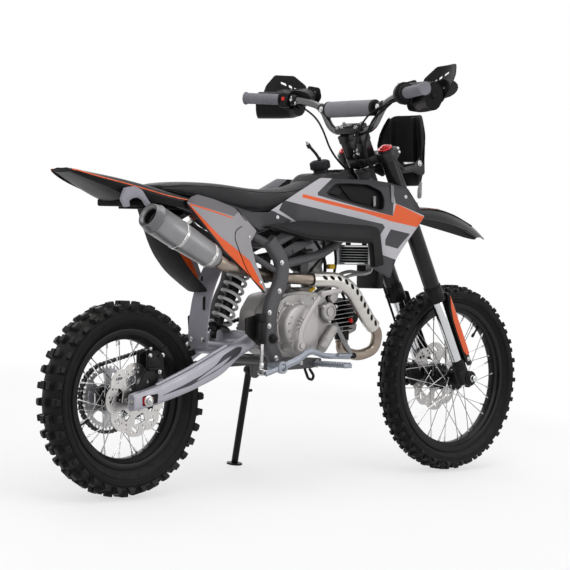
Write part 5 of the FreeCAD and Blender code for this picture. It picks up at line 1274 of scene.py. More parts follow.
shroudPaint = finish("shroudPaint", silverGrey, (0.41, 0.4, 0.42), (0.26, 0.38), coat=0.12, scale=10,
    share=0.3, regions=[([(635, 841), (698, 884), (922, 886), (905, 778), (820, 795), (634, 833)], darkGrey),
    ([(915, 900), (1000, 880), (1030, 778), (919, 815)], darkGrey),
    ([(578, 836), (820, 793), (810, 784), (574, 826)], orange),
    ([(820, 793), (905, 778), (908, 760), (810, 784)], orange),
    ([(905, 778), (920, 814), (1022, 777), (992, 746), (906, 761)], orange),
    ([(500, 817), (868, 754), (876, 744), (846, 706), (590, 735), (478, 788)], darkGrey),
    ([(876, 708), (897, 739), (966, 726), (918, 682), (874, 692)], darkGrey),
    ([(852, 666), (912, 648), (881, 590), (800, 600), (800, 640)], darkGrey),
    ([(240, 830), (457, 785), (526, 759), (385, 700), (240, 760)], darkGrey)])
sidePaint = finish("sidePaint", (0.31, 0.3, 0.31), (0.27, 0.265, 0.275), (0.28, 0.4), coat=0.12, scale=10,
    share=0.3, regions=[([(138, 803), (160, 840), (300, 830), (330, 790), (293, 765), (179, 794)],
    (0.15, 0.142, 0.152)), ([(146, 801), (179, 794), (293, 765), (293, 761), (179, 789), (146, 797)], orange),
    ([(146, 798), (243, 710), (239, 676), (176, 748), (143, 790)], orange),
    ([(243, 710), (317, 666), (335, 603), (239, 676)], orange),
    ([(310, 669), (351, 645), (400, 568), (391, 554), (331, 605)], orange),
    ([(130, 800), (138, 803), (254, 675), (250, 660)], (0.01, 0.01, 0.011)),
    ([(250, 660), (254, 675), (408, 556), (400, 545)], (0.01, 0.01, 0.011))])
ductFace = finish("ductFace", (0.013, 0.013, 0.0145), (0.02, 0.02, 0.0216), (0.3, 0.45),
    relief=(2400, 0.3, 0.2), scale=14)


def buildShrouds():
    outline = [(255, 808), (373, 781), (438, 782), (653, 884), (746, 882), (850, 882), (905, 876), (972, 860),
        (1024, 779), (980, 731), (908, 652), (880, 596), (815, 628), (812, 690), (812, 745), (530, 757),
        (460, 742), (395, 730)]
    opening = [(672, 842), (708, 868), (755, 870), (828, 868), (872, 850), (880, 825), (872, 794), (847, 796),
        (785, 809), (679, 834)]

    def swell(x, z):
        return hump(x, z, (770, 800), (170, 60), 5) + hump(x, z, (940, 790), (70, 60), 4) - hump(x, z,
            (905, 700), (60, 40), 3)

    skinPanel = bentPanel(outline, shroudPlan, shroudLean, 3, 6, swell=swell)
    cutter = plate(sideView(opening, -240), 240, bevel=0, ease=9)
    skinPanel = carved(skinPanel, cutter)
    lip = [onPanel(shroudPlan, shroudLean, p.x, p.z, swell(p.x, p.z) + 0.6)
        for p in roundedPoints(sideView(opening + opening[:1], 0), 9)]
    settle("shroudSkins", bothSides(skinPanel), "chassis", shroudPaint, ("shrouds",))
    rims = pipe(lip, 1.6, share=0.3, sides=8, steps=1)

    def dish(x, z):
        return hump(x, z, (800, 835), (60, 22), 7) - hump(x, z, (700, 845), (30, 20), 3)

    grown = [(660, 842), (704, 876), (755, 878), (830, 876), (882, 856), (890, 825), (878, 784), (847, 786),
        (785, 799), (672, 828)]
    well = bentPanel(grown, shroudPlan, shroudLean, 2, 9, out=-9, swell=dish, step=14)
    wall = []
    for a, b in zip(opening, opening[1:] + opening[:1]):
        top = [onPanel(shroudPlan, shroudLean, *p, 1) for p in (a, b)]
        low = [onPanel(shroudPlan, shroudLean, *p, -10) for p in (a, b)]
        wall.append(skin([top, low], around=False))
    sides = joined(wall)
    tidyNormals(sides, 0.1)
    modify(sides, "SOLIDIFY", thickness=1.6, offset=0)
    scoop = bentPanel([(726, 862), (800, 864), (846, 852), (838, 812), (800, 812), (760, 822)], shroudPlan,
        shroudLean, 4, 9, out=-3, step=14, swell=lambda x, z: hump(x, z, (800, 842), (50, 16), 4), bevel=1.6)
    settle("shroudWells", bothSides(joined([rims, sides])), "chassis", glossBlack)
    # the well floors are darkened by painted shade as well as by their own black
    settle("shroudWellFloors", bothSides(joined([well, scoop])), "chassis", shadedGuardBlack)
    window = bentPanel([(680, 842), (710, 864), (742, 850), (720, 833)], shroudPlan, shroudLean, 2, 3, out=-6,
        step=14)
    settle("shroudVents", bothSides(window), "chassis", blackPlastic)
    bars = bentPanel([(846, 836), (857, 835), (853, 806), (844, 804)], shroudPlan, shroudLean, 3, 2, out=-1,
        step=14)
    # the raised ridge takes a lighter grey metal finish, a painted highlight along the crease; the bars
    # inside the well are grey of their own
    ridge = bentPanel([(907, 870), (918, 866), (912, 812), (902, 818)], shroudPlan, shroudLean, 4, 3, out=7,
        step=14, bevel=1.5)
    settle("shroudRibsAndRidgeHighlight", bothSides(joined([bars, ridge])), "chassis", mufflerCap)
    frameOutline = [(408, 742), (532, 759), (653, 755), (792, 749), (830, 744), (838, 730), (841, 634),
        (809, 628), (809, 699), (700, 702), (577, 708), (487, 726)]
    tube = bentPanel(frameOutline, shroudPlan, shroudLean, 23, 7, out=24, bevel=6, step=40)
    settle("shroudDucts", bothSides(tube), "chassis", blackPlastic, ("shroud_ducts",))
    face = bentPanel([(452, 743), (532, 752), (653, 748), (792, 742), (802, 736), (803, 708), (700, 710),
        (577, 716), (500, 729)], shroudPlan, shroudLean, 3, 9, out=25.6, step=40, bevel=1.2)
    settle("shroudDuctFaces", bothSides(face), "chassis", ductFace)
    spots = [(470, 768), (960, 835)]
    heads = joined([bolt(onPanel(shroudPlan, shroudLean, x, z, 0.5 + swell(x, z)), (0, -1, 0.1), 4.2, 2.4)
        for x, z in spots])
    settleSteel("shroudBolts", bothSides(heads))


def buildSidePanels():
    outline = [(136, 800), (150, 818), (172, 826), (237, 811), (300, 792), (330, 772), (385, 728), (357, 698),
        (373, 642), (412, 563), (401, 555), (347, 602), (268, 658), (250, 669)]

    def swell(x, z):
        return hump(x, z, (300, 715), (60, 40), 5) - hump(x, z, (230, 745), (60, 16), 2.5) + hump(x, z,
            (205, 815), (60, 14), 3)

    cover = bentPanel(outline, sidePlan, sideLean, 3, 5, swell=swell)
    settle("sidePanelSkins", bothSides(cover), "chassis", sidePaint, ("side_panels",))
    # the grooves are near-black lines: painted shade in the panel's creases
    runs = [[(324, 741), (299, 729), (292, 708), (316, 658), (336, 619), (352, 600)],
        [(310, 790), (330, 768), (345, 756)]]
    grooveShades = []
    for run in runs:
        points = [onPanel(sidePlan, sideLean, x, z, swell(x, z) + 0.3) for x, z in run]
        grooveShades.append(pipe(points, 1.1, share=0.4, sides=8, steps=4))
    settle("sidePanelGrooveShade", bothSides(joined(grooveShades)), "chassis", paintedHoleShade)
    heads = joined([bolt(onPanel(sidePlan, sideLean, x, z, 1.5), (0, -1, 0.08), 4, 2.4)
        for x, z in ((388, 585), (352, 712))])
    settleSteel("sidePanelBolts", bothSides(heads))


def buildTank():
    stations = [(560, 60, 64, 768, 798), (640, 58, 70, 772, 838), (683, 58, 74, 774, 884),
        (712, 56, 74, 776, 899), (778, 52, 72, 790, 902), (812, 50, 60, 800, 912), (850, 36, 44, 846, 890)]
    rows = []
    for x, lowHalf, half, low, high in stations:
        rise = high - low
        ring = [(-lowHalf, low), (-lowHalf, low + rise * 0.32), (-half, low + rise * 0.5),
            (-half, high - rise * 0.18), (-half + 20, high), (half - 20, high), (half, high - rise * 0.18),
            (half, low + rise * 0.5), (lowHalf, low + rise * 0.32), (lowHalf, low)]
        rows.append((x, ring))
    tank = alongX(rows, ease=10)
    brace = plate([(x, y, 902 + (x - 760) * 0.06) for x, y in ((790, -34), (842, -26), (842, 26), (790, 34))],
        8, (0, 0, 1), bevel=2, ease=6)
    nuts = joined([rod(7, (820, y, 905), (820, y, 914), sides=20, bevel=1) for y in (-16, 16)])
    settle("tankShell", [tank, brace, nuts], "chassis", blackPlastic, ("fuel_tank",))
    middle, tilt = Vector((744, 0, 902)), Vector((-0.2, 0, 1)).normalized()
    cap = turned([(0.5, -4), (22, -4), (22, 9), (27, 11), (28.5, 15), (28.5, 30), (26, 35), (21, 37),
        (17, 35.5), (0.5, 35)], middle, tilt, 64)
    side = tilt.orthogonal().normalized()
    ribs = rod(2.1, middle + side * 28 + tilt * 13, middle + side * 28 + tilt * 32, sides=8, bevel=0.5)
    ribs = ringOf(ribs, 26, middle, tilt)
    nozzle = rod(5.5, middle + tilt * 34, middle + tilt * 46, sides=18, bevel=0.8)
    hose = curved([middle + tilt * 40, middle + Vector((-14, 0, 48)), middle + Vector((-30, 0, 62)),
        (692, 0, 980)], 4.3, sides=4)
    collar = rod(6.4, (697, 0, 974), (689, 0, 984), sides=18, bevel=0.8)
    settle("tankCap", [cap, ribs, nozzle, hose, collar], "chassis", capRubber, ("fuel_cap",))
    valve = joined([rod(5, (692, 0, 980), (686, 0, 987.5), sides=6, bevel=0.5),
        rod(3, (687, 0, 986), (683, 0, 991), sides=14, bevel=0.3)])
    settleSteel("tankCapValve", valve)


capRubber = finish("capRubber", (0.016, 0.016, 0.018), (0.032, 0.032, 0.036), (0.35, 0.5),
    relief=(2200, 0.4, 0.25), scale=40)
buildShrouds()
buildSidePanels()
buildTank()
print("panels and tank made")


# Seat: a padded cover over the foam, blown full as a cloth and kept near its own form, with piping
# columns: x, half widths at the top and at the base, heights of the top and of the base
seatStations = [(84, 50, 64, 858, 835), (120, 62, 75, 861, 828), (170, 72, 85, 863.5, 819),
    (290, 79, 91, 861, 795.5), (410, 77, 93, 850, 781), (500, 69, 89, 849, 789), (590, 55, 79, 858, 823),
    (640, 49, 72, 871, 846), (676, 44, 66, 884, 866)]


clothFrames, mostPuff = 20, 3.6


def buildSeat():
    rows = []
    for x, top, low, high, base in seatStations:
        # the full build starts further inside, since its cloth is blown out from there
        inset = 3.5
        ring = [(-low + inset, base + inset), (-low + 4, base + (high - base) * 0.42), (-top - 2, high - 17),
            (-top + 10, high - inset - 1.5), (top - 10, high - inset - 1.5), (top + 2, high - 17),
            (low - 4, base + (high - base) * 0.42), (low - inset, base + inset)]
        rows.append((x, ring))
    pad = alongX(rows, ease=9)
    modify(pad, "REMESH", mode="VOXEL", voxel_size=6)
    modify(pad, "CORRECTIVE_SMOOTH", iterations=6, use_only_smooth=True)
    before = [v.co.copy() for v in pad.data.vertices]
    pad.data.transform(toMetres)
    group = pad.vertex_groups.new(name="base")
    ends = seatStations[0][0], seatStations[-1][0]
    for vertex, spot in zip(pad.data.vertices, before):
        under = [base for (x, top, low, high, base) in seatStations if abs(x - spot.x) < 66]
        if spot.z < min(under, default=0) + 13 or min(abs(spot.x - end) for end in ends) < 5:
            group.add([vertex.index], 1.0, "REPLACE")
    only(pad)
    cloth = pad.modifiers.new("cloth", "CLOTH")
    cloth.settings.use_pressure = True
    cloth.settings.uniform_pressure_force = 4.0
    cloth.settings.effector_weights.gravity = 0
    cloth.settings.vertex_group_mass = "base"
    cloth.settings.tension_stiffness = cloth.settings.compression_stiffness = 20
    cloth.settings.shear_stiffness = 8
    cloth.settings.quality = 5
    cloth.point_cache.frame_start, cloth.point_cache.frame_end = 1, clothFrames
    for number in range(1, clothFrames + 1):
        bpy.context.scene.frame_set(number)
    only(pad)
    bpy.ops.object.modifier_apply(modifier=cloth.name)
    pad.data.transform(Matrix.Scale(1000, 4))
    for vertex, spot in zip(pad.data.vertices, before):
        move = vertex.co - spot
        if move.length > mostPuff:
            vertex.co = spot + move.normalized() * mostPuff
    modify(pad, "SMOOTH", iterations=3, factor=0.5)
    bpy.context.scene.frame_set(1)
    pad.vertex_groups.clear()
    piece = settle("seatPad", pad, "chassis", seatCover, ("seat",), smooth=60)
    lines = []
    for side in (-1, 1):
        run = [Vector((x, side * (top + 1.5), high - 12.5)) for x, top, low, high, base in seatStations]
        lines.append(curved(run, 1.1, sides=2, steps=6))
        run = [Vector((x, side * (low - 0.8), base + 4)) for x, top, low, high, base in seatStations]
        lines.append(curved(run, 1.6, sides=2, steps=6))
    settle("seatPiping", lines, "chassis", seatSide)


buildSeat()
print("seat made")


# Rear fender: a crowned sheet with turned-down sides, orange lines, a keel below; then the mud guards
def buildRearFender():
    stations = [(-212, 44, 888.5, 9), (-196, 54, 887, 14), (-150, 68, 878, 24), (-60, 82, 864, 37),
        (30, 90, 845.5, 40), (80, 92, 834, 38), (170, 94, 818, 32), (296, 96, 793, 24)]
    rows = []
    for x, half, high, skirt in stations:
        right = [(half - 7, high - skirt), (half - 1, high - skirt * 0.62), (half, high - skirt * 0.4),
            (half - 9, high - 5), (half - 24, high - 0.5), (half * 0.32, high - 1.5)]
        pairs = right + [(0, high - 2)] + [(-y, z) for y, z in reversed(right)]
        rows.append([Vector((x, y, z)) for y, z in pairs])
    sheet = sheetOf(rows, 3, levels=2, offset=1)
    tidyNormals(sheet, 0.001)
    settle("rearFenderSheet", sheet, "chassis", glossBlack, ("rear_fender",))
    lines = []
    for side in (-1, 1):
        run = [Vector((x, side * (half - 0.4), high - skirt * 0.36)) for x, half, high, skirt in stations
            if x < 175]
        lines.append(pipe(run, 2.6, share=0.4, sides=8, steps=3, flat=(0.8, 1.3)))
    settle("rearFenderLines", lines, "chassis", orangePaint)
    outline = [(-74, 827), (-68, 839), (-37, 844), (-12, 834), (9, 808), (23, 794), (9, 791), (-5, 807),
        (-22, 814), (-43, 812), (-57, 804), (-53, 790), (-67, 787), (-81, 808)]
    cheek = joined([plate(sideView(outline, -94), 12, bevel=1.2, ease=3),
        box((88, 120, 5), (-20, -26, 826), 1.5)])
    settle("rearArchBracket", cheek, "chassis", flapGrey)
    # near-black boxes under the fender: painted shade filling the arch's dark inside
    inner = joined([box((70, 122, 20), (-9, 0, 801), 5), box((130, 132, 8), (100, 0, 789), 2)])
    settle("rearArchInnerShade", inner, "chassis", paintedHoleShade)
    rows = [[Vector((x, half * k / 4, low + rise * (abs(k) / 4) ** 3)) for k in range(-4, 5)]
        for x, half, low, rise in ((-211, 37, 879.5, 2), (-196, 44, 873, 4), (-150, 58, 853, 6),
        (-100, 68, 830, 9), (-66, 72, 812, 14), (-50, 72, 806, 17))]
    keel = joined([sheetOf(rows, 3, levels=1, offset=0), box((5, 76, 8), (-209.5, 0, 883), 2)])
    settle("rearFenderKeel", keel, "chassis", ductFace)


def buildMudGuards():
    path = [(84, 796), (107, 740), (129, 690), (150, 655), (195, 606), (266, 556)]
    line = filletLine(sideView(path, 0), 0.4, 4)
    rows = []
    for spot in line:
        half = 56 - 10 * max(0, (620 - spot.z) / 64)
        rows.append([Vector((spot.x + 6 * (abs(k) / 4) ** 2, half * k / 4, spot.z + 4 * (abs(k) / 4) ** 2))
            for k in range(-4, 5)])
    guard = sheetOf(rows, 3, levels=1, offset=0)
    # the mud guard sits deep under the seat; its near-black is partly painted shade
    settle("mudGuardSheet", guard, "chassis", shadedGuardBlack, ("mud_guard",))
    path = [(336, 640), (306, 590), (286, 540), (275, 480), (272, 440), (272, 402)]
    line = filletLine(sideView(path, 0), 0.4, 4)
    rows = [[Vector((spot.x + 3.5 * (1 - (k / 4) ** 2), 38 * k / 4, spot.z)) for k in range(-4, 5)]
        for spot in line]
    flap = sheetOf(rows, 3.5, levels=1, offset=0)
    lip = joined([pipe([row[n] for row in rows[::3]], 2.6, share=0.35, sides=10, steps=2) for n in (0, 8)])
    foot = plate(sideView([(270, 404), (311, 404), (311, 396), (270, 396)], -36), 72, bevel=1.5)
    settle("mudFlapSheet", [flap, lip, foot], "chassis", flapGrey, ("mud_flap",))
    # the flap's slots are near-black plates of painted shade, not cut through
    slots = joined([plate(row, 2.5, (-1, 0, 0.1), bevel=0.4, ease=3)
        for row in ([(275, -26, 506), (275, -18, 506), (280, -12, 540), (282, -20, 546)],
        [(297, 10, 586), (297, 18, 586), (302, 20, 600), (300, 12, 600)])])
    settle("mudFlapSlotShade", slots, "chassis", paintedHoleShade)
    heads = joined([bolt((269.6, y, 424), (-1, 0, 0), 5, 3) for y in (-24, 24)])
    settleSteel("mudFlapBolts", heads)


buildRearFender()
buildMudGuards()
print("rear fender made")


# Oil cooler with its fins, tanks and pipes; the glossy box ahead of it
finPitch = 7.8


def buildCooler():
    parts = [box((20, 118, 3), (893, 0, z), 0.6) for z in (634, 690)]
    plates = [box((22, 122, 2.4), (893, 0, 639 + k * finPitch), 0.5) for k in range(7)]
    tanks = joined([box((25, 17, 60), (893, side * 67.5, 662), 4, 3) for side in (-1, 1)])
    settle("oilCoolerCore", parts + plates + [tanks], "chassis", coolerFins, ("oil_cooler",))
    waves = []
    for k in range(6):
        z = 642.9 + k * finPitch
        points = [Vector((885, -57 + 114 * n / 45, z + (2.4 if n % 2 else -2.4))) for n in range(46)]
        ribbon = [points, [p + Vector((16, 0, 0)) for p in points]]
        waves.append(skin(ribbon, around=False))
    fins = joined(waves)
    modify(fins, "SOLIDIFY", thickness=0.5, offset=0)
    settle("oilCoolerFins", fins, "chassis", finBlack)
    runs = []
    for y, reach in ((-66, 0), (-52, 12)):
        runs.append(curved([(893, y, 634), (893, y, 616), (870, y - 2, 606), (800, y - 4, 606 + reach),
            (744, y + 14, 574 + reach), (706, y + 26, 556), (690, y + 26, 546)], 5, sides=4, steps=8))
    nuts = joined([rod(8, (893, y, 633), (893, y, 621), sides=6, bevel=0.8) for y in (-66, -52)])
    settle("oilPipes", runs + [nuts], "chassis", carbGrey)
    tabs = joined([plate(sideView([(884, 691), (902, 691), (902, 764), (884, 757)], y - 2), 4, bevel=0.8,
        ease=2) for y in (-34, 34)])
    settle("oilCoolerTabs", tabs, "chassis", satinBlack)
    case = box((28, 90, 74), (952, 0, 599), 5, 3)
    lid = box((3, 78, 62), (937.5, 0, 599), 1.2)
    side = joined([box((20, 2.4, 60), (952, y, 599), 1) for y in (-45.6, 45.6)])
    strap = plate(sideView([(940, 630), (952, 630), (952, 672), (906.5, 684), (906.5, 672), (940, 662)], -12),
        24, bevel=1, ease=2)
    settle("electricsBox", [case, lid, side, strap], "chassis", glossBlack, ("electrics_box",))


buildCooler()
print("cooler made")


# Steering: clamps, fork, handlebar and what they carry, placed along the fork
forkBlack = finish("forkBlack", (0.011, 0.011, 0.012), (0.02, 0.02, 0.021), (0.26, 0.38), metallic=0.25,
    coat=0.2, scale=20)
clampBlack = finish("clampBlack", (0.009, 0.009, 0.01), (0.02, 0.02, 0.022), (0.26, 0.4), metallic=0.4,
    relief=(1700, 0.25, 0.12))
fenderGrey = finish("fenderGrey", (0.014, 0.014, 0.015), (0.022, 0.022, 0.024), (0.26, 0.36), coat=0.25,
    relief=(2400, 0.2, 0.1))
clampLows = (566, 748)
barMiddle = Vector((870.04, 0, 1028.97))


def forkPlate(outline, low, high, bevel=2, ease=8):
    # a plate square to the fork, its outline in places ahead and across
    spots = [forkPoint(n, y, low) for n, y in outline]
    lift = (forkPoint(0, 0, 1) - forkPoint(0, 0, 0)).normalized()
    return plate(spots, high - low, lift, bevel=bevel, ease=ease)


def forkBox(low, high, bevel):
    (n0, y0, w0), (n1, y1, w1) = low, high
    return forkPlate([(n0, y0), (n1, y0), (n1, y1), (n0, y1)], w0, w1, bevel, 0)


def buildClamps():
    parts = []
    for low in clampLows:
        parts.append(forkPlate([(-78, -30), (-46, -62), (-30, -104), (-8, -114), (12, -106), (11, -60),
            (-8, -34), (-6, 34), (11, 60), (12, 106), (-8, 114), (-30, 104), (-46, 62), (-78, 30)], low + 2,
            low + 28, 3, 12))
        for side in (-1, 1):
            y = side * legSpread
            parts.append(alongFork(legN, y, low, low + 30, 31, 56, 2.5))
            parts.append(forkBox((6, y - 9, low + 3), (24, y + 9, low + 27), 3))
    parts.append(alongFork(steerN, 0, 776, 786, 21, 40, 2))
    for side in (-1, 1):
        y = side * 32
        parts.append(forkPlate([(-64, y - 15), (-26, y - 15), (-26, y + 15), (-64, y + 15)], 776, 838, 3, 6))
        parts.append(forkPlate([(-66, y - 17), (-24, y - 17), (-24, y + 17), (-66, y + 17)], 822, 848, 3, 6))
        parts.append(forkPlate([(-62, y - 11), (-58, y - 11), (-58, y + 11), (-62, y + 11)], 786, 816, 1, 3))
    settle("forkClamps", parts, "steering", clampBlack, ("triple_clamps",))
    cover = [forkPlate([(-68, -50), (-22, -50), (-22, 50), (-68, 50)], 857, 874, 4, 7),
        forkPlate([(-58, -20), (-32, -20), (-32, 20), (-58, 20)], 872, 876.5, 1.5, 5)]
    settle("barClampTop", cover, "steering", clampBlack, ("bar_clamp",))
    heads = []
    for n in (-60, -30):
        for y in (-38, 38):
            heads.append(alongFork(n, y, 873, 880, 5, 20, 0.8))
            heads.append(alongFork(n, y, 873, 875, 7, 20, 0.5))
    for low in clampLows:
        for side in (-1, 1):
            for high in (9, 21):
                spot = forkPoint(18, side * 93, low + high)
                heads.append(rod(4.6, spot, spot + Vector((0, side * 7, 0)), sides=18, bevel=0.7))
    settleSteel("clampBolts", heads, "steering")
    nut = joined([alongFork(steerN, 0, 784, 789, 18, 40, 1), alongFork(steerN, 0, 788, 800, 14, 6, 1),
        alongFork(steerN, 0, 798, 803, 10, 30, 1)])
    settle("stemNut", nut, "steering", chrome)
    cups = joined([alongFork(steerN, 0, 741.5, 746.5, 30, 48, 1.5),
        alongFork(steerN, 0, 597, 600.5, 29, 48, 1)])
    settleSteel("headCups", cups, "steering")


def buildFork():
    tubes, trims, caps, feet, chromed = [], [], [], [], []
    for side in (-1, 1):
        y = side * legSpread
        tubes.append(alongFork(legN, y, 278, 783, 24.6, 64, 1.5))
        trims += [alongFork(legN, y, *row) for row in ((276, 322, 28, 64, 2.5, 27), (322, 328, 26.6, 64, 1.5),
            (279, 283, 28.6, 64, 1), (274.5, 278, 22, 48, 0.8))]
        caps += [alongFork(legN, y, *row) for row in ((782.5, 788, 22.6, 48, 1.6), (787, 792, 16, 6, 1),
            (791, 795, 8, 24, 0.8))]
        chromed.append(alongFork(legN, y, 62, 300, 17.3, 56, 0.5))
        feet.append(alongFork(legN, y + side * 2.5, 40, 70, 19.8, 48, 3))
        feet.append(alongFork(legN, y + side * 1.2, 64, 74, 18.6, 48, 2.5))
        feet.append(forkPlate([(-36, y - 13), (2, y - 13), (8, y), (2, y + 13), (-36, y + 13), (-40, y)], -6,
            44, 4, 5))
        feet.append(crossRod(23, frontAxle.x, frontAxle.z, y - side * 4, y + side * 17, 3, 48))
        feet.append(crossRod(17, frontAxle.x, frontAxle.z, y + side * 16, y + side * 19.5, 1.5, 40))
        feet.append(forkBox((-14, y - 9, -26), (10, y + 9, -8), 3))
    settle("forkTubes", tubes, "steering", forkBlack, ("fork_tubes",))
    settle("forkCollars", trims, "steering", satinBlack)
    settle("forkCaps", caps, "steering", redMetal)
    settle("forkFeet", feet, "steering", blackPlastic)
    for side in (-1, 1):
        chromed.append(crossRod(11, frontAxle.x, frontAxle.z, side * 100, side * 106, 1, 40))
        chromed.append(crossRod(9.5, frontAxle.x, frontAxle.z, side * 105, side * 115.5, 1.2,
            6 if side > 0 else 36))
        chromed.append(crossRod(13, frontAxle.x, frontAxle.z, side * 56, side * 68, 1, 40))
        chromed.append(bolt(forkPoint(-2, side * 91, -17), (0, side, 0), 4.5, 4))
    settle("forkLegs", chromed, "steering", chrome, ("fork_legs",))


def guardLine(side, w, back):
    # the guard's outer face across one height: from its rear edge round the front
    pairs = [(-5 + back, 105.6), (8, 106.6), (17, 105), (22, 100), (25, 93), (25.6, 85), (25, 77), (22, 70),
        (17, 67)]
    return [forkPoint(n, side * across, w) for n, across in pairs]


def buildGuards():
    shells, stripes, heads = [], [], []
    for side in (-1, 1):
        rows = [guardLine(side, w, back) for w, back in ((44, 0), (60, 0), (120, 0), (200, 0), (236, 4),
            (262, 12), (284, 20))]
        shells.append(sheetOf(rows, 3, offset=side))
        rows = []
        for w, near, far in ((78, 6, 20), (94, -1, 21), (150, -2, 21.5), (205, 0, 22), (245, 8, 22),
                (274, 19.5, 22)):
            rows.append([forkPoint(near, side * 106.9, w), forkPoint((near + far) / 2, side * 107, w),
                forkPoint(far - 1, side * 105.6, w), forkPoint(far + 2.4, side * 101.8, w)])
        stripes.append(sheetOf(rows, 0.8, levels=0, bevel=0.2, offset=0))
        heads.append(bolt(forkPoint(9, side * 106, 64), (0, side, 0), 5, 3))
    settle("forkGuards", shells, "steering", blackPlastic, ("fork_guards",))
    settle("forkGuardStripes", stripes, "steering", orangePaint)
    settleSteel("forkGuardBolts", heads, "steering")


gripRings, gripPitch = 13, 8.4


def buildBar():
    half = [barMiddle, barMiddle + left * 84, barMiddle + Vector((2, 132, 77)),
        barMiddle + Vector((-18, 200, 97)), barMiddle + Vector((-86, 376, 107))]
    route = [Vector((p.x, -p.y, p.z)) for p in reversed(half[1:])] + half[1:]
    bar = pipe(route, 11, share=0.4, sides=32, steps=10)
    middle = barMiddle + Vector((-2, 0, 66))
    cross = rod(7, middle - left * 122, middle + left * 122, sides=28)
    eyes = []
    for side in (-1, 1):
        eyes.append(rod(14.5, middle + Vector((0, side * 106, -2)), middle + Vector((2, side * 134, 8)),
            sides=32, bevel=2.5))
    settle("handlebar", [bar, cross], "steering", darkChrome, ("handlebar",))
    settle("barJoints", eyes, "steering", clampBlack)
    heads = joined([bolt(middle + Vector((-13, side * 118, 2)), (-1, 0, 0.1), 6, 4) for side in (-1, 1)])
    settle("barBolts", heads, "steering", chrome)
    pad = turned([(23, -96), (24, -90), (24.3, -30), (24.3, 30), (24, 90), (23, 96), (12, 97), (12, -97)],
        middle, left, 56)
    settle("barPad", pad, "steering", padSleeve, ("bar_pad",))
    ends = []
    for side in (-1, 1):
        ends.append(turned([(24.6, side * 93), (24.6, side * 99), (22.5, side * 101), (12, side * 101.6),
            (12, side * 96)], middle, left, 56))
    settle("barPadEnds", ends, "steering", blackPlastic)
    gripParts, flanges, perches, bright = [], [], [], []
    run = (half[4] - half[3]).normalized()
    outer = half[4] + run * 3
    inner = outer - run * 122
    for side in (-1, 1):
        flip = Vector((1, side, 1))
        direction = Vector((run.x, run.y * side, run.z))
        start = inner * flip
        profile = [(11.5, 0), (16.4, 2)]
        for k in range(gripRings):
            profile += [(r, place + k * gripPitch) for r, place in ((16.9, 5), (16.9, 9.6), (15.9, 10.4),
                (15.9, 12.6))]
        profile += [(17, 114.6), (19.4, 116), (19.4, 120), (17, 122), (0.5, 122)]
        gripParts.append(turned(profile, start, direction, 48))
        flanges.append(turned([(12, -8), (22, -8), (25, -6.5), (25, -2), (22, 0), (12, 0.5)], start,
            direction, 48))
        # the throttle's housing, on the right, is the larger
        first, second, third = (22, 25, 26) if side > 0 else (25, 31, 33)
        flanges.append(turned([(12, -32), (first, -32), (second, -28), (third, -12), (22, -9), (12, -9)],
            start, direction, 40))
        reach = direction.cross(Vector((0, 0, 1))).normalized()
        if reach.x < 0:
            reach = -reach
        perch = start - direction * 42
        perches.append(rod(17, perch - direction * 8, perch + direction * 8, sides=36, bevel=2))
        perches.append(rod(9, perch + reach * 6, perch + reach * 40 - Vector((0, 0, 6)), sides=24, bevel=2))
        bright.append(rod(5.5, perch + reach * 22 + Vector((0, 0, 8)),
            perch + reach * 22 - Vector((0, 0, 12)), sides=24, bevel=1))
        bright.append(bolt(perch - reach * 14, -reach, 5, 4))
        lever = [perch + reach * 36 - Vector((0, 0, 6)), perch + reach * 52 + direction * 26
            - Vector((0, 0, 12)), perch + reach * 46 + direction * 80 - Vector((0, 0, 16)),
            perch + reach * 40 + direction * 136 - Vector((0, 0, 18))]
        perches.append(pipe(lever, 5.5, share=0.4, sides=16, flat=(5, 7.5), steps=6))
        perches.append(ball(7.5, lever[-1]))
        low = perch - Vector((0, 0, 26))
        hoop = [perch - Vector((0, 0, 12)) + reach * 10, low + reach * 14 - direction * 4,
            low + reach * 16 + direction * 34, perch + reach * 16 + direction * 46 - Vector((0, 0, 10))]
        perches.append(pipe(hoop, 4.4, share=0.3, sides=14, steps=4))
    settle("barGrips", gripParts, "steering", gripRubber, ("grips",))
    settle("barSwitches", flanges, "steering", blackPlastic)
    settle("barLevers", perches, "steering", satinBlack, ("levers",))
    place = inner - run * 20
    case = box((34, 22, 44), place + Vector((-8, 0, -2)), 4, 3)
    turn = Matrix.Translation(place) @ run.to_track_quat("Y",
        "Z").to_matrix().to_4x4() @ Matrix.Translation(-place)
    case.data.transform(turn)
    settle("stopSwitchCase", case, "steering", blackPlastic)
    key = box((5, 9, 11), place + Vector((-26, 0, 2)), 1.5)
    key.data.transform(turn)
    settle("stopSwitchKey", key, "steering", redGloss)
    for k, height in ((0, 7), (1, -9)):
        spot = inner - run * (46 + 14 * k)
        bright.append(rod(5, spot + Vector((-13, 0, height)), spot + Vector((-17, 0, height)), sides=20,
            bevel=1))
    tank = (inner - run * 52) * Vector((1, -1, 1))
    settle("brakeReservoir", box((26, 30, 22), tank + Vector((20, 0, 20)), 4, 3), "steering", blackPlastic)
    bright.append(box((27, 31, 4), tank + Vector((20, 0, 33)), 1.4))
    settleSteel("barSteel", bright, "steering")


redGloss = finish("redGloss", (0.75, 0.02, 0.015), (0.6, 0.015, 0.012), (0.2, 0.32), coat=0.4)


def shellSpot(y, z):
    # the hand guard's face: ahead of the grip, its outer end swept back
    sweep = max(0.0, abs(y) - 300)
    return Vector((916 - 0.003 * sweep * sweep + (z - 1180) * 0.5 * sweep / 98 - 0.0006 * (z - 1160) ** 2, y,
        z))


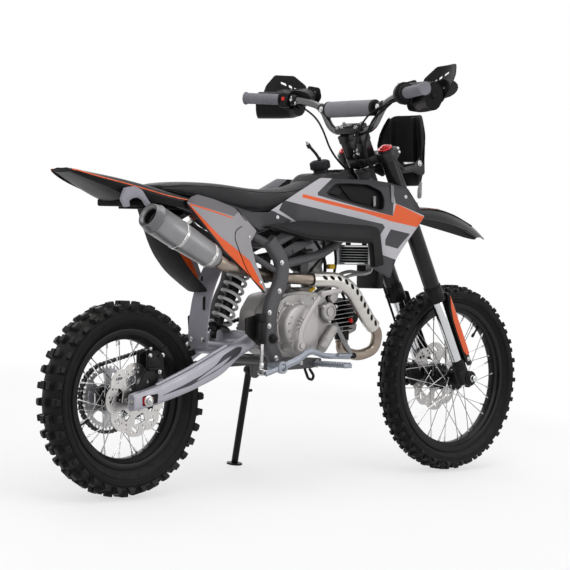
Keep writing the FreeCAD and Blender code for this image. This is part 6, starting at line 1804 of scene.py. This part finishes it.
def buildHandGuards():
    shells, arms = [], []
    outline = [(240, 1152), (250, 1176), (302, 1208), (380, 1213), (397, 1182), (397, 1150), (372, 1124),
        (342, 1104), (300, 1108), (250, 1116)]
    slots = [[(282, 1158), (300, 1165), (302, 1173), (284, 1166)],
        [(307, 1168), (323, 1174), (325, 1182), (309, 1176)],
        [(330, 1177), (354, 1186), (356, 1193), (333, 1185)]]
    cuts = [(1, y) for y in range(254, 396, 14)] + [(2, z) for z in range(1104, 1214, 14)]
    shell = slicedSheet(roundedPoints([(0, y, z) for y, z in outline], 6), cuts)
    for vertex in shell.data.vertices:
        vertex.co = shellSpot(vertex.co.y, vertex.co.z)
    tidyNormals(shell, 0.001)
    modify(shell, "SOLIDIFY", thickness=3.4, offset=0)
    bevelled(shell, 1.1, 2, 45)
    for slot in slots:
        shell = carved(shell, plate([(850, y, z) for y, z in slot], 90, (1, 0, 0), bevel=0, ease=2))
    brow = [shellSpot(y, z) + Vector((2.5, 0, 0)) for y, z in ((262, 1150), (300, 1146), (345, 1146),
        (384, 1158))]
    shells += [shell, pipe(brow, 3, share=0.4, sides=12, steps=6)]
    flap = plate([(903, y, z) for y, z in ((168, 1136), (176, 1166), (226, 1174), (236, 1150), (230, 1126),
        (184, 1118))], 3.4, (1, 0, 0), bevel=1, ease=8)
    flap = carved(flap, plate([(880, y, z) for y, z in ((190, 1150), (216, 1155), (217, 1161), (191, 1156))],
        50, (1, 0, 0), bevel=0, ease=2))
    shells.append(flap)
    arm = [Vector((854, 226, 1130)), Vector((884, 232, 1136)), Vector((902, 254, 1140)),
        Vector((908, 300, 1140)), Vector((902, 340, 1142))]
    arms.append(pipe(arm, 6, share=0.4, sides=18, steps=6, flat=(4.5, 9)))
    arms.append(rod(16, (846, 214, 1126), (842, 226, 1128), sides=32, bevel=2))
    arms.append(pipe([(884, 232, 1136), (900, 214, 1140), (902, 196, 1140)], 4.5, share=0.4, sides=14,
        steps=5))
    guards = joined(shells + arms)
    settle("handGuards", [guards, mirroredCopy(guards)], "steering", blackPlastic, ("hand_guards",))
    spots = [shellSpot(340, 1142) + Vector((-3, 0, 0)), shellSpot(300, 1140) + Vector((-3, 0, 0))]
    heads = joined([bolt(spot, (-1, 0, 0), 4.4, 3) for spot in spots])
    settleSteel("handGuardBolts", [heads, mirroredCopy(heads)], "steering")


def buildFrontFender():
    stations = [(1010, 36, 772, 8), (1051, 46, 794, 18), (1110, 56, 806, 30), (1200, 65, 808, 44),
        (1270, 63, 792, 42), (1360, 49, 758, 28), (1410, 32, 731, 16), (1436, 18, 718, 8)]
    rows = []
    for x, half, high, drop in stations:
        right = [(half, high - drop), (half * 0.93, high - drop * 0.62), (half * 0.72, high - drop * 0.26),
            (half * 0.66, high - drop * 0.1), (half * 0.36, high - drop * 0.04)]
        pairs = right + [(0, high)] + [(-y, z) for y, z in reversed(right)]
        rows.append([Vector((x, y, z)) for y, z in pairs])
    sheet = sheetOf(rows, 3, levels=2, offset=1)
    tidyNormals(sheet, 0.001)
    settle("frontFenderSheet", sheet, "steering", fenderGrey, ("front_fender",))
    lines, marks = [], []
    for side in (-1, 1):
        run = [Vector((x, side * half * 0.68, high - drop * 0.15)) for x, half, high, drop in stations
            if 1040 < x < 1400]
        lines.append(pipe(run, 2, share=0.4, sides=8, steps=4, flat=(1.2, 2.6)))
        marks.append(sheetOf(
            [[Vector((x, side * (0.64 * half - k * 7), high - drop * (0.1 - 0.02 * k) + 1.1))
            for k in (0, 1)] for x, half, high, drop in ((1120, 57.5, 806.6, 32), (1160, 61.5, 808, 38),
            (1212, 65, 806.6, 44))], 0.6, levels=0, bevel=0.1, offset=0))
    settle("frontFenderEdges", lines, "steering", glossBlack)
    settle("frontFenderMarks", marks, "steering", orangePaint)
    seats = [bolt(spot, (0, 0, 1), 6, 3) for spot in ((1070, -20, 800), (1070, 20, 800), (1110, -22, 806),
        (1110, 22, 806))]
    settleSteel("frontFenderBolts", seats, "steering")


def maskFace(y, z):
    # how far forward the mask's face lies, curved both ways
    return 1126 - 60 * (y / 110) ** 2 - 0.0005 * (z - 980) ** 2


def buildMask():
    outline = [(56, 872), (98, 962), (90, 1032), (62, 1086), (-62, 1086), (-90, 1032), (-98, 962), (-56, 872)]
    cuts = [(1, y) for y in range(-96, 100, 12)] + [(2, z) for z in range(884, 1084, 20)]
    shell = slicedSheet(roundedPoints([(0, y, z) for y, z in outline], 16), cuts)
    for vertex in shell.data.vertices:
        y, z = vertex.co.y, vertex.co.z
        vertex.co.x = maskFace(y, z) + 3 * math.exp(-((z - 1020) / 26) ** 2)
    tidyNormals(shell, 0.001)
    modify(shell, "SOLIDIFY", thickness=3.6, offset=0)
    bevelled(shell, 1.2, 2, 45)
    edge = []
    for side in (-1, 1):
        outer = [(57, 880), (97, 962), (89, 1032), (64, 1080)]
        rows = []
        for y, z in outer:
            x = maskFace(y, z)
            rows.append([Vector((x, side * y, z)), Vector((x - 6, side * (y + 1.5), z)),
                Vector((x - 12, side * (y + 1), z))])
        edge.append(sheetOf(rows, 3, levels=1, offset=0))
    ribs = [plate(sideView([(1076, 1076), (1092, 1078), (1108, 910), (1088, 900)], y - 1.5), 3, bevel=0.8,
        ease=4) for y in (-46, 46)]
    settle("numberMask", [shell] + edge + ribs, "steering", blackPlastic, ("number_mask",))
    stays, heads = [], []
    for side in (-1, 1):
        stays.append(plate(sideView([(998, 906), (996, 922), (1052, 934), (1082, 962), (1094, 962),
            (1096, 908), (1084, 900), (1050, 912)], side * legSpread - 3), 6, bevel=1.2, ease=5))
        stays.append(rod(6, forkPoint(legN + 20, side * legSpread, 742), (1010, side * legSpread, 914),
            sides=20, bevel=1))
        heads.append(bolt((1072, side * 86, 938), (0, side, 0), 6.5, 4))
    settle("maskStays", stays, "steering", clampBlack)
    rods = joined([rod(4, (1012, side * 76, 936), (1060, side * 76, 940), sides=20, bevel=1)
        for side in (-1, 1)] + heads)
    settleSteel("maskBolts", rods, "steering")
    strap = plate([(1083, y, z) for y, z in ((-84, 884), (-76, 884), (-66, 860), (-66, 836), (-72, 832),
        (-82, 834), (-84, 846))], 3, (1, 0, 0), bevel=1, ease=5)
    settle("maskTag", strap, "steering", stickerWhite)


def buildFrontCaliper():
    parts = [forkBox((-110, 43, 26), (-60, 56, 80), 4), forkBox((-108, 68, 24), (-60, 85, 80), 4),
        forkBox((-84, 50, 74), (-58, 80, 82), 3), forkBox((-66, 76, 30), (-40, 84, 66), 2)]
    for w in (40, 64):
        parts.append(rod(10, forkPoint(-86, 84, w), forkPoint(-86, 88, w), sides=32, bevel=1.5))
    settle("frontCaliper", parts, "steering", satinBlack, ("front_caliper",))
    heads = joined([bolt(forkPoint(n, 84, w), (0, 1, 0), 4.5, 4) for n, w in ((-50, 38), (-50, 58),
        (-104, 52))] + [rod(5, forkPoint(-74, 72, 81), forkPoint(-74, 72, 92), sides=24, bevel=1)])
    settleSteel("frontCaliperBolts", heads, "steering")
    line = [forkPoint(-74, 72, 90), forkPoint(-76, 76, 130), forkPoint(-50, 90, 200), forkPoint(-50, 88, 300),
        forkPoint(-50, 86, 440), forkPoint(-50, 84, 556)]
    hose = curved(line, 3.6, sides=4, steps=10)
    upper = curved([forkPoint(-60, -60, 740), forkPoint(-104, -60, 780), (846, -96, 1052), (856, -150, 1090),
        (852, -196, 1116), (864, -218, 1134)], 3.4, sides=4, steps=10)
    second = curved([forkPoint(-62, 60, 742), forkPoint(-96, 62, 800), (850, 110, 1050), (854, 168, 1094),
        (846, 222, 1118)], 3, sides=4, steps=10)
    third = curved([forkPoint(-70, -30, 740), forkPoint(-118, -34, 790), (838, -70, 1060), (846, -160, 1104),
        (846, -232, 1114)], 2.8, sides=4, steps=10)
    clips = joined([alongFork(-49, 87, w, w + 8, 6.4, 20, 1) for w in (300, 440)])
    settle("forkHoses", [hose, upper, second, third, clips], "steering", hoseBlack)


buildClamps()
buildFork()
buildGuards()
buildBar()
print("fork and bar made")
buildHandGuards()
buildFrontFender()
buildMask()
buildFrontCaliper()
print("steering made")


# Chain drive, on the left: toothed sprocket and linked chain
chainPitch, chainAcross, rearTeeth = 12.7, 62, 41


def loopSpot(distance):
    # a place on the chain's middle line and its direction there
    run = driveSpot - rearSpot
    span = run.length
    along = run / span
    across = Vector((-along.z, 0, along.x))
    swing = math.acos((rearRadius - driveRadius) / span)

    def rim(centre, radius, angle):
        return centre + (along * math.cos(angle) + across * math.sin(angle)) * radius
    top = rim(driveSpot, driveRadius, swing) - rim(rearSpot, rearRadius, swing)
    parts = [top.length, driveRadius * 2 * swing, top.length, rearRadius * (math.tau - 2 * swing)]
    if distance is None:
        return sum(parts)
    distance %= sum(parts)
    if distance < parts[0]:
        return rim(rearSpot, rearRadius, swing) + top * (distance / parts[0])
    distance -= parts[0]
    if distance < parts[1]:
        return rim(driveSpot, driveRadius, swing - distance / driveRadius)
    distance -= parts[1]
    if distance < parts[2]:
        start = rim(driveSpot, driveRadius, -swing)
        return start + (rim(rearSpot, rearRadius, -swing) - start) * (distance / parts[2])
    return rim(rearSpot, rearRadius, -swing - (distance - parts[2]) / rearRadius)


def linkPlate(pitch, y, thick):
    outline = [(-5, -2.2), (-3, -4.8), (2, -4.8), (pitch / 2, -3.2), (pitch - 2, -4.8), (pitch + 3, -4.8),
        (pitch + 5, -2.2), (pitch + 5, 2.2), (pitch + 3, 4.8), (pitch - 2, 4.8), (pitch / 2, 3.2), (2, 4.8),
        (-3, 4.8), (-5, 2.2)]
    return plate(sideView(outline, y), thick, bevel=0)


def buildChain():
    total = loopSpot(None)
    count = 2 * round(total / chainPitch / 2)
    pitch = total / count
    kinds = []
    for half in (4.2, 6.1):
        parts = [linkPlate(pitch, half - 1, 1.6), linkPlate(pitch, -half - 0.6, 1.6)]
        if half < 5:
            parts += [crossRod(3.9, x, 0, -3.2, 3.2, 0, 12) for x in (0, pitch)]
        else:
            parts += [crossRod(1.9, x, 0, -7, 7, 0, 10) for x in (0, pitch)]
        kinds.append(joined(parts))
    links = []
    for k in range(count):
        a, b = loopSpot(k * pitch), loopSpot((k + 1) * pitch)
        run = (b - a).normalized()
        turn = Matrix(((run.x, 0, -run.z, a.x), (0, 1, 0, chainAcross), (run.z, 0, run.x, a.z), (0, 0, 0, 1)))
        links.append(copied(kinds[k % 2], turn))
    for kind in kinds:
        bpy.data.objects.remove(kind)
    settle("driveChain", links, "chassis", chainSteel, ("chain",))
    outline = []
    for k in range(rearTeeth):
        for step, radius in ((0, 79.5), (0.22, 81.5), (0.4, 87.5), (0.5, 88.3), (0.6, 87.5), (0.78, 81.5)):
            angle = math.tau * (k + step) / rearTeeth
            outline.append(Vector((math.cos(angle) * radius, 59.5, 268 + math.sin(angle) * radius)))
    wheel = plate(outline, 5, bevel=0)
    window = plate(sideView([(44, 254), (68, 247), (72, 268), (68, 289), (44, 282)], 50), 24, bevel=0, ease=5)
    wheel = carved(wheel, ringOf(window, 6, rearSpot))
    wheel = carved(wheel, crossRod(30, 0, 268, 50, 74, 0, 48))
    bevelled(wheel, 0.35, 1, 50)
    settle("rearSprocket", wheel, "rear_wheel", sprocketSilver, ("sprocket",))
    heads = ringOf(bolt((38, 64.5, 268), (0, 1, 0), 4.4, 3.5), 6, rearSpot, start=math.radians(30))
    settleSteel("sprocketBolts", heads, "rear_wheel")


def buildRearBrake():
    parts = [box((56, 13, 46), (48, -81, 373), 4, 3), box((60, 15, 48), (46, -46, 373), 4, 3),
        box((30, 40, 12), (48, -64, 395), 3), crossRod(12, 48, 372, -88, -91, 1.5, 36)]
    arm = plate(sideView([(-18, 256), (-20, 284), (14, 346), (24, 352), (72, 352), (60, 324), (22, 258),
        (0, 248)], -82), 7, bevel=1.5, ease=6)
    arm = carved(arm, crossRod(13.5, 0, 268, -95, -60, 0))
    arm = carved(arm, crossRod(7, 26, 318, -95, -60, 0, 30))
    parts += [crossRod(15, 38, 372, -86, -92, 2), crossRod(9, 62, 384, -86, -92, 1.5, 32),
        box((14, 10, 30), (24, -86, 372), 3), box((52, 8, 8), (48, -86, 352), 2),
        rod(4, (70, -80, 400), (92, -78, 410), sides=20, bevel=1)]
    settle("rearCaliper", parts + [arm], "chassis", satinBlack, ("rear_caliper",))
    heads = joined([bolt((x, -88, z), (0, -1, 0), 4.5, 4) for x, z in ((26, 388), (70, 388), (60, 344))]
        + [rod(4, (48, -64, 400), (48, -64, 410), sides=24, bevel=0.8)])
    settleSteel("rearCaliperBolts", heads)


pegTeeth = 13


def buildControls():
    heel = plate(sideView([(339, 485), (385, 496), (414, 500), (414, 438), (398, 406), (388, 410),
        (342, 443)], -123), 4, bevel=1, ease=4)
    cutters = []
    for x, z in ((394, 478), (394, 454), (392, 430)):
        cutters.append(plate(sideView([(x - 8, z + 5), (x + 1, z + 3), (x + 5, z - 6), (x - 4, z - 4)], -130),
            18, bevel=0, ease=2))
    for row in range(6):
        for place in range(4 - row // 4):
            spot = Vector((350 + 7 * place + 3.5 * (row % 2), 0, 476 - 7 * row))
            cutters.append(rod(1.7, spot + left * -131, spot + left * -112, sides=10))
    heel = carved(heel, joined(cutters))
    settle("heelGuards", bothSides(heel), "chassis", blackPlastic, ("heel_guards",))
    heads = bothSides(joined([bolt((x, -123.4, z), (0, -1, 0), 4.2, 3) for x, z in ((404, 490), (402, 418))]))
    settleSteel("heelGuardBolts", heads)
    bracket = plate(sideView([(424, 338), (426, 357), (444, 352), (453, 350), (488, 371), (560, 372),
        (640, 367), (640, 345), (600, 339), (470, 335)], -118), 13, bevel=2.5, ease=5)
    settle("pegBrackets", bothSides(bracket), "chassis", frameGrey, ("footpegs",))
    rails = []
    for x in (604, 632):
        teeth = [(-124, 345), (-246, 345), (-249, 356)]
        for k in range(pegTeeth):
            y = -246 + (k + 0.5) * 120 / pegTeeth
            teeth += [(y - 3.2, 355), (y - 1.4, 360), (y + 1.4, 360), (y + 3.2, 355)]
        teeth.append((-122, 356))
        rails.append(plate([(x - 2.5, y, z) for y, z in teeth], 5, (1, 0, 0), bevel=0.6))
    rails += [box((30, 5, 12), (618, y, 350), 1.5) for y in (-247, -216, -186, -156, -128)]
    rails.append(crossRod(8, 618, 352, -108, -128, 1.5, 30))
    rails.append(box((22, 14, 15), (618, -122, 352), 3))
    settle("footpegs", bothSides(joined(rails)), "chassis", forgedGrey)
    pins = bothSides(joined([rod(4, (618, -122, 340), (618, -122, 364), sides=20, bevel=1),
        bolt((452, -118, 344), (0, -1, 0), 6, 4), bolt((560, -118, 356), (0, -1, 0), 5, 3.5)]))
    settleSteel("pegPins", pins)
    line = [Vector((x, -171, z)) for x, z in ((374, 331), (435, 348), (500, 369), (528, 386), (548, 391),
        (570, 386), (596, 377), (640, 374), (700, 371))]
    arm = pipe(line, 7, share=0.35, sides=20, flat=(1, 0.55), steps=6, radii=lambda part: 11.5 - 4 * part
        if part > 0.2 else 7 + 22 * part)
    hub = [crossRod(13, 435, 348, -166, -122, 2, 44),
        turned([(9, 0), (17, 0), (17.5, 2), (17.5, 13), (15, 15), (10.5, 15), (9.5, 13)], (435, -164, 348),
        (0, -1, 0), 44)]
    pad = [box((54, 22, 6), (672, -174, 377), 2)]
    pad += [box((3, 20, 3), (652 + k * 10, -174, 381), 0.8) for k in range(5)]
    settle("brakePedal", [arm] + hub + pad, "chassis", forgedGrey, ("brake_pedal",))
    # the hub's recess is a near-black disc of painted shade
    recess = joined([crossRod(9.6, 435, 348, -164, -170, 0, 36),
        crossRod(3.2, 435, 348, -174.6, -175.2, 0, 6)])
    settle("brakePedalRecessShade", recess, "chassis", paintedHoleShade)
    ends = joined([crossRod(6.5, 435, 348, -168, -174.8, 0.8, 28),
        rod(5, (380, -148, 424), (379, -148, 352), sides=20, bevel=1),
        rod(7, (379, -148, 362), (379, -148, 344), sides=6, bevel=0.8),
        crossRod(8, 378, 334, -164, -140, 1.5, 30)])
    settleSteel("brakeRod", ends)
    pump = joined([rod(13, (380, -140, 424), (382, -140, 474), sides=36, bevel=2),
        box((26, 22, 26), (383, -138, 486), 4, 3), rod(9, (380, -148, 414), (380, -148, 426), sides=30,
        bevel=2, endRadius=11)])
    settle("rearPump", pump, "chassis", satinBlack)
    lever = pipe([(560, 155, 402), (590, 155, 400), (620, 155, 396), (690, 155, 396)], 6, share=0.35,
        sides=18, flat=(0.85, 1.08), steps=5)
    collar = crossRod(12, 560, 402, 147, 163, 1.5, 36)
    shaft = crossRod(8, 560, 402, 47, 150, 1, 30)
    settle("gearLever", [lever, collar, shaft], "chassis", forgedGrey, ("gear_lever",))
    peg = crossRod(9, 686, 396, 148, 178, 2, 30)
    settle("gearPeg", peg, "chassis", gripRubber)


def buildStand():
    pivot, axis = Vector((590, 136, 322)), Vector((0, math.cos(math.radians(18.6)),
        math.sin(math.radians(18.6))))
    foot = Vector((655, 268, (268 - 12) * math.tan(math.radians(7))))
    normal = Vector((0, -math.sin(math.radians(7)), math.cos(math.radians(7))))
    run = (foot - pivot).normalized()
    leg = rod(10, pivot + run * 8, foot + normal * 5, sides=32, bevel=0)
    eye = rod(12.8, pivot - axis * 10.8, pivot + axis * 10.8, sides=40, bevel=1.5)
    pad = rod(23.6, foot + normal * 0.3, foot + normal * 6, sides=44, bevel=1.8)
    webs = plate([pivot + run * 4 + Vector((9, 0, 0)), pivot + run * 60 + Vector((7, 0, 0)),
        pivot + run * 60 - Vector((7, 0, 0)), pivot + run * 4 - Vector((9, 0, 0))], 3,
        run.cross(Vector((1, 0, 0))).normalized(), bevel=1)
    tang = rod(4.5, pivot + run * 70 + Vector((8, 0, 0)), pivot + run * 70 + Vector((24, 0, 0)), sides=20,
        bevel=1.5)
    settle("sideStandLeg", [leg, eye, pad, webs, tang], "side_stand", satinBlack, ("side_stand",))
    tab = plate(sideView([(574, 345), (608, 345), (603, 306), (590, 299), (578, 306)], 104.2), 13.5, bevel=2,
        ease=3)
    pin = [rod(6, pivot - axis * 23, pivot + axis * 12, sides=32, bevel=1),
        rod(9, pivot + axis * 11.6, pivot + axis * 16, sides=6, bevel=1)]
    settle("standTab", tab, "chassis", frameGrey)
    settleSteel("standBolt", pin)


def buildLines():
    strut = pipe([(742, -64, 466), (764, -64, 438), (790, -62, 402), (820, -60, 371)], 6.5, share=0.3,
        sides=20)
    settle("engineStrut", strut, "chassis", carbGrey)
    foot = joined([crossRod(9, 822, 367, -70, -50, 3, 36),
        pipe([(574, -118, 338), (574, -124, 326), (582, -124, 310), (598, -124, 306), (604, -124, 318),
        (592, -118, 338)], 4, share=0.4, sides=14)])
    settle("pegSpring", foot, "chassis", satinBlack)
    looms = [[(560, -70, 720), (540, -88, 690), (560, -84, 640), (600, -70, 610)],
        [(700, -60, 700), (690, -70, 660), (650, -74, 630), (630, -60, 600)],
        [(640, -66, 720), (660, -80, 690), (700, -70, 640), (705, -58, 600), (700, -50, 575)],
        [(480, -60, 740), (500, -84, 700), (520, -84, 640), (560, -60, 600), (600, -40, 590)],
        [(760, -30, 720), (770, -44, 660), (752, -50, 600), (740, -46, 560)]]
    pipes = [curved(line, radius, sides=4, steps=8) for line, radius in zip(looms, (4.5, 3.6, 5, 3.4, 4))]
    settle("chassisLooms", pipes, "chassis", hoseBlack)
    spark = [curved(((742, -34, 600), (764, -52, 572), (788, -60, 540), (800, -54, 512)), 4.2, sides=4,
        steps=8), rod(8, (800, -54, 514), (800, -50, 488), sides=28, bevel=2)]
    settle("sparkLead", spark, "chassis", hoseBlack)
    caps = joined([rod(7, (803, -66, 470), (806, -74, 472), sides=28, bevel=1.5),
        rod(6, (822, -40, 520), (826, -48, 520), sides=28, bevel=1.5)])
    settle("redCaps", caps, "chassis", redGloss)


buildChain()
buildRearBrake()
buildControls()
buildStand()
buildLines()
print("drive and controls made")


# The floor, the light and the end
floorSize = 30


def seenRays(tree):
    # 1 for the camera's own rays and for what it sees in gloss or through glass, else 0
    path = node(tree, "ShaderNodeLightPath")
    seen = counted(tree, "MAXIMUM", path.outputs["Is Camera Ray"], path.outputs["Is Glossy Ray"])
    return counted(tree, "MAXIMUM", seen, path.outputs["Is Transmission Ray"])


def buildStage():
    bpy.ops.mesh.primitive_plane_add(size=floorSize, location=(0, 0, 0))
    floor = bpy.context.active_object
    floor.name = "studioFloor"
    material = bpy.data.materials.new("studioFloor")
    material.use_nodes = True
    tree = material.node_tree
    shader = tree.nodes["Principled BSDF"]
    noise = node(tree, "ShaderNodeTexNoise", Scale=3.0)
    tree.links.new(mixed(tree, noise.outputs[0], (0.86, 0.86, 0.86, 1), (0.9, 0.9, 0.9, 1)),
        shader.inputs["Base Color"])
    shader.inputs["Roughness"].default_value = 0.6
    shader.inputs["Specular IOR Level"].default_value = 0.1
    # far from the bike the floor turns plain white for the camera, so no horizon shows
    place, split = node(tree, "ShaderNodeTexCoord"), node(tree, "ShaderNodeSeparateXYZ")
    tree.links.new(place.outputs["Object"], split.inputs[0])
    squares = [counted(tree, "POWER", split.outputs[n], 2.0) for n in (0, 1)]
    far = counted(tree, "SQRT", counted(tree, "ADD", *squares))
    fade = counted(tree, "MAXIMUM", counted(tree, "MULTIPLY_ADD", far, 0.9, -0.8, clamp=True), 0.62)
    glow, blend = node(tree, "ShaderNodeEmission", Strength=1.0), node(tree, "ShaderNodeMixShader")
    tree.links.new(counted(tree, "MULTIPLY", fade, seenRays(tree)), blend.inputs[0])
    tree.links.new(shader.outputs[0], blend.inputs[1])
    tree.links.new(glow.outputs[0], blend.inputs[2])
    tree.links.new(blend.outputs[0], tree.nodes["Material Output"].inputs["Surface"])
    floor.data.materials.append(material)
    world = bpy.data.worlds.new("studio")
    bpy.context.scene.world = world
    world.use_nodes = True
    tree = world.node_tree
    back = tree.nodes["Background"]
    place, split = node(tree, "ShaderNodeTexCoord"), node(tree, "ShaderNodeSeparateXYZ")
    tree.links.new(place.outputs["Generated"], split.inputs[0])
    upness = counted(tree, "MULTIPLY_ADD", split.outputs[2], 0.55, 0.35, clamp=True)
    glow = mixed(tree, upness, (0.12, 0.12, 0.124, 1), (0.68, 0.68, 0.7, 1))
    tree.links.new(mixed(tree, seenRays(tree), glow, (1, 1, 1, 1)), back.inputs["Color"])
    back.inputs["Strength"].default_value = 1.0


def lamp(name, spot, size, power, aim=(0, 0, 0.6)):
    light = bpy.data.lights.new(name, "AREA")
    light.shape = "RECTANGLE"
    light.size, light.size_y = size
    light.energy = power
    obj = bpy.data.objects.new(name, light)
    bpy.context.scene.collection.objects.link(obj)
    obj.location = spot
    obj.rotation_euler = (Vector(aim) - Vector(spot)).to_track_quat("-Z", "Y").to_euler()


buildStage()
lamp("topLight", (0.2, -0.4, 4.2), (5.0, 3.2), 95)
lamp("rearLight", (-4.2, -2.6, 2.6), (2.2, 2.6), 46)
lamp("sideLight", (2.6, -4.6, 2.2), (2.6, 2.4), 44)
lamp("farLight", (1.5, 4.5, 2.6), (3.2, 2.2), 30)
bpy.context.scene.view_settings.view_transform = "Standard"
print("scene made")
